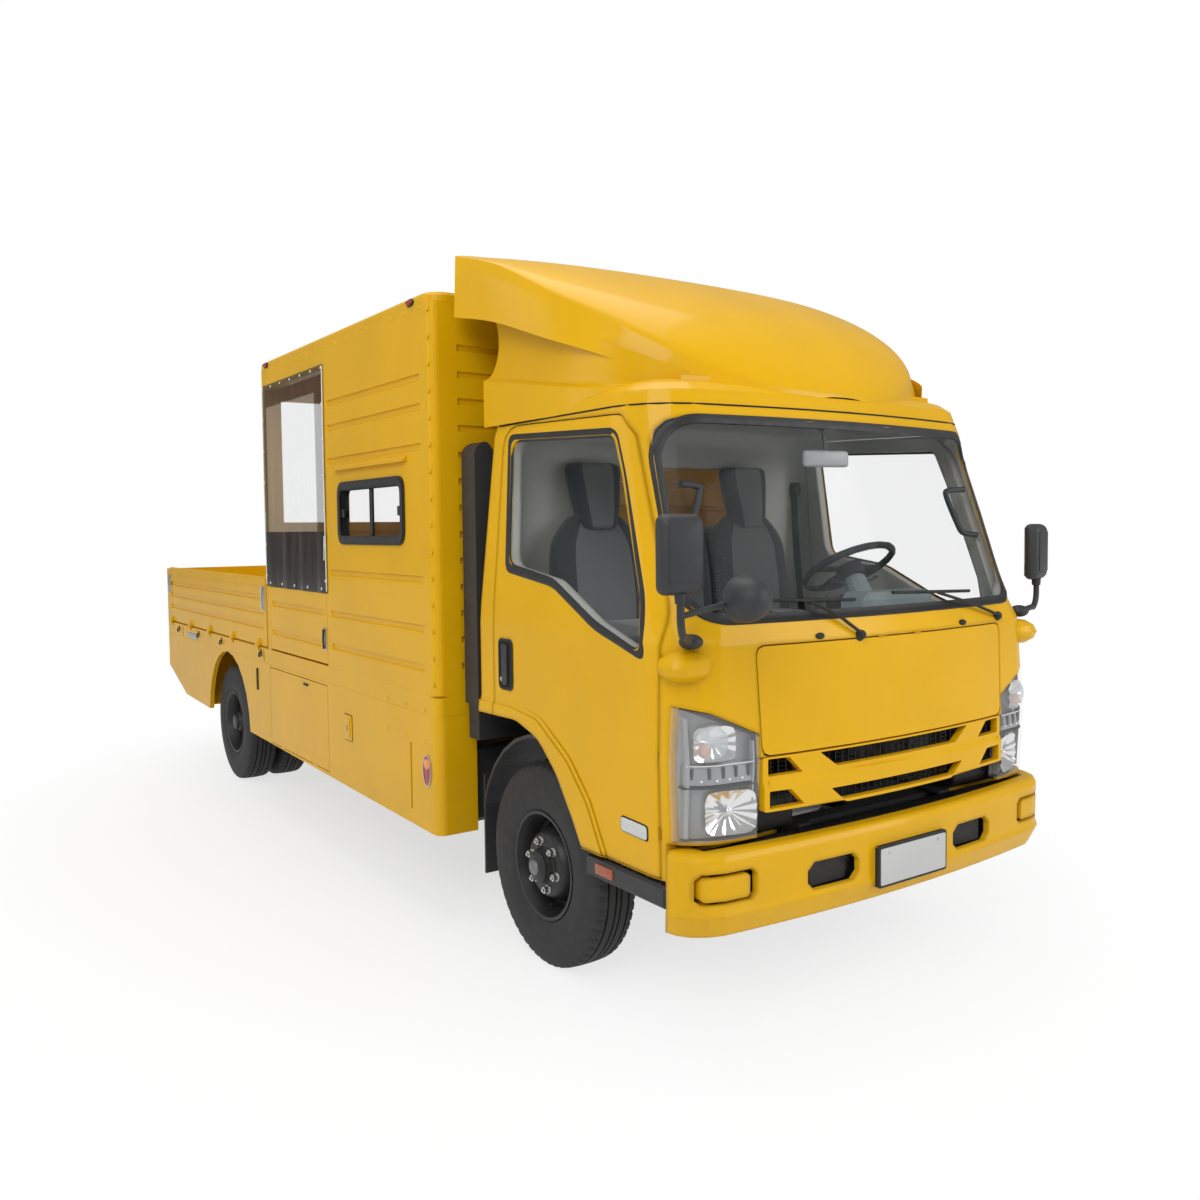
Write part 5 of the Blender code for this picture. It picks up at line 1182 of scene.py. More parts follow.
    def front(self, side: Side) -> None:
        """Front wheel: outset disc, raised hub with a cap, six nuts.

        Args:
            side: Side of the truck.
        """
        s, letter = side.value, side.letter
        outer = self.front_middle + self.width / 2
        inner = outer - self.width
        drop = (inner + outer) / 2
        face = outer - 0.020
        shape = Shape(self.palette, f"front_rim_{letter}_steel", "wheel_enamel")
        self.turned(shape, side, self.barrel(inner, outer), 0.0, 96)
        dish = [(inner + 0.060, 0.050), (inner + 0.060, 0.098), (drop - 0.010, 0.124),
                (drop - 0.010, 0.191), (drop + 0.004, 0.191), (drop + 0.0095, 0.176), (drop + 0.014, 0.158),
                (face - 0.024, 0.139), (face - 0.006, 0.129), (face, 0.119), (face, 0.078),
                (face + 0.004, 0.073), (outer + 0.008, 0.066), (outer + 0.010, 0.050)]
        self.turned(shape, side, dish, 0.0, 96)
        rim = shape.done(f"front_wheel_{letter}", 30.0)
        self.holes(rim, side, drop + 0.012, 0.0, 0.160, 0.0165, 8)
        trim = Shape(self.palette, f"front_hub_{letter}", "wheel_enamel")
        boss = [(0.006, 0.0), (0.006, 0.064), (0.014, 0.064), (0.022, 0.056), (0.026, 0.040), (0.027, 0.0)]
        self.turned(trim, side, [(outer + a, b) for a, b in boss], 0.0, 64)
        trim.use("hub_cap")
        cap = [(0.020, 0.0), (0.020, 0.034), (0.032, 0.032), (0.038, 0.026), (0.040, 0.014), (0.0402, 0.0)]
        self.turned(trim, side, [(outer + a, b) for a, b in cap], 0.0, 48)
        trim.use("zinc")
        self.studs(trim, side, face, 0.0, 0.0985, 6, 0.0155)
        trim.use("soft_black")
        trim.tube([(s * (drop + 0.012), 0.0, self.radius - 0.186),
                   (s * (drop + 0.030), 0.0, self.radius - 0.180),
                   (s * (drop + 0.052), 0.0, self.radius - 0.172)], 0.004, 8)
        trim.done(f"front_wheel_{letter}")
        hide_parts(f"front_rim_{letter}")

    def rear(self, side: Side) -> None:
        """Rear twin wheels: dished outer disc with its hub and six nuts.

        Args:
            side: Side of the truck.
        """
        letter, y, outer = side.letter, self.wheelbase, self.rear_face
        inner = outer - self.width
        low_out, low_in = inner - self.twin_gap, inner - self.twin_gap - self.width
        middle = (inner + low_out) / 2
        drop = (inner + outer) / 2 - middle
        shape = Shape(self.palette, f"rear_rim_{letter}_steel", "wheel_enamel")
        for near, far in ((inner, outer), (low_in, low_out)):
            self.turned(shape, side, self.barrel(near, far), y, 96)
        disc = [(middle - drop * 0.5, 0.050), (middle - drop * 0.5, 0.189),
                (middle - drop * 0.5 + 0.012, 0.189),
                (middle, 0.142), (middle + drop - 0.014, 0.168), (middle + drop - 0.008, 0.190),
                (middle + drop + 0.006, 0.190), (middle + drop + 0.004, 0.168), (middle + 0.020, 0.128),
                (middle + 0.014, 0.122), (middle + 0.014, 0.050)]
        self.turned(shape, side, disc, y, 96)
        rim = shape.done(f"rear_wheel_{letter}", 30.0)
        self.holes(rim, side, middle + drop - 0.02, y, 0.150, 0.0165, 8)
        trim = Shape(self.palette, f"rear_hub_{letter}", "wheel_enamel")
        hub = [(middle, 0.0), (middle, 0.078), (middle + 0.020, 0.078), (outer - 0.046, 0.070),
               (outer - 0.034, 0.062), (outer - 0.030, 0.056), (outer - 0.012, 0.052),
               (outer - 0.0085, 0.044), (outer - 0.0085, 0.0)]
        self.turned(trim, side, hub, y, 64)
        trim.use("zinc")
        self.studs(trim, side, middle + 0.014, y, 0.1000, 6, 0.0155)
        trim.done(f"rear_wheel_{letter}")
        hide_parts(f"rear_rim_{letter}")

    def build(self) -> None:
        """All six tyres and four rims."""
        for side in Side:
            letter, body = side.letter, f"rear_wheel_{side.letter}"
            outer = self.front_middle + self.width / 2
            self.tyre(f"front_tyre_{letter}", side, outer - self.width, outer, 0.0, f"front_wheel_{letter}")
            near = self.rear_face - self.width
            self.tyre(f"rear_tyre_outer_{letter}", side, near, self.rear_face, self.wheelbase, body)
            far = near - self.twin_gap
            self.tyre(f"rear_tyre_inner_{letter}", side, far - self.width, far, self.wheelbase, body)
            self.front(side)
            self.rear(side)


@dataclass(frozen=True)
class Lens:
    """Lens of one headlamp, behind which its inner parts are placed."""

    skin: Skin
    sign: int

    def behind(self, x: float, z: float, depth: float) -> Vector:
        """Point at a depth behind the lens."""
        return self.skin.front(self.sign * x, z) + Vector((-self.sign * 0.25 * depth, depth, 0))

    def strip(self, shape: Shape, start: float, end: float, section: Sequence[Point]) -> None:
        """Bar across the lamp."""
        shape.ribbon([[self.behind(x, z, depth) for x in spread(start, end, 12)] for z, depth in section])


@dataclass(frozen=True)
class CabFront:
    """Lamps, mask slots, painted shade behind the bumper's openings, wipers and the small fittings of the
    nose.
    """

    palette: Palette

    def dish(self, shape: Shape, base: Vector, ahead: Vector, half: Point, depth: float,
             flutes: int) -> None:
        """Reflector bowl with a rounded square rim and fluted facets.

        Args:
            shape: Piece that takes it.
            base: Its deepest point.
            ahead: Where it looks.
            half: Half width and half height of the rim.
            depth: Its depth.
            flutes: Facets round it.
        """
        right = ahead.cross(Vector((0, 0, 1))).normalized()
        up = right.cross(ahead)
        part = bmesh.new()
        sides, rings = flutes * 4, []
        for share in (0.14, 0.34, 0.55, 0.74, 0.89, 1.0):
            ring = []
            for k in range(sides):
                angle = math.tau * k / sides
                c, d = math.cos(angle), math.sin(angle)
                reach = share / (abs(c) ** 5 + abs(d) ** 5) ** 0.2
                flute = 0.0022 * share * (1 if k % 4 in (1, 2) else -1)
                spot = base + right * (c * half[0] * reach) + up * (d * half[1] * reach)
                ring.append(part.verts.new(spot + ahead * (depth * share ** 2 + flute)))
            rings.append(ring)
        bridge(part, rings, looped=True)
        part.faces.new(rings[0])
        shape.seal(part)

    def lamp(self, side: Side) -> None:
        """Inside of a headlamp: grey housing, dome with indicator bulb, day strip and main-beam bowl.

        Args:
            side: Side of the truck.
        """
        lens = Lens(Skin(f"headlamp_{side.letter}"), side.value)
        shape = Shape(self.palette, f"headlamp_inside_{side.letter}", "lamp_housing")
        left, right, bottom = 0.690, 0.953, 0.742
        part = bmesh.new()
        rows = []
        for share in spread(0.0, 1.0, 18):
            tops = [(x, 1.082 + (x - left) * 0.42) for x in spread(left, right, 16)]
            rows.append([part.verts.new(lens.behind(x, bottom + (top - bottom) * share, 0.042))
                         for x, top in tops])
        bridge(part, rows)
        shape.join(part)
        ahead = Vector((side.value * 0.30, -1, 0.02)).normalized()
        shape.use("bright")
        self.dish(shape, lens.behind(0.785, 0.829, 0.041), ahead, (0.096, 0.076), 0.030, 14)
        shape.ball(lens.behind(0.785, 0.829, 0.034), (0.013, 0.012, 0.013), 18)
        self.dish(shape, lens.behind(0.850, 1.070, 0.041), ahead, (0.078, 0.060), 0.022, 12)
        shape.use("amber")
        shape.ball(lens.behind(0.878, 1.048, 0.024), (0.018, 0.012, 0.024), 20)
        shape.use("bulb_glass")
        shape.ball(lens.behind(0.850, 1.070, 0.034), (0.082, 0.026, 0.065), 32)
        shape.use("bright")
        lens.strip(shape, 0.702, 0.940, ((0.998, 0.010), (1.0015, 0.010), (1.0015, 0.036), (0.998, 0.036)))
        shape.use("lamp_housing")
        lens.strip(shape, 0.700, 0.944, ((0.934, 0.012), (0.996, 0.022), (0.996, 0.038), (0.934, 0.038)))
        shape.use("lamp_dark")
        for k in range(5):
            x = 0.722 + 0.050 * k
            shape.box(lens.behind(x - 0.0030, 0.952, 0.030), lens.behind(x + 0.0030, 0.990, 0.013), 0.001)
        shape.use("white_light")
        for k in range(4):
            shape.ball(lens.behind(0.747 + 0.050 * k, 0.947, 0.012), (0.0055, 0.004, 0.0042), 12)
        shape.use("seam_black")
        lens.strip(shape, 0.696, 0.948, ((0.921, 0.006), (0.926, 0.006), (0.926, 0.038), (0.921, 0.038)))
        shape.use("lamp_grey")
        for x0, x1, high in ((0.930, 0.940, 1.16), (0.700, 0.706, 1.07)):
            shape.ribbon([[lens.behind(x, z, depth) for z in spread(0.750, high, 12)] for x, depth in
                          ((x0, 0.008), (x1, 0.010), (x1, 0.030), (x0, 0.034))])
        shape.done("truck")

    def fascia(self) -> None:
        """Mask under the front lid: two wide slots, four side vents and the dark ribbing behind them."""
        low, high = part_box("grille")
        base = at(0, 0, 0)
        half, top, bottom = high.x - 0.004, high.z - base.z - 0.002, low.z - base.z + 0.004
        outer = rounded([(-half, bottom + 0.030), (half, bottom + 0.030), (half, top), (-half, top)], 0.010)
        holes = []
        for a, b, z0, z1 in ((0.335, 0.418, 0.942, 1.000), (0.300, 0.372, 0.808, 0.866)):
            holes.append(rounded([(-a, z0), (a, z0), (b, z1), (-b, z1)], 0.010))
        for s in (-1, 1):
            for z in (0.940, 0.829):
                points = [(s * 0.648, z), (s * 0.496, z), (s * 0.555, z + 0.059), (s * 0.648, z + 0.061)]
                holes.append(rounded(points if s > 0 else points[::-1], 0.006))
        loops = [[Vector((x, z, 0)) for x, z in loop] for loop in [outer, *holes]]
        flat = [p for loop in loops for p in loop]
        part = bmesh.new()
        verts = [part.verts.new((p.x, 0.0, p.y)) for p in flat]
        for corner in tessellate_polygon(loops):
            part.faces.new([verts[k] for k in corner])
        back = bmesh.ops.extrude_face_region(part, geom=part.faces[:])["geom"]
        for v in (g for g in back if isinstance(g, bmesh.types.BMVert)):
            v.co.y += 0.030
        cuts = [((k * 0.034, 0, 0), (1, 0, 0)) for k in range(-20, 21)]
        for spot, normal in cuts + [((0, 0, z), (0, 0, 1)) for z in (0.905, 0.925)]:
            bmesh.ops.bisect_plane(part, geom=part.verts[:] + part.edges[:] + part.faces[:], plane_co=spot,
                                   plane_no=normal)
        for v in part.verts:
            belt = 0.008 * (0.925 - v.co.z > 0.0)
            v.co.y += -1.0785 + 0.095 * v.co.x ** 2 - belt
        shape = Shape(self.palette, "fascia", "body_yellow")
        shape.seal(part)
        piece = shape.done("truck", 25.0)
        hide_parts("grille")
        dark = Shape(self.palette, "fascia_ribs", "soft_black")
        for k in range(-40, 40):
            x0, x1 = k * 0.0165, k * 0.0165 + 0.0165
            y0, y1 = (-1.042 + 0.095 * x * x for x in (x0, x1))
            for z in spread(0.815, 0.995, 12) if k % 4 else ():
                dark.bar((x0, y0, z), (x1, y1, z), 0.0016, None, 4)
            if k % 2:
                dark.bar((x0, y0 - 0.004, bottom + 0.035), (x0, y0 - 0.004, top - 0.012), 0.0024, None, 6)
        dark.done("truck")

    def plate(self) -> None:
        """Blank number plate on its carrier."""
        skin = Skin("front_bumper")
        front = skin.front(0.0, 0.556).y
        shape = Shape(self.palette, "plate_blank", "soft_black")
        shape.prism(panel((-0.194, 0.479), (0.194, 0.634), 0.012), "Y", front - 0.007, front + 0.012, 0.002)
        shape.use("plate_grey")
        shape.prism(panel((-0.184, 0.489), (0.184, 0.624), 0.008), "Y", front - 0.0095, front - 0.006,
                    0.001)
        shape.use("zinc")
        for x in (-0.140, 0.140):
            shape.lathe([(0.0, 0.0), (0.0, 0.006), (0.003, 0.005), (0.0035, 0.0)],
                        (x, front - 0.0095, 0.606),
                        (0, -1, 0), 16)
        shape.done("truck")

    def wiper(self, shape: Shape, foot: Point, low: Point, high: Point, ends: tuple[Point, Point]) -> None:
        """One wiper: spindle, arm and blade on the glass.

        Args:
            shape: Piece that takes it.
            foot: Where the spindle stands.
            low: Point of the arm near the spindle.
            high: Where the arm meets the blade.
            ends: Ends of the blade.
        """
        foot, high = Vector(foot), Vector(high)
        shape.lathe([(-0.010, 0.0), (-0.010, 0.020), (0.012, 0.017), (0.018, 0.012), (0.020, 0.0)], foot,
                    (0, -0.9, 0.42), 24)
        shape.tube([foot + Vector((0, -0.012, 0.004)), Vector(low),
                    (Vector(low) + high) / 2 + Vector((0, -0.010, 0)),
                    high + Vector((0, -0.006, 0))], 0.0088, 10, flat=0.7)
        start, end = Vector(ends[0]), Vector(ends[1])
        shape.tube([start, (start + end) / 2 + Vector((0, -0.004, 0)), end], 0.0065, 8)
        shape.tube([start * 0.72 + end * 0.28 + Vector((0, -0.006, 0.002)),
                    high + Vector((0, -0.012, 0.002)),
                    start * 0.28 + end * 0.72 + Vector((0, -0.006, 0.002))], 0.0045, 8)
        shape.tube([start + Vector((0, 0.006, 0)), end + Vector((0, 0.006, 0))], 0.0022, 6)

    def wipers(self) -> None:
        """Two wipers that sweep from the cowl, and two washer jets."""
        shape = Shape(self.palette, "wipers", "soft_black")
        glass = Skin("windscreen", "cab_shell", "front_lid")
        for foot_x, tip_x, start_x, end_x, foot_z in ((-0.213, -0.424, -0.700, -0.190, 1.402),
                                                      (0.676, 0.275, 0.020, 0.520, 1.418)):
            foot = glass.front(foot_x, foot_z, 0.004)
            high = glass.front(tip_x, 1.530, 0.018)
            mid_x = foot_x * 0.6 + tip_x * 0.4
            low = glass.front(mid_x, 1.462, 0.024)
            ends = (glass.front(start_x, 1.544, 0.0085), glass.front(end_x, 1.528, 0.0085))
            self.wiper(shape, foot, low, high, ends)
        for x in (-0.403, 0.403):
            base = glass.front(x, 1.408, 0.0)
            shape.ball(base + Vector((0, -0.002, 0.004)), (0.020, 0.012, 0.012), 16)
        shape.done("truck")

    def trims(self) -> None:
        """Painted shade: black walls behind the bumper's two small openings."""
        skin = Skin("front_bumper")
        shape = Shape(self.palette, "bumper_opening_shade", "soft_black")
        for s in (-1, 1):
            back = skin.front(s * 0.39, 0.70).y + 0.030
            shape.box((s * 0.300, back, 0.530), (s * 0.482, back + 0.010, 0.622))
        shape.done("truck")

    def screen_seal(self) -> None:
        """Black rubber and printed border round the windscreen."""
        skin = Skin("cab_shell", "windscreen")
        shape = Shape(self.palette, "windscreen_seal", "seal_black")
        loops = []
        for grow, lift in ((-0.022, -0.006), (-0.022, 0.0020), (-0.008, 0.0030), (-0.003, 0.0055),
                           (0.009, 0.0050),
                           (0.012, 0.0006), (0.008, -0.006)):
            line = rounded([(-0.915 - grow, 1.478 - grow), (0.915 + grow, 1.478 - grow),
                            (0.872 + grow, 2.195 + grow), (-0.872 - grow, 2.195 + grow)], 0.17 + grow, 12)
            dense = []
            for k, (a, b) in enumerate(line):
                c, d = line[(k + 1) % len(line)]
                cuts = 16 if k % 13 == 12 else 1
                dense += [(a + (c - a) * j / cuts, b + (d - b) * j / cuts) for j in range(cuts)]
            loops.append([skin.front(a, b, lift) for a, b in dense])
        shape.loft_ring(loops)
        shape.done("truck", 60.0)

    def build(self) -> None:
        """Every fitting of the nose."""
        self.screen_seal()
        for side in Side:
            self.lamp(side)
        self.fascia()
        self.plate()
        self.wipers()
        self.trims()


@dataclass(frozen=True)
class CabSides:
    """Window seals, handles, lamps, roof seam, steps and mirror glass."""

    palette: Palette

    WINDOW: ClassVar[list[Point]] = [(-0.765, 1.365), (-0.745, 1.560), (-0.600, 1.985), (-0.535, 2.140),
                                     (0.215, 2.175), (0.175, 1.650), (-0.180, 1.600), (-0.480, 1.455)]

    def outline(self, grow: float) -> list[Point]:
        """Door window's outline, grown all round.

        Args:
            grow: Distance that it grows outwards.

        Returns:
            The grown outline.
        """
        g = grow
        moves = [(-g, -g), (-g, 0), (-g * 0.8, g * 0.3), (-g * 0.5, g), (g, g), (g, -g), (0, -g), (0, -g)]
        return rounded([(a + c, b + d) for (a, b), (c, d) in zip(self.WINDOW, moves)], 0.045, 5)

    def window_seal(self, side: Side) -> None:
        """Black rubber round the door glass, laid on the skin.

        Args:
            side: Side of the truck.
        """
        s, letter = side.value, side.letter
        skin = Skin(f"cab_door_{letter}")
        shape = Shape(self.palette, f"door_seal_{letter}", "seal_black")
        rings = []
        for grow, lift in ((-0.010, -0.006), (0.004, 0.0030), (0.020, 0.0034), (0.026, 0.0002),
                           (0.024, -0.004)):
            loop = []
            for y, z in self.outline(grow):
                loop.append(Vector((s * (skin.width(s, *self._onto(y, z, grow)) + lift), y, z)))
            rings.append(loop)
        shape.loft_ring(rings)
        shape.done(f"door_{letter}", 50.0)

    def _onto(self, y: float, z: float, grow: float) -> Point:
        """Point a little outside the opening, where the door's skin can be met.

        Args:
            y: Place along the truck.
            z: Height.
            grow: Distance that it grows outwards.

        Returns:
            Its y and z.
        """
        cy, cz = -0.20, 1.86
        reach = max(0.0, 0.028 - grow)
        away = Vector((y - cy, z - cz)).normalized() * reach
        return y + away.x, min(z + away.y, 2.228)

    def handle(self, side: Side) -> None:
        """Recessed pull handle with its lock.

        Args:
            side: Side of the truck.
        """
        s, letter = side.value, side.letter
        skin = Skin(f"cab_door_{letter}")
        x = skin.width(s, 0.075, 1.235)
        shape = Shape(self.palette, f"door_handle_{letter}", "soft_black")
        cup = panel((0.117, 1.130), (0.237, 1.344), 0.030)
        small = panel((0.126, 1.139), (0.228, 1.335), 0.026)
        shape.frame(s, x, cup, small, -0.002, 0.0028)
        shape.use("seam_black")
        shape.plaque(s, x, (0.121, 1.134), (0.233, 1.340), 0.028, 0.0002, 0.0012)
        shape.use("grained_black")
        shape.plaque(s, x, (0.155, 1.150), (0.199, 1.322), 0.016, 0.001, 0.0120, 0.005)
        shape.use("zinc")
        lock = [(0.0, 0.0), (0.0, 0.010), (0.0022, 0.0095), (0.0022, 0.0)]
        shape.lathe(lock, (s * (x + 0.001), 0.214, 1.172), (s, 0, 0), 20)
        shape.done(f"door_{letter}")

    def side_lamp(self, side: Side) -> None:
        """Clear turn lamp low on the door.

        Args:
            side: Side of the truck.
        """
        s, letter = side.value, side.letter
        skin = Skin(f"cab_door_{letter}")
        shape = Shape(self.palette, f"side_lamp_{letter}", "soft_black")
        line = rounded([(-0.801, 0.716), (-0.639, 0.722), (-0.641, 0.779), (-0.800, 0.773)], 0.016)
        x, middle = skin.width(s, -0.72, 0.75), (-0.72, 0.747)
        shape.inlay(s, x, line, -0.002, 0.003, 0.001)
        shape.use("reflector_white")
        shape.inlay(s, x, shrunk(line, middle, (0.94, 0.84)), 0.0028, 0.0045, 0.0008)
        shape.use("lens_clear")
        shape.inlay(s, x, shrunk(line, middle, (0.96, 0.90)), 0.0046, 0.0085, 0.003)
        shape.done(f"door_{letter}")

    def roof_seam(self) -> None:
        """Black joint that runs round the cab above the doors and windscreen."""
        skin = Skin("cab_shell")
        shape = Shape(self.palette, "roof_seam", "seam_black")
        path = []
        for k in range(97):
            angle = math.pi * (-1.0 + 2.0 * k / 96) * 0.5 * 1.60
            aim = Vector((math.sin(angle), -math.cos(angle), 0))
            path.append(skin.hit(Vector((0, -0.20, 2.2430)) + aim * 2.0, -aim, 0.0006))
        shape.tube(path, 0.0036, 6)
        shape.done("truck")

    def mirror(self, side: Side) -> None:
        """Mirror head, its bent arm with clamps, and the round mirror on the right.

        Args:
            side: Side of the truck.
        """
        s, letter = side.value, side.letter
        head = Vector((-1.130, -1.165, 1.718)) if s < 0 else Vector((1.130, -0.900, 1.677))
        foot = Vector((-0.935, -0.975, 1.418)) if s < 0 else Vector((0.945, -0.938, 1.418))
        turn = Matrix.Rotation(math.radians(14 * s), 3, "Z")
        shape = Shape(self.palette, f"mirror_{letter}_head", "grained_black")
        part = bmesh.new()
        size = Matrix.Diagonal(Vector((0.162, 0.064, 0.258))).to_4x4()
        bmesh.ops.create_cube(part, size=1.0, matrix=size)
        for v in part.verts:
            if v.co.y < 0:
                v.co.x *= 0.86
                v.co.z *= 0.91
        bmesh.ops.bevel(part, geom=part.edges[:], offset=0.029, segments=6, profile=0.5, affect="EDGES",
                        clamp_overlap=True)
        bmesh.ops.transform(part, matrix=Matrix.Translation(head) @ turn.to_4x4(), verts=part.verts[:])
        shape.join(part)
        face = head + turn @ Vector((0, -0.0325, 0))
        shape.box(face - Vector((0.050, 0.0012, 0.085)), face + Vector((0.050, 0.0012, 0.090)), 0.001, turn)
        shape.use("bright")
        back = head + turn @ Vector((0, 0.0312, 0))
        shape.box(back - Vector((0.062, 0.0012, 0.108)), back + Vector((0.062, 0.0012, 0.108)), 0.0, turn)
        shape.use("frame_black")
        bottom = head - Vector((0, 0, 0.229))
        elbow = foot + (bottom - foot) * 0.85 - Vector((0, 0, 0.01))
        near = foot + (elbow - foot) * 0.80
        path = [foot, near, elbow, bottom + Vector((0, 0, 0.03)), head - Vector((0, 0, 0.085))]
        shape.tube(curve(path, 8), 0.0125, 14)
        shape.ball(foot + Vector((0, 0, 0.004)), (0.042, 0.040, 0.026), 24)
        shape.bar(head - Vector((0, 0, 0.150)), head - Vector((0, 0, 0.118)), 0.018, 0.020, 20)
        if s < 0:
            eye = Vector((-0.900, -1.225, 1.574))
            dome = [(0.055, 0.0)] + [(0.045 - 0.120 * k / 14, 0.076 * math.sqrt(1 - (k / 14) ** 2.4))
                                     for k in range(14)] + [(-0.075, 0.0)]
            shape.use("grained_black")
            shape.lathe(dome, eye, (0, 1, 0), 40)
            shape.use("bright")
            shape.lathe([(0.0445, 0.0), (0.0445, 0.070), (0.0550, 0.052), (0.0585, 0.0)], eye,
                        (0, 1, 0), 40)
            shape.use("frame_black")
            shape.tube(curve([head - Vector((0, 0, 0.189)), eye + Vector((-0.06, 0.035, -0.012)),
                              eye + Vector((0.01, 0.02, 0))], 6), 0.010, 12)
        piece = shape.done("truck")
        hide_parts(f"mirror_{letter}")

    def step(self, side: Side) -> None:
        """Tread bars and the amber reflector of the entry step.

        Args:
            side: Side of the truck.
        """
        s, letter = side.value, side.letter
        shape = Shape(self.palette, f"step_trim_{letter}", "grained_black")
        for k in range(5):
            y = -0.850 + k * 0.075
            shape.box((s * 0.760, y, 0.579), (s * 0.968, y + 0.022, 0.5835), 0.001)
        skin = Skin(f"fender_step_{letter}")
        x = skin.width(s, -0.52, 0.540)
        shape.use("amber_reflector")
        shape.plaque(s, x, (-0.582, 0.520), (-0.470, 0.560), 0.006, -0.001, 0.0035, 0.001)
        shape.done("truck")

    def build(self) -> None:
        """Every trim of both sides."""
        for side in Side:
            self.window_seal(side)
            self.handle(side)
            self.side_lamp(side)
            self.mirror(side)
            self.step(side)
        self.roof_seam()


@dataclass(frozen=True)
class Deflector:
    """Smooth skin of the roof deflector: crowned hood over a drawn-in collar."""

    palette: Palette

    HOOD: ClassVar[list[Point]] = [
        (0.557, 2.735, 3.000, 3.030, 1.010, 1.000), (0.240, 2.665, 2.900, 2.960, 0.990, 0.970),
        (-0.120, 2.545, 2.715, 2.835, 0.950, 0.915), (-0.380, 2.450, 2.570, 2.705, 0.860, 0.815),
        (-0.560, 2.350, 2.445, 2.575, 0.735, 0.685), (-0.690, 2.298, 2.355, 2.445, 0.540, 0.485),
        (-0.760, 2.286, 2.312, 2.360, 0.340, 0.295), (-0.785, 2.284, 2.292, 2.318, 0.170, 0.130)]
    COLLAR: ClassVar[list[Point]] = [
        (0.445, 0.930, 2.457, 0.905, 2.780), (0.100, 0.925, 2.405, 0.900, 2.690),
        (-0.300, 0.900, 2.345, 0.875, 2.530), (-0.520, 0.830, 2.318, 0.800, 2.440),
        (-0.640, 0.700, 2.303, 0.660, 2.370)]

    def hood_section(self, station: Vector, inset: float, lift: float = 0.0) -> list[Vector]:
        """Half section from the lower edge over the ridge to the crest.

        Args:
            station: Way, heights and half widths there.
            inset: How far inside the skin.
            lift: Height added to the crest line.

        Returns:
            Points of the right half.
        """
        y, low, ridge, crest, foot, shoulder = station
        low, ridge, crest = low + inset * 0.3, ridge - inset * 0.3, crest - inset
        foot, shoulder = foot - inset, shoulder - inset
        points = [Vector((foot, y, low))]
        for share in (0.33, 0.66):
            points.append(Vector((foot + (shoulder - foot) * share, y, low + (ridge - low) * share)))
        for k in range(20):
            angle = math.pi / 2 * k / 19
            bulge = math.cos(angle) ** 0.80
            points.append(Vector((shoulder * bulge, y, ridge + (crest - ridge) * math.sin(angle) + lift)))
        return points

    def hood(self, shape: Shape) -> None:
        """Crowned hood as one thin shell.

        Args:
            shape: Piece that takes it.
        """
        line = curve(self.HOOD, 7)
        sections = []
        for station in line:
            outer = self.hood_section(station, 0.0)
            inner = self.hood_section(station, 0.014)
            mirror_outer = [Vector((-p.x, p.y, p.z)) for p in outer[-2::-1]]
            mirror_inner = [Vector((-p.x, p.y, p.z)) for p in inner[:-1]]
            sections.append(outer + mirror_outer + mirror_inner + inner[::-1])
        shape.loft_ring(sections, closed=False)

    def collar(self, shape: Shape) -> None:
        """Base, ledge and neck under the hood, with the curved rear edge.

        Args:
            shape: Piece that takes it.
        """
        part = bmesh.new()
        heights = [("base", t) for t in (0.0, 0.5, 0.97)] + [("ledge", t) for t in (0.0, 0.5, 1.0)]
        heights += [("neck", t) for t in spread(0.08, 1.0, 9)]
        stations = curve(self.COLLAR, 8)
        front = stations[-1].copy()
        for s in (-1, 1):
            columns = []
            for kind, t in heights:
                rear = 0.445 if kind != "neck" else 0.360 + 0.080 * abs(2 * t - 1) ** 2.2
                column = []
                for station in stations:
                    way = (station[0] - front[0]) / (0.445 - front[0])
                    y = front[0] + (rear - front[0]) * way
                    base, ledge, neck, top = self._at(stations, y)
                    if kind == "base":
                        x, z = base, 2.246 + (ledge - 0.014 - 2.246) * t
                    elif kind == "ledge":
                        x, z = base + (neck - base) * t, ledge - 0.010 + 0.014 * math.sin(t * math.pi / 2)
                    else:
                        x, z = neck - 0.006, ledge + 0.004 + (top - ledge) * t
                    column.append(part.verts.new((s * x, y, z)))
                columns.append(column)
            bridge(part, columns)
        brow = []
        for x in spread(-1.0, 1.0, 25):
            base, ledge, neck, top = self._at(stations, front[0])
            y = front[0] - 0.050 * math.cos(x * math.pi / 2)
            brow.append([part.verts.new((x * base, y, z)) for z in (2.290, 2.303, top - 0.01)])
        bridge(part, brow)
        shape.seal(part)

    def _at(self, stations: list[Vector], y: float) -> tuple[float, float, float, float]:
        """Half widths and heights of the collar at y.

        Args:
            stations: Sections of the collar, from rear to front.
            y: Place along the truck.

        Returns:
            Half widths of base and neck, and heights of ledge and top, in the station's order.
        """
        for near, far in zip(stations, stations[1:]):
            if far[0] <= y <= near[0] or far is stations[-1]:
                share = min(1.0, max(0.0, (near[0] - y) / max(1e-6, near[0] - far[0])))
                there = near * (1 - share) + far * share
                return there[1], there[2], there[3], there[4]
        return tuple(stations[0][1:])

    def build(self) -> None:
        """The hood and the collar as one piece."""
        shape = Shape(self.palette, "deflector_skin", "body_yellow")
        self.hood(shape)
        self.collar(shape)
        piece = shape.done("truck", 50.0)
        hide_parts("roof_deflector")


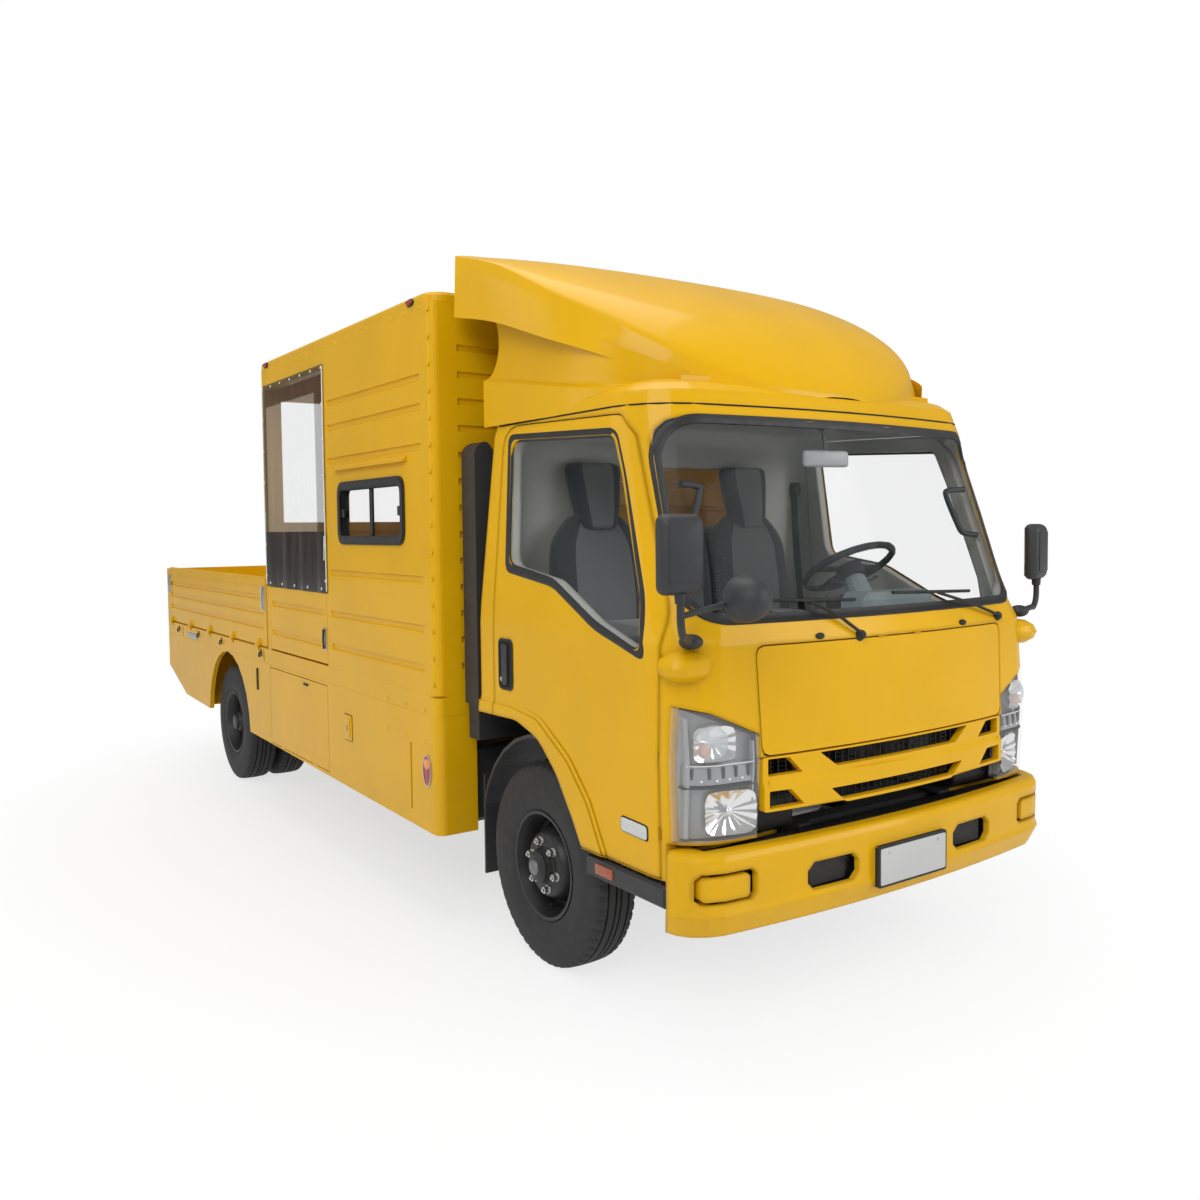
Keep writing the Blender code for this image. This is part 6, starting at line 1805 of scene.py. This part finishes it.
@dataclass(frozen=True)
class Interior:
    """Seats, belts, mirror, dash fittings, levers and pedals of the cab."""

    palette: Palette

    def cushion(self, name: str, centre: Point, size: Point, node: str) -> None:
        """Seat cushion with crowned faces, piped edges and stitched channels.

        Args:
            name: Name of the piece.
            centre: Its middle.
            size: Width, depth and height.
            node: Solid that it stands for.
        """
        lean, radius = 3.0, 0.040
        shape = Shape(self.palette, name, "seat_weave")
        part = bmesh.new()
        bmesh.ops.create_cube(part, size=1.0, matrix=Matrix.Diagonal(Vector(size)).to_4x4())
        bmesh.ops.bevel(part, geom=part.edges[:], offset=radius, segments=4, profile=0.6, affect="EDGES",
                        clamp_overlap=True)
        bmesh.ops.subdivide_edges(part, edges=part.edges[:], cuts=3, use_grid_fill=True)
        half = Vector(size) / 2
        thin = min(range(3), key=lambda axis: size[axis])
        shape.use("seat_panel")
        for face in part.faces:
            face.material_index = 1 if abs(face.calc_center_median().x) < half[0] * 0.52 else 0
        for v in part.verts:
            share = [v.co[k] / half[k] for k in range(3)]
            crown = 1.0
            for k in range(3):
                if k != thin:
                    crown *= max(0.0, 1.0 - share[k] ** 4)
            groove = 0.0
            for line in (-0.52, 0.52):
                groove = max(groove, math.exp(-((share[0] - line) * half[0] / 0.008) ** 2))
            v.co[thin] *= 1.0 + 0.16 * crown - 0.12 * groove * crown
        turn = Matrix.Rotation(math.radians(lean), 4, "X")
        bmesh.ops.transform(part, matrix=Matrix.Translation(Vector(centre)) @ turn, verts=part.verts[:])
        shape.join(part, keep=True)
        piece = shape.done("truck", 60.0)
        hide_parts(node)

    def padding(self, name: str, mid: float, rings: Sequence[Point]) -> None:
        """Upholstery lofted through level rings, with a paler panel between its bolsters.

        Args:
            name: Name of the piece.
            mid: Its middle.
            rings: Height, half width, half depth and y of each ring.
        """
        shape = Shape(self.palette, name, "seat_weave")
        shape.use("seat_panel")
        part = bmesh.new()
        loops, sides = [], 44
        for z, half, deep, y in curve(rings, 5):
            loop = []
            for k in range(sides):
                angle = math.tau * k / sides
                c, d = math.cos(angle), math.sin(angle)
                reach = 1.0 / (abs(c) ** 3.4 + abs(d) ** 3.4) ** (1 / 3.4)
                x = half * c * reach
                seam = math.exp(-((abs(x) - half * 0.60) / 0.007) ** 2) * 0.006 * (d < 0)
                scoop = 0.016 * max(0.0, 1 - (x / (half * 0.62)) ** 4) * (half > 0.16) * (d < 0)
                loop.append(part.verts.new((mid + x, y + deep * d * reach + seam + scoop, z)))
            loops.append(loop)
        for low, high in zip(loops, loops[1:]):
            span = max(abs(v.co.x - mid) for v in low + high)
            for k in range(sides):
                i = (k + 1) % sides
                face = part.faces.new((low[k], low[i], high[i], high[k]))
                inside = abs(face.calc_center_median().x - mid) < span * 0.60 and k > sides // 2
                face.material_index = 1 if inside else 0
        for loop in (loops[0], loops[-1]):
            part.faces.new(loop)
        shape.seal(part, keep=True)
        piece = shape.done("truck", 60.0)

    def seat(self, tag: str, x0: float, x1: float, backs: Sequence[Point], node: str) -> None:
        """One seat: base, cushion, backs and the first back's head restraint.

        Args:
            tag: Start of the pieces' names.
            x0: First side.
            x1: Other side.
            backs: Middle and half width of each back.
            node: Solid that it stands for.
        """
        mid, wide = (x0 + x1) / 2, abs(x1 - x0)
        self.cushion(f"{tag}_cushion", (mid, 0.005, 1.305), (wide, 0.52, 0.135), node)
        for k, (x, half) in enumerate(backs):
            rings = [(1.335, half * 0.92, 0.045, 0.222), (1.380, half * 0.98, 0.060, 0.228),
                     (1.500, half, 0.064, 0.240), (1.640, half * 0.98, 0.062, 0.256),
                     (1.740, half * 0.90, 0.056, 0.268),
                     (1.810, half * 0.70, 0.050, 0.278), (1.850, half * 0.52, 0.042, 0.284),
                     (1.862, half * 0.40, 0.026, 0.286)]
            self.padding(f"{tag}_back_{k}", x, rings)
            if k == 0:
                rings = [(1.800, 0.070, 0.040, 0.258), (1.815, 0.092, 0.052, 0.258),
                         (1.860, 0.104, 0.056, 0.264), (1.960, 0.124, 0.056, 0.280),
                         (2.050, 0.136, 0.052, 0.292), (2.085, 0.130, 0.046, 0.296),
                         (2.098, 0.100, 0.026, 0.298)]
                self.padding(f"{tag}_head_{k}", x, rings)
        base = Shape(self.palette, f"{tag}_base", "soft_black")
        base.box((x0 + 0.03, -0.20, 1.0603), (x1 - 0.03, 0.24, 1.235), 0.012)
        base.box((x0 + 0.006, -0.10, 1.10), (x0 + 0.028, 0.20, 1.25), 0.006)
        base.done("truck")

    def belts(self) -> None:
        """Shoulder belts that hang by the rear pillars, with their reels and buckles."""
        shape = Shape(self.palette, "belts", "belt_web")
        for s in (-1, 1):
            path = [(s * 0.842, 0.332, 1.99), (s * 0.846, 0.322, 1.75), (s * 0.850, 0.300, 1.50),
                    (s * 0.848, 0.270, 1.28), (s * 0.842, 0.255, 1.12)]
            shape.ribbon([[Vector((a + i * 0.0012, b + j * 0.023, c)) for a, b, c in path]
                          for i, j in ((-1, -1), (-1, 1), (1, 1), (1, -1))])
        shape.use("soft_black")
        for s in (-1, 1):
            shape.box((s * 0.834, 0.300, 1.960), (s * 0.866, 0.370, 2.030), 0.010)
            shape.box((s * 0.828, 0.215, 1.062), (s * 0.880, 0.300, 1.150), 0.012)
        shape.done("truck")

    def mirror(self) -> None:
        """Interior mirror on its stalk at the head of the windscreen."""
        shape = Shape(self.palette, "inner_mirror", "frame_black")
        shape.tube([(-0.115, -0.770, 2.215), (-0.115, -0.790, 2.150), (-0.115, -0.800, 2.090)], 0.0065, 10)
        turn = Matrix.Rotation(math.radians(-14), 3, "Z")
        shape.use("lamp_grey")
        shape.box((-0.215, -0.816, 2.028), (-0.015, -0.786, 2.092), 0.014, turn)
        shape.use("bright")
        shape.box((-0.205, -0.7855, 2.034), (-0.025, -0.7840, 2.086), 0.0, turn)
        shape.done("truck")

    def grips(self) -> None:
        """Grab handles on both windscreen pillars."""
        shape = Shape(self.palette, "grab_handles", "frame_black")
        for s in (-1, 1):
            path = [(s * 0.800, -0.757, 1.955), (s * 0.715, -0.742, 1.950), (s * 0.700, -0.742, 1.925),
                    (s * 0.757, -0.760, 1.800), (s * 0.786, -0.768, 1.765), (s * 0.850, -0.790, 1.755)]
            shape.tube(curve(path, 6), 0.0125, 12)
        shape.done("truck")

    def dash(self) -> None:
        """Air vents, blank switch panels, instrument hood, levers and pedals."""
        shape = Shape(self.palette, "dash_fittings", "soft_black")
        skin = Skin("dashboard")
        for x in (-0.74, -0.30, 0.06, 0.76):
            front = skin.hit((x, 0.20, 1.395), (0, -1, 0)).y
            shape.box((x - 0.062, front - 0.010, 1.362), (x + 0.062, front + 0.003, 1.424), 0.006)
            shape.use("dash_dark")
            for k in range(4):
                z = 1.372 + k * 0.0135
                shape.box((x - 0.054, front, z), (x + 0.054, front + 0.007, z + 0.003))
            shape.use("soft_black")
        front = skin.hit((-0.12, 0.20, 1.30), (0, -1, 0)).y
        shape.box((-0.235, front - 0.006, 1.195), (-0.015, front + 0.004, 1.335), 0.008)
        shape.use("trim_grey")
        for k in range(3):
            x = -0.190 + k * 0.065
            shape.lathe([(0.0, 0.0), (0.0, 0.017), (0.014, 0.014), (0.016, 0.0)], (x, front + 0.004, 1.225),
                        (0, 1, 0.1), 20)
        shape.use("lamp_dark")
        shape.box((-0.205, front + 0.003, 1.262), (-0.045, front + 0.007, 1.318), 0.003)
        face = skin.hit((0.44, 0.20, 1.455), (0, -1, 0)).y
        shape.box((0.27, face - 0.004, 1.405), (0.61, face + 0.003, 1.500), 0.012)
        shape.use("white_mark")
        for x in (0.365, 0.515):
            shape.lathe([(0.0, 0.033), (0.0, 0.036), (0.0015, 0.036), (0.0015, 0.033)],
                        (x, face + 0.003, 1.452),
                        (0, 1, 0), 32)
        for x in (0.365, 0.515):
            shape.bar((x, face + 0.0045, 1.452), (x + 0.016, face + 0.0045, 1.468), 0.0012, None, 6)
        shape.use("soft_black")
        shape.tube([(0.02, -0.330, 1.060), (0.02, -0.340, 1.200), (0.01, -0.350, 1.400)], 0.009, 10)
        shape.ball((0.01, -0.351, 1.415), (0.024, 0.024, 0.030), 18)
        shape.lathe([(0.0, 0.0), (0.0, 0.060), (0.030, 0.045), (0.070, 0.018), (0.072, 0.0)],
                    (0.02, -0.330, 1.061),
                    (0, 0, 1), 24)
        for x in (0.30, 0.42, 0.58):
            shape.tube([(x, -0.790, 1.290), (x, -0.760, 1.180), (x, -0.705, 1.135)], 0.007, 8)
            shape.box((x - 0.028, -0.735, 1.098), (x + 0.028, -0.690, 1.148), 0.006,
                      Matrix.Rotation(0.9, 3, "X"))
        for s in (-1, 1):
            side = 0.44 + s * 0.06
            shape.tube([(side, -0.455, 1.545), (0.44 + s * 0.155, -0.445, 1.570)], 0.007, 8)
        shape.done("truck")

    def build(self) -> None:
        """Every fitting of the cab's inside."""
        self.seat("driver", 0.19, 0.70, [(0.445, 0.245)], "driver_seat")
        low, high = (corner.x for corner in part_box("passenger_bench"))
        wide = abs(high - low)
        backs = [(low + wide * 0.29, wide * 0.288), (low + wide * 0.79, wide * 0.208)]
        self.seat("bench", low, high, backs, "passenger_bench")
        self.belts()
        self.mirror()
        self.grips()
        self.dash()


@dataclass(frozen=True)
class Cabin:
    """Window panes, catches, rivets and lamps of the heating cabin."""

    palette: Palette
    half: float = BODY_HALF
    window_low: tuple[float, float] = (0.940, 1.730)
    window_high: tuple[float, float] = (1.800, 2.060)

    def window(self, side: Side) -> None:
        """Sliding panes, their bars and catches, and the drip hood above.

        Args:
            side: Side of the truck.
        """
        s, letter = side.value, side.letter
        (y0, z0), (y1, z1) = self.window_low, self.window_high
        mid = (y0 + y1) / 2
        x = self.half
        shape = Shape(self.palette, f"window_{letter}", "seal_black")
        lip, crest, slope, throat, hole = (
            panel((y0 + inset, z0 + inset), (y1 - inset, z1 - inset), radius) for inset, radius in
            ((0.0, 0.075), (0.010, 0.066), (0.038, 0.042), (0.0305, 0.050), (0.045, 0.035)))
        shape.frame(s, x, lip, hole, 0.0006, 0.0080)
        shape.frame(s, x, crest, slope, 0.0080, 0.0110)
        shape.frame(s, x, throat, hole, -0.040, 0.0050)
        shape.use("window_pane")
        shape.inlay(s, x, hole, -0.030, -0.025)
        shape.use("seal_black")
        for a in (mid - 0.018, mid + 0.002):
            shape.box((s * (x - 0.018), a, z0 + 0.042), (s * (x - 0.006), a + 0.016, z1 - 0.042), 0.002)
        for a in (y0 + 0.055, y1 - 0.085):
            shape.box((s * (x - 0.014), a, 1.872), (s * (x + 0.004), a + 0.030, 1.918), 0.004)
        piece = shape.done("truck")
        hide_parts(f"side_window_{letter}")
        hood = Shape(self.palette, f"drip_hood_{letter}", "body_yellow")
        hood.prism([(s * x, 2.128), (s * (x + 0.026), 2.122), (s * (x + 0.026), 2.132), (s * x, 2.142)],
                   "Y", y0 - 0.03, y1 + 0.02)
        hood.done("truck")

    def rivets(self, side: Side) -> None:
        """Round rivets along the panel seams and the corner plate.

        Args:
            side: Side of the truck.
        """
        s, letter = side.value, side.letter
        shape = Shape(self.palette, f"rivets_{letter}", "body_yellow")
        spots = [(y, z) for y in spread(0.765, 1.185, 3) for z in (0.828, 0.975)]
        spots += [(0.665, z) for z in spread(1.10, 2.78, 15)]
        spots += [(3.075, z) for z in spread(1.10, 2.78, 15)]
        spots += [(y, 2.800) for y in spread(0.75, 3.0, 16)]
        for y, z in spots:
            shape.lathe([(0.0, 0.0), (0.0, 0.0095), (0.0026, 0.0080), (0.0046, 0.0045), (0.0052, 0.0)],
                        (s * self.half, y, z), (s, 0, 0), 14)
        shape.done("truck")

    def marks(self, side: Side) -> None:
        """Marker lamps on the roof edge.

        Args:
            side: Side of the truck.
        """
        s, letter = side.value, side.letter
        shape = Shape(self.palette, f"marker_lamps_{letter}", "soft_black")
        for y in (0.835, 2.985):
            shape.ball((s * (self.half + 0.002), y, 2.838), (0.012, 0.040, 0.018), 20)
        shape.use("red_lens")
        for y in (0.835, 2.985):
            shape.ball((s * (self.half + 0.007), y, 2.838), (0.013, 0.032, 0.013), 20)
        shape.done("truck")

    def corner_lamp(self, side: Side) -> None:
        """Oval lamp in a bright rim, low at the front corner of the skirt.

        Args:
            side: Side of the truck.
        """
        s, letter = side.value, side.letter
        skin = Skin(f"skirt_{letter}")
        x = skin.width(s, 0.74, 0.696)
        shape = Shape(self.palette, f"corner_lamp_{letter}", "zinc")
        middle = (0.742, 0.697)
        shape.frame(s, x, oval(middle, (0.042, 0.074), 32), oval(middle, (0.036, 0.068), 32), -0.002, 0.008)
        shape.use("red_lens")
        shape.inlay(s, x, oval(middle, (0.037, 0.069), 32), -0.001, 0.0065, 0.003)
        shape.use("amber")
        shape.inlay(s, x, oval((0.742, 0.728), (0.030, 0.024), 24), 0.006, 0.0085, 0.001)
        shape.use("seam_black")
        slot = skin.width(s, 0.926, 0.64)
        shape.plaque(s, slot, (0.916, 0.484), (0.936, 0.800), 0.006, 0.0002, 0.0016)
        shape.done("truck")

    def latch(self, shape: Shape, s: int, x: float, y: float, z: float) -> None:
        """Paddle latch: a dished plate with a folding handle and a lock.

        Args:
            shape: Piece that takes it.
            s: Sign of the side.
            x: Skin's distance from the middle.
            y: Its middle.
            z: Its middle.
        """
        shape.use("seam_black")
        shape.plaque(s, x, (y - 0.056, z - 0.072), (y + 0.056, z + 0.072), 0.012, 0.0002, 0.0010)
        shape.use("body_yellow")
        shape.plaque(s, x, (y - 0.052, z - 0.068), (y + 0.052, z + 0.068), 0.010, 0.0006, 0.0042, 0.002)
        shape.plaque(s, x, (y - 0.030, z - 0.050), (y + 0.030, z + 0.050), 0.008, 0.0040, 0.0085, 0.003)
        shape.use("soft_black")
        shape.plaque(s, x, (y - 0.004, z - 0.018), (y + 0.004, z + 0.016), 0.003, 0.0080, 0.0092)

    def skirt_fittings(self, side: Side) -> None:
        """Latches, small hinges, slot and catches of the skirt and locker.

        Args:
            side: Side of the truck.
        """
        s, letter = side.value, side.letter
        skin = Skin(f"skirt_{letter}")
        shape = Shape(self.palette, f"skirt_fittings_{letter}", "soft_black")
        x = skin.width(s, 1.72, 0.75)
        self.latch(shape, s, x, 1.725, 0.750)
        shape.use("soft_black")
        x2 = skin.width(s, 0.926, 0.64)
        shape.plaque(s, x2, (0.917, 0.483), (0.935, 0.800), 0.009, 0.0002, 0.0022)
        for z in (0.745, 0.830):
            shape.box((s * x2, 0.690, z), (s * (x2 + 0.006), 0.712, z + 0.030), 0.002)
        shape.use("lamp_grey")
        shape.plaque(s, self.half, (4.900, 0.965), (5.200, 1.005), 0.006, 0.0003, 0.0045, 0.001)
        shape.use("soft_black")
        shape.plaque(s, x, (3.325, 0.760), (3.350, 0.905), 0.008, 0.0002, 0.0075, 0.002)
        for y in (3.190, 4.905, 5.360):
            shape.box((s * (self.half + 0.0002), y, 0.958), (s * (self.half + 0.0012), y + 0.004, 1.044))
        shape.done("truck")
        door = Shape(self.palette, f"locker_grip_{letter}", "soft_black")
        x3 = Skin(f"locker_door_{letter}").width(s, 2.40, 0.90)
        door.plaque(s, x3, (2.350, 0.898), (2.425, 0.912), 0.005, 0.0002, 0.0060, 0.002)
        door.done(f"locker_{letter}")

    def gate_latch(self, side: Side) -> None:
        """Sliding bolt on the front edge of the half gate.

        Args:
            side: Side of the truck.
        """
        s, letter = side.value, side.letter
        x = Skin(f"half_gate_{letter}").width(s, 2.08, 1.20)
        shape = Shape(self.palette, f"gate_latch_{letter}", "zinc")
        shape.plaque(s, x, (2.026, 1.135), (2.074, 1.265), 0.006, 0.0002, 0.004, 0.001)
        shape.use("soft_black")
        shape.tube([(s * (x + 0.010), 2.050, 1.145), (s * (x + 0.012), 2.050, 1.200),
                    (s * (x + 0.010), 2.050, 1.255)],
                   0.006, 10)
        shape.done(f"gate_{letter}")

    def build(self) -> None:
        """Every fitting of both sides."""
        for side in Side:
            self.window(side)
            self.rivets(side)
            self.marks(side)
            self.corner_lamp(side)
            self.skirt_fittings(side)
            self.gate_latch(side)


@dataclass(frozen=True)
class Curtains:
    """Clear vinyl curtains that hang in the side openings."""

    palette: Palette
    front: float = 1.985
    rear: float = 3.065
    low: float = 1.459
    high: float = 2.716
    face: float = 1.0925

    SNAP: ClassVar[list[Point]] = [(0.0, 0.0), (0.0, 0.0075), (0.0025, 0.0065), (0.0032, 0.0)]
    EYELET: ClassVar[list[Point]] = [(0.0, 0.0), (0.0, 0.0085), (0.0025, 0.0070), (0.0034, 0.0)]

    def wave(self, across: float, down: float) -> float:
        """How far the sheet stands off its plane.

        Args:
            across: Share of the width from the front edge.
            down: Share of the height from the top.

        Returns:
            The offset in metres, outwards.
        """
        ease = math.sin(math.pi * min(1.0, across * 1.02)) ** 0.5 if 0 < across < 1 else 0.0
        folds = (0.0035 * math.sin(across * 21.0 + down * 1.4)
                 + 0.0020 * math.sin(across * 47.0 - down * 3.1))
        return folds * ease * (0.35 + 0.65 * down)

    def sheet(self, side: Side) -> None:
        """The sheet itself with its bands, snaps, hem and tie strap.

        Args:
            side: Side of the truck.
        """
        s, letter = side.value, side.letter
        across, down = 72, 84
        part = bmesh.new()
        rows = []
        for i in range(down + 1):
            z = self.high - (self.high - self.low) * i / down
            rows.append([part.verts.new((s * (self.face + 0.003 + self.wave(j / across, i / down)),
                                         self.front + (self.rear - self.front) * j / across, z))
                         for j in range(across + 1)])
        bridge(part, rows)
        bmesh.ops.solidify(part, geom=part.faces[:], thickness=0.0008)
        shape = Shape(self.palette, f"curtain_sheet_{letter}", "clear_vinyl")
        shape.join(part)
        cloth = shape.done("truck", 80.0)
        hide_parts(f"curtain_{letter}")
        trim = Shape(self.palette, f"curtain_trim_{letter}", "white_plastic")
        x = self.face + 0.006
        spots = [(y, self.high - 0.020 - k * 0.195) for k in range(7)
                 for y in (self.front + 0.016, self.rear - 0.016)]
        spots += [(self.front + 0.18 * k, self.high - 0.020) for k in range(1, 6)]
        for y, z in spots:
            trim.lathe(self.SNAP, (s * x, y, z), (s, 0, 0), 14)
        for k in range(5):
            trim.lathe(self.EYELET, (s * x, self.front + 0.08 + 0.23 * k, self.low + 0.022), (s, 0, 0), 14)
        for y in (self.front + 0.004, self.rear - 0.004):
            trim.tube([(s * (x - 0.001), y, self.low + 0.01),
                       (s * (x + 0.001), y, (self.low + self.high) / 2),
                       (s * (x - 0.001), y, self.high - 0.01)], 0.0035, 6)
        strap = [(self.front + 0.010, 1.775), (self.front + 0.022, 1.775), (self.front + 0.030, 1.640),
                 (self.front + 0.018, 1.640)]
        trim.inlay(s, x, strap, 0.002, 0.0032)
        trim.done("truck")
        self.rear - self.front

    def build(self) -> None:
        """Both curtains."""
        for side in Side:
            self.sheet(side)


@dataclass(frozen=True)
class Bed:
    """Latches, rope hooks, rim rails and rear lamps of the open bed."""

    palette: Palette
    half: float = BODY_HALF

    def side_fittings(self, side: Side) -> None:
        """Over-centre latches, hooks and the rail on a dropside.

        Args:
            side: Side of the truck.
        """
        s, letter = side.value, side.letter
        x = Skin(f"dropside_{letter}").width(s, 3.30, 1.36)
        shape = Shape(self.palette, f"dropside_fittings_{letter}", "zinc")
        for y in (3.165, 5.765):
            shape.plaque(s, x, (y - 0.022, 1.290), (y + 0.022, 1.470), 0.008, 0.0002, 0.0045, 0.001)
            shape.tube([(s * (x + 0.012), y, 1.300), (s * (x + 0.018), y, 1.380),
                        (s * (x + 0.012), y, 1.455)],
                       0.0065, 10)
            shape.bar((s * (x + 0.002), y - 0.014, 1.445), (s * (x + 0.002), y + 0.014, 1.445), 0.008,
                      None, 16)
        shape.use("body_yellow")
        shape.tube([(s * (x - 0.018), 3.135, 1.500), (s * (x - 0.018), 4.46, 1.500),
                    (s * (x - 0.018), 5.795, 1.500)],
                   0.012, 12)
        shape.done(f"flap_{letter}")
        hooks = Shape(self.palette, f"rope_hooks_{letter}", "soft_black")
        for y in (3.250, 4.200, 4.850, 5.480):
            hooks.tube([(s * self.half, y, 1.016), (s * (self.half + 0.012), y, 1.016),
                        (s * (self.half + 0.016), y, 1.000), (s * (self.half + 0.012), y, 0.986)], 0.006, 8)
            hooks.plaque(s, self.half, (y - 0.014, 0.992), (y + 0.014, 1.036), 0.004, 0.0002, 0.003)
        hooks.done("truck")

    def rear_lamps(self) -> None:
        """Rear lamp clusters on the bar and a blank plate."""
        shape = Shape(self.palette, "rear_lamps", "soft_black")
        low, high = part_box("rear_lamp_bar")
        rear, mid = high.y + AXLE_Y, (low.z + high.z) / 2
        outer = min(abs(high.x), 0.98) - 0.02
        for s in (-1, 1):
            shape.use("soft_black")
            shape.box((s * (outer - 0.36), rear - 0.004, mid - 0.050),
                      (s * outer, rear + 0.010, mid + 0.050), 0.006)
            for k, finish in enumerate(("amber", "red_lens", "reflector_white")):
                shape.use(finish)
                a = outer - 0.012 - 0.115 * k
                shape.box((s * (a - 0.108), rear + 0.006, mid - 0.042),
                          (s * a, rear + 0.016, mid + 0.042), 0.005)
        shape.use("plate_grey")
        shape.box((-0.20, rear - 0.002, mid - 0.050), (0.20, rear + 0.004, mid + 0.050), 0.003)
        shape.done("truck")

    def tailgate_fittings(self) -> None:
        """Latches of the tailgate."""
        skin = Skin("tailgate")
        rear = skin.hit((0.3, 8.0, 1.30), (0, -1, 0)).y
        shape = Shape(self.palette, "tailgate_fittings", "zinc")
        for s in (-1, 1):
            shape.box((s * 1.010, rear - 0.001, 1.330), (s * 1.052, rear + 0.004, 1.470), 0.002)
            shape.tube([(s * 1.031, rear + 0.008, 1.340), (s * 1.031, rear + 0.012, 1.400),
                        (s * 1.031, rear + 0.008, 1.460)], 0.006, 10)
        shape.done("tail_flap")

    def build(self) -> None:
        """Every fitting of the bed."""
        for side in Side:
            self.side_fittings(side)
        self.rear_lamps()
        self.tailgate_fittings()


@dataclass
class Studio:
    """Pale floor, soft lights and the camera of the reference view."""

    focal_px: float = 1050.913
    centre: tuple[float, float] = (612.896, 580.517)
    yaw: float = 35.123
    pitch: float = 2.835
    roll: float = -0.594
    eye: tuple[float, float, float] = (-3.139, -3.663, 1.800)
    frame_px: float = 1200.0

    def camera(self) -> None:
        """Place the camera."""
        data = bpy.data.cameras.new("view")
        data.sensor_width = 36.0
        data.lens = self.focal_px / self.frame_px * 36.0
        data.shift_x = (self.frame_px / 2 - self.centre[0]) / self.frame_px
        data.shift_y = (self.centre[1] - self.frame_px / 2) / self.frame_px
        data.clip_start, data.clip_end = 0.05, 200.0
        yaw, pitch, roll = (math.radians(v) for v in (self.yaw, self.pitch, self.roll))
        ahead = Vector((math.sin(yaw) * math.cos(pitch), math.cos(yaw) * math.cos(pitch), -math.sin(pitch)))
        right = Vector((math.cos(yaw), -math.sin(yaw), 0.0))
        up = right.cross(ahead)
        right_2 = math.cos(roll) * right + math.sin(roll) * up
        up_2 = -math.sin(roll) * right + math.cos(roll) * up
        camera = bpy.data.objects.new("view", data)
        bpy.context.scene.collection.objects.link(camera)
        turn = Matrix((right_2, up_2, -ahead)).transposed().to_4x4()
        camera.matrix_world = Matrix.Translation(at(*self.eye)) @ turn
        bpy.context.scene.camera = camera

    def floor(self) -> None:
        """Plain pale floor that keeps the shadow."""
        sheet = Sheet("floor_white")
        path = sheet.add("ShaderNodeLightPath", {}, {})
        seen = Value(sheet, path.outputs["Is Camera Ray"])
        seen = seen.most(Value(sheet, path.outputs["Is Glossy Ray"]))
        seen = seen.most(Value(sheet, path.outputs["Is Transmission Ray"]))
        sheet.set(Base_Color=(0.86, 0.86, 0.86), Roughness=0.95, Specular_IOR_Level=0.0)
        x, y, z = sheet.place()
        away = sheet.root(x * x + y * y * 0.55)
        white = sheet.add("ShaderNodeEmission", {}, {"Color": (1, 1, 1, 1), "Strength": 1.0})
        share = (0.66 + away.ramp(1.0, 3.6) * 0.34) * seen
        blend = sheet.add("ShaderNodeMixShader", {}, {0: share, 1: sheet.shader.outputs[0],
                                                      2: white.outputs[0]})
        sheet.tree.links.new(blend.outputs[0], sheet.tree.nodes["Material Output"].inputs["Surface"])
        mesh = bpy.data.meshes.new("floor")
        bm = bmesh.new()
        bmesh.ops.create_grid(bm, x_segments=4, y_segments=4, size=30.0)
        bm.to_mesh(mesh)
        bm.free()
        mesh.materials.append(sheet.material)
        floor = bpy.data.objects.new("floor", mesh)
        floor.location = (0, 0, -0.002)
        bpy.context.scene.collection.objects.link(floor)

    def light(self, name: str, spot: Point, aim: Point, size: float, power: float) -> None:
        """One large soft lamp.

        Args:
            name: The lamp's name.
            spot: Where it hangs.
            aim: What it points at.
            size: Its width.
            power: Its watts.
        """
        data = bpy.data.lights.new(name, "AREA")
        data.size, data.energy = size, power
        lamp = bpy.data.objects.new(name, data)
        lamp.location = spot
        lamp.rotation_euler = (Vector(aim) - Vector(spot)).to_track_quat("-Z", "Y").to_euler()
        bpy.context.scene.collection.objects.link(lamp)

    def world(self) -> None:
        """Even pale surroundings."""
        world = bpy.data.worlds.new("studio")
        world.use_nodes = True
        tree = world.node_tree
        back = tree.nodes["Background"]
        back.inputs[0].default_value = (1, 1, 1, 1)
        path = tree.nodes.new("ShaderNodeLightPath")
        seen = tree.nodes.new("ShaderNodeMath")
        seen.operation = "MAXIMUM"
        tree.links.new(path.outputs["Is Camera Ray"], seen.inputs[0])
        tree.links.new(path.outputs["Is Transmission Ray"], seen.inputs[1])
        scale = tree.nodes.new("ShaderNodeMapRange")
        scale.inputs["To Min"].default_value = 0.36
        scale.inputs["To Max"].default_value = 1.0
        tree.links.new(seen.outputs[0], scale.inputs["Value"])
        tree.links.new(scale.outputs[0], back.inputs[1])
        bpy.context.scene.world = world

    def build(self) -> None:
        """Set the whole studio."""
        bpy.context.scene.view_settings.view_transform = "Standard"
        self.world()
        self.floor()
        self.light("key", (-7.0, -7.5, 7.0), (0, -1.0, 1.2), 5.0, 470.0)
        self.light("top", (-0.5, -0.5, 8.5), (0, 0, 1.5), 6.0, 300.0)
        self.light("fill", (-8.5, 3.0, 4.5), (0, 0.5, 1.3), 5.0, 130.0)
        self.light("front", (4.0, -9.0, 4.0), (0, -2.5, 1.2), 4.0, 250.0)
        self.camera()
        LOG.info("studio")


def main() -> None:
    """Build every assembly in order."""
    logging.basicConfig(level=logging.INFO, format="%(name)s: %(message)s")
    palette = Palette()
    Dresser(palette).dress_all()
    for assembly in (Wheels, CabFront, CabSides, Deflector, Interior, Cabin, Curtains, Bed):
        assembly(palette).build()
        LOG.info("%s built", assembly.__name__)
    Studio().build()


if __name__ == "__main__":
    main()
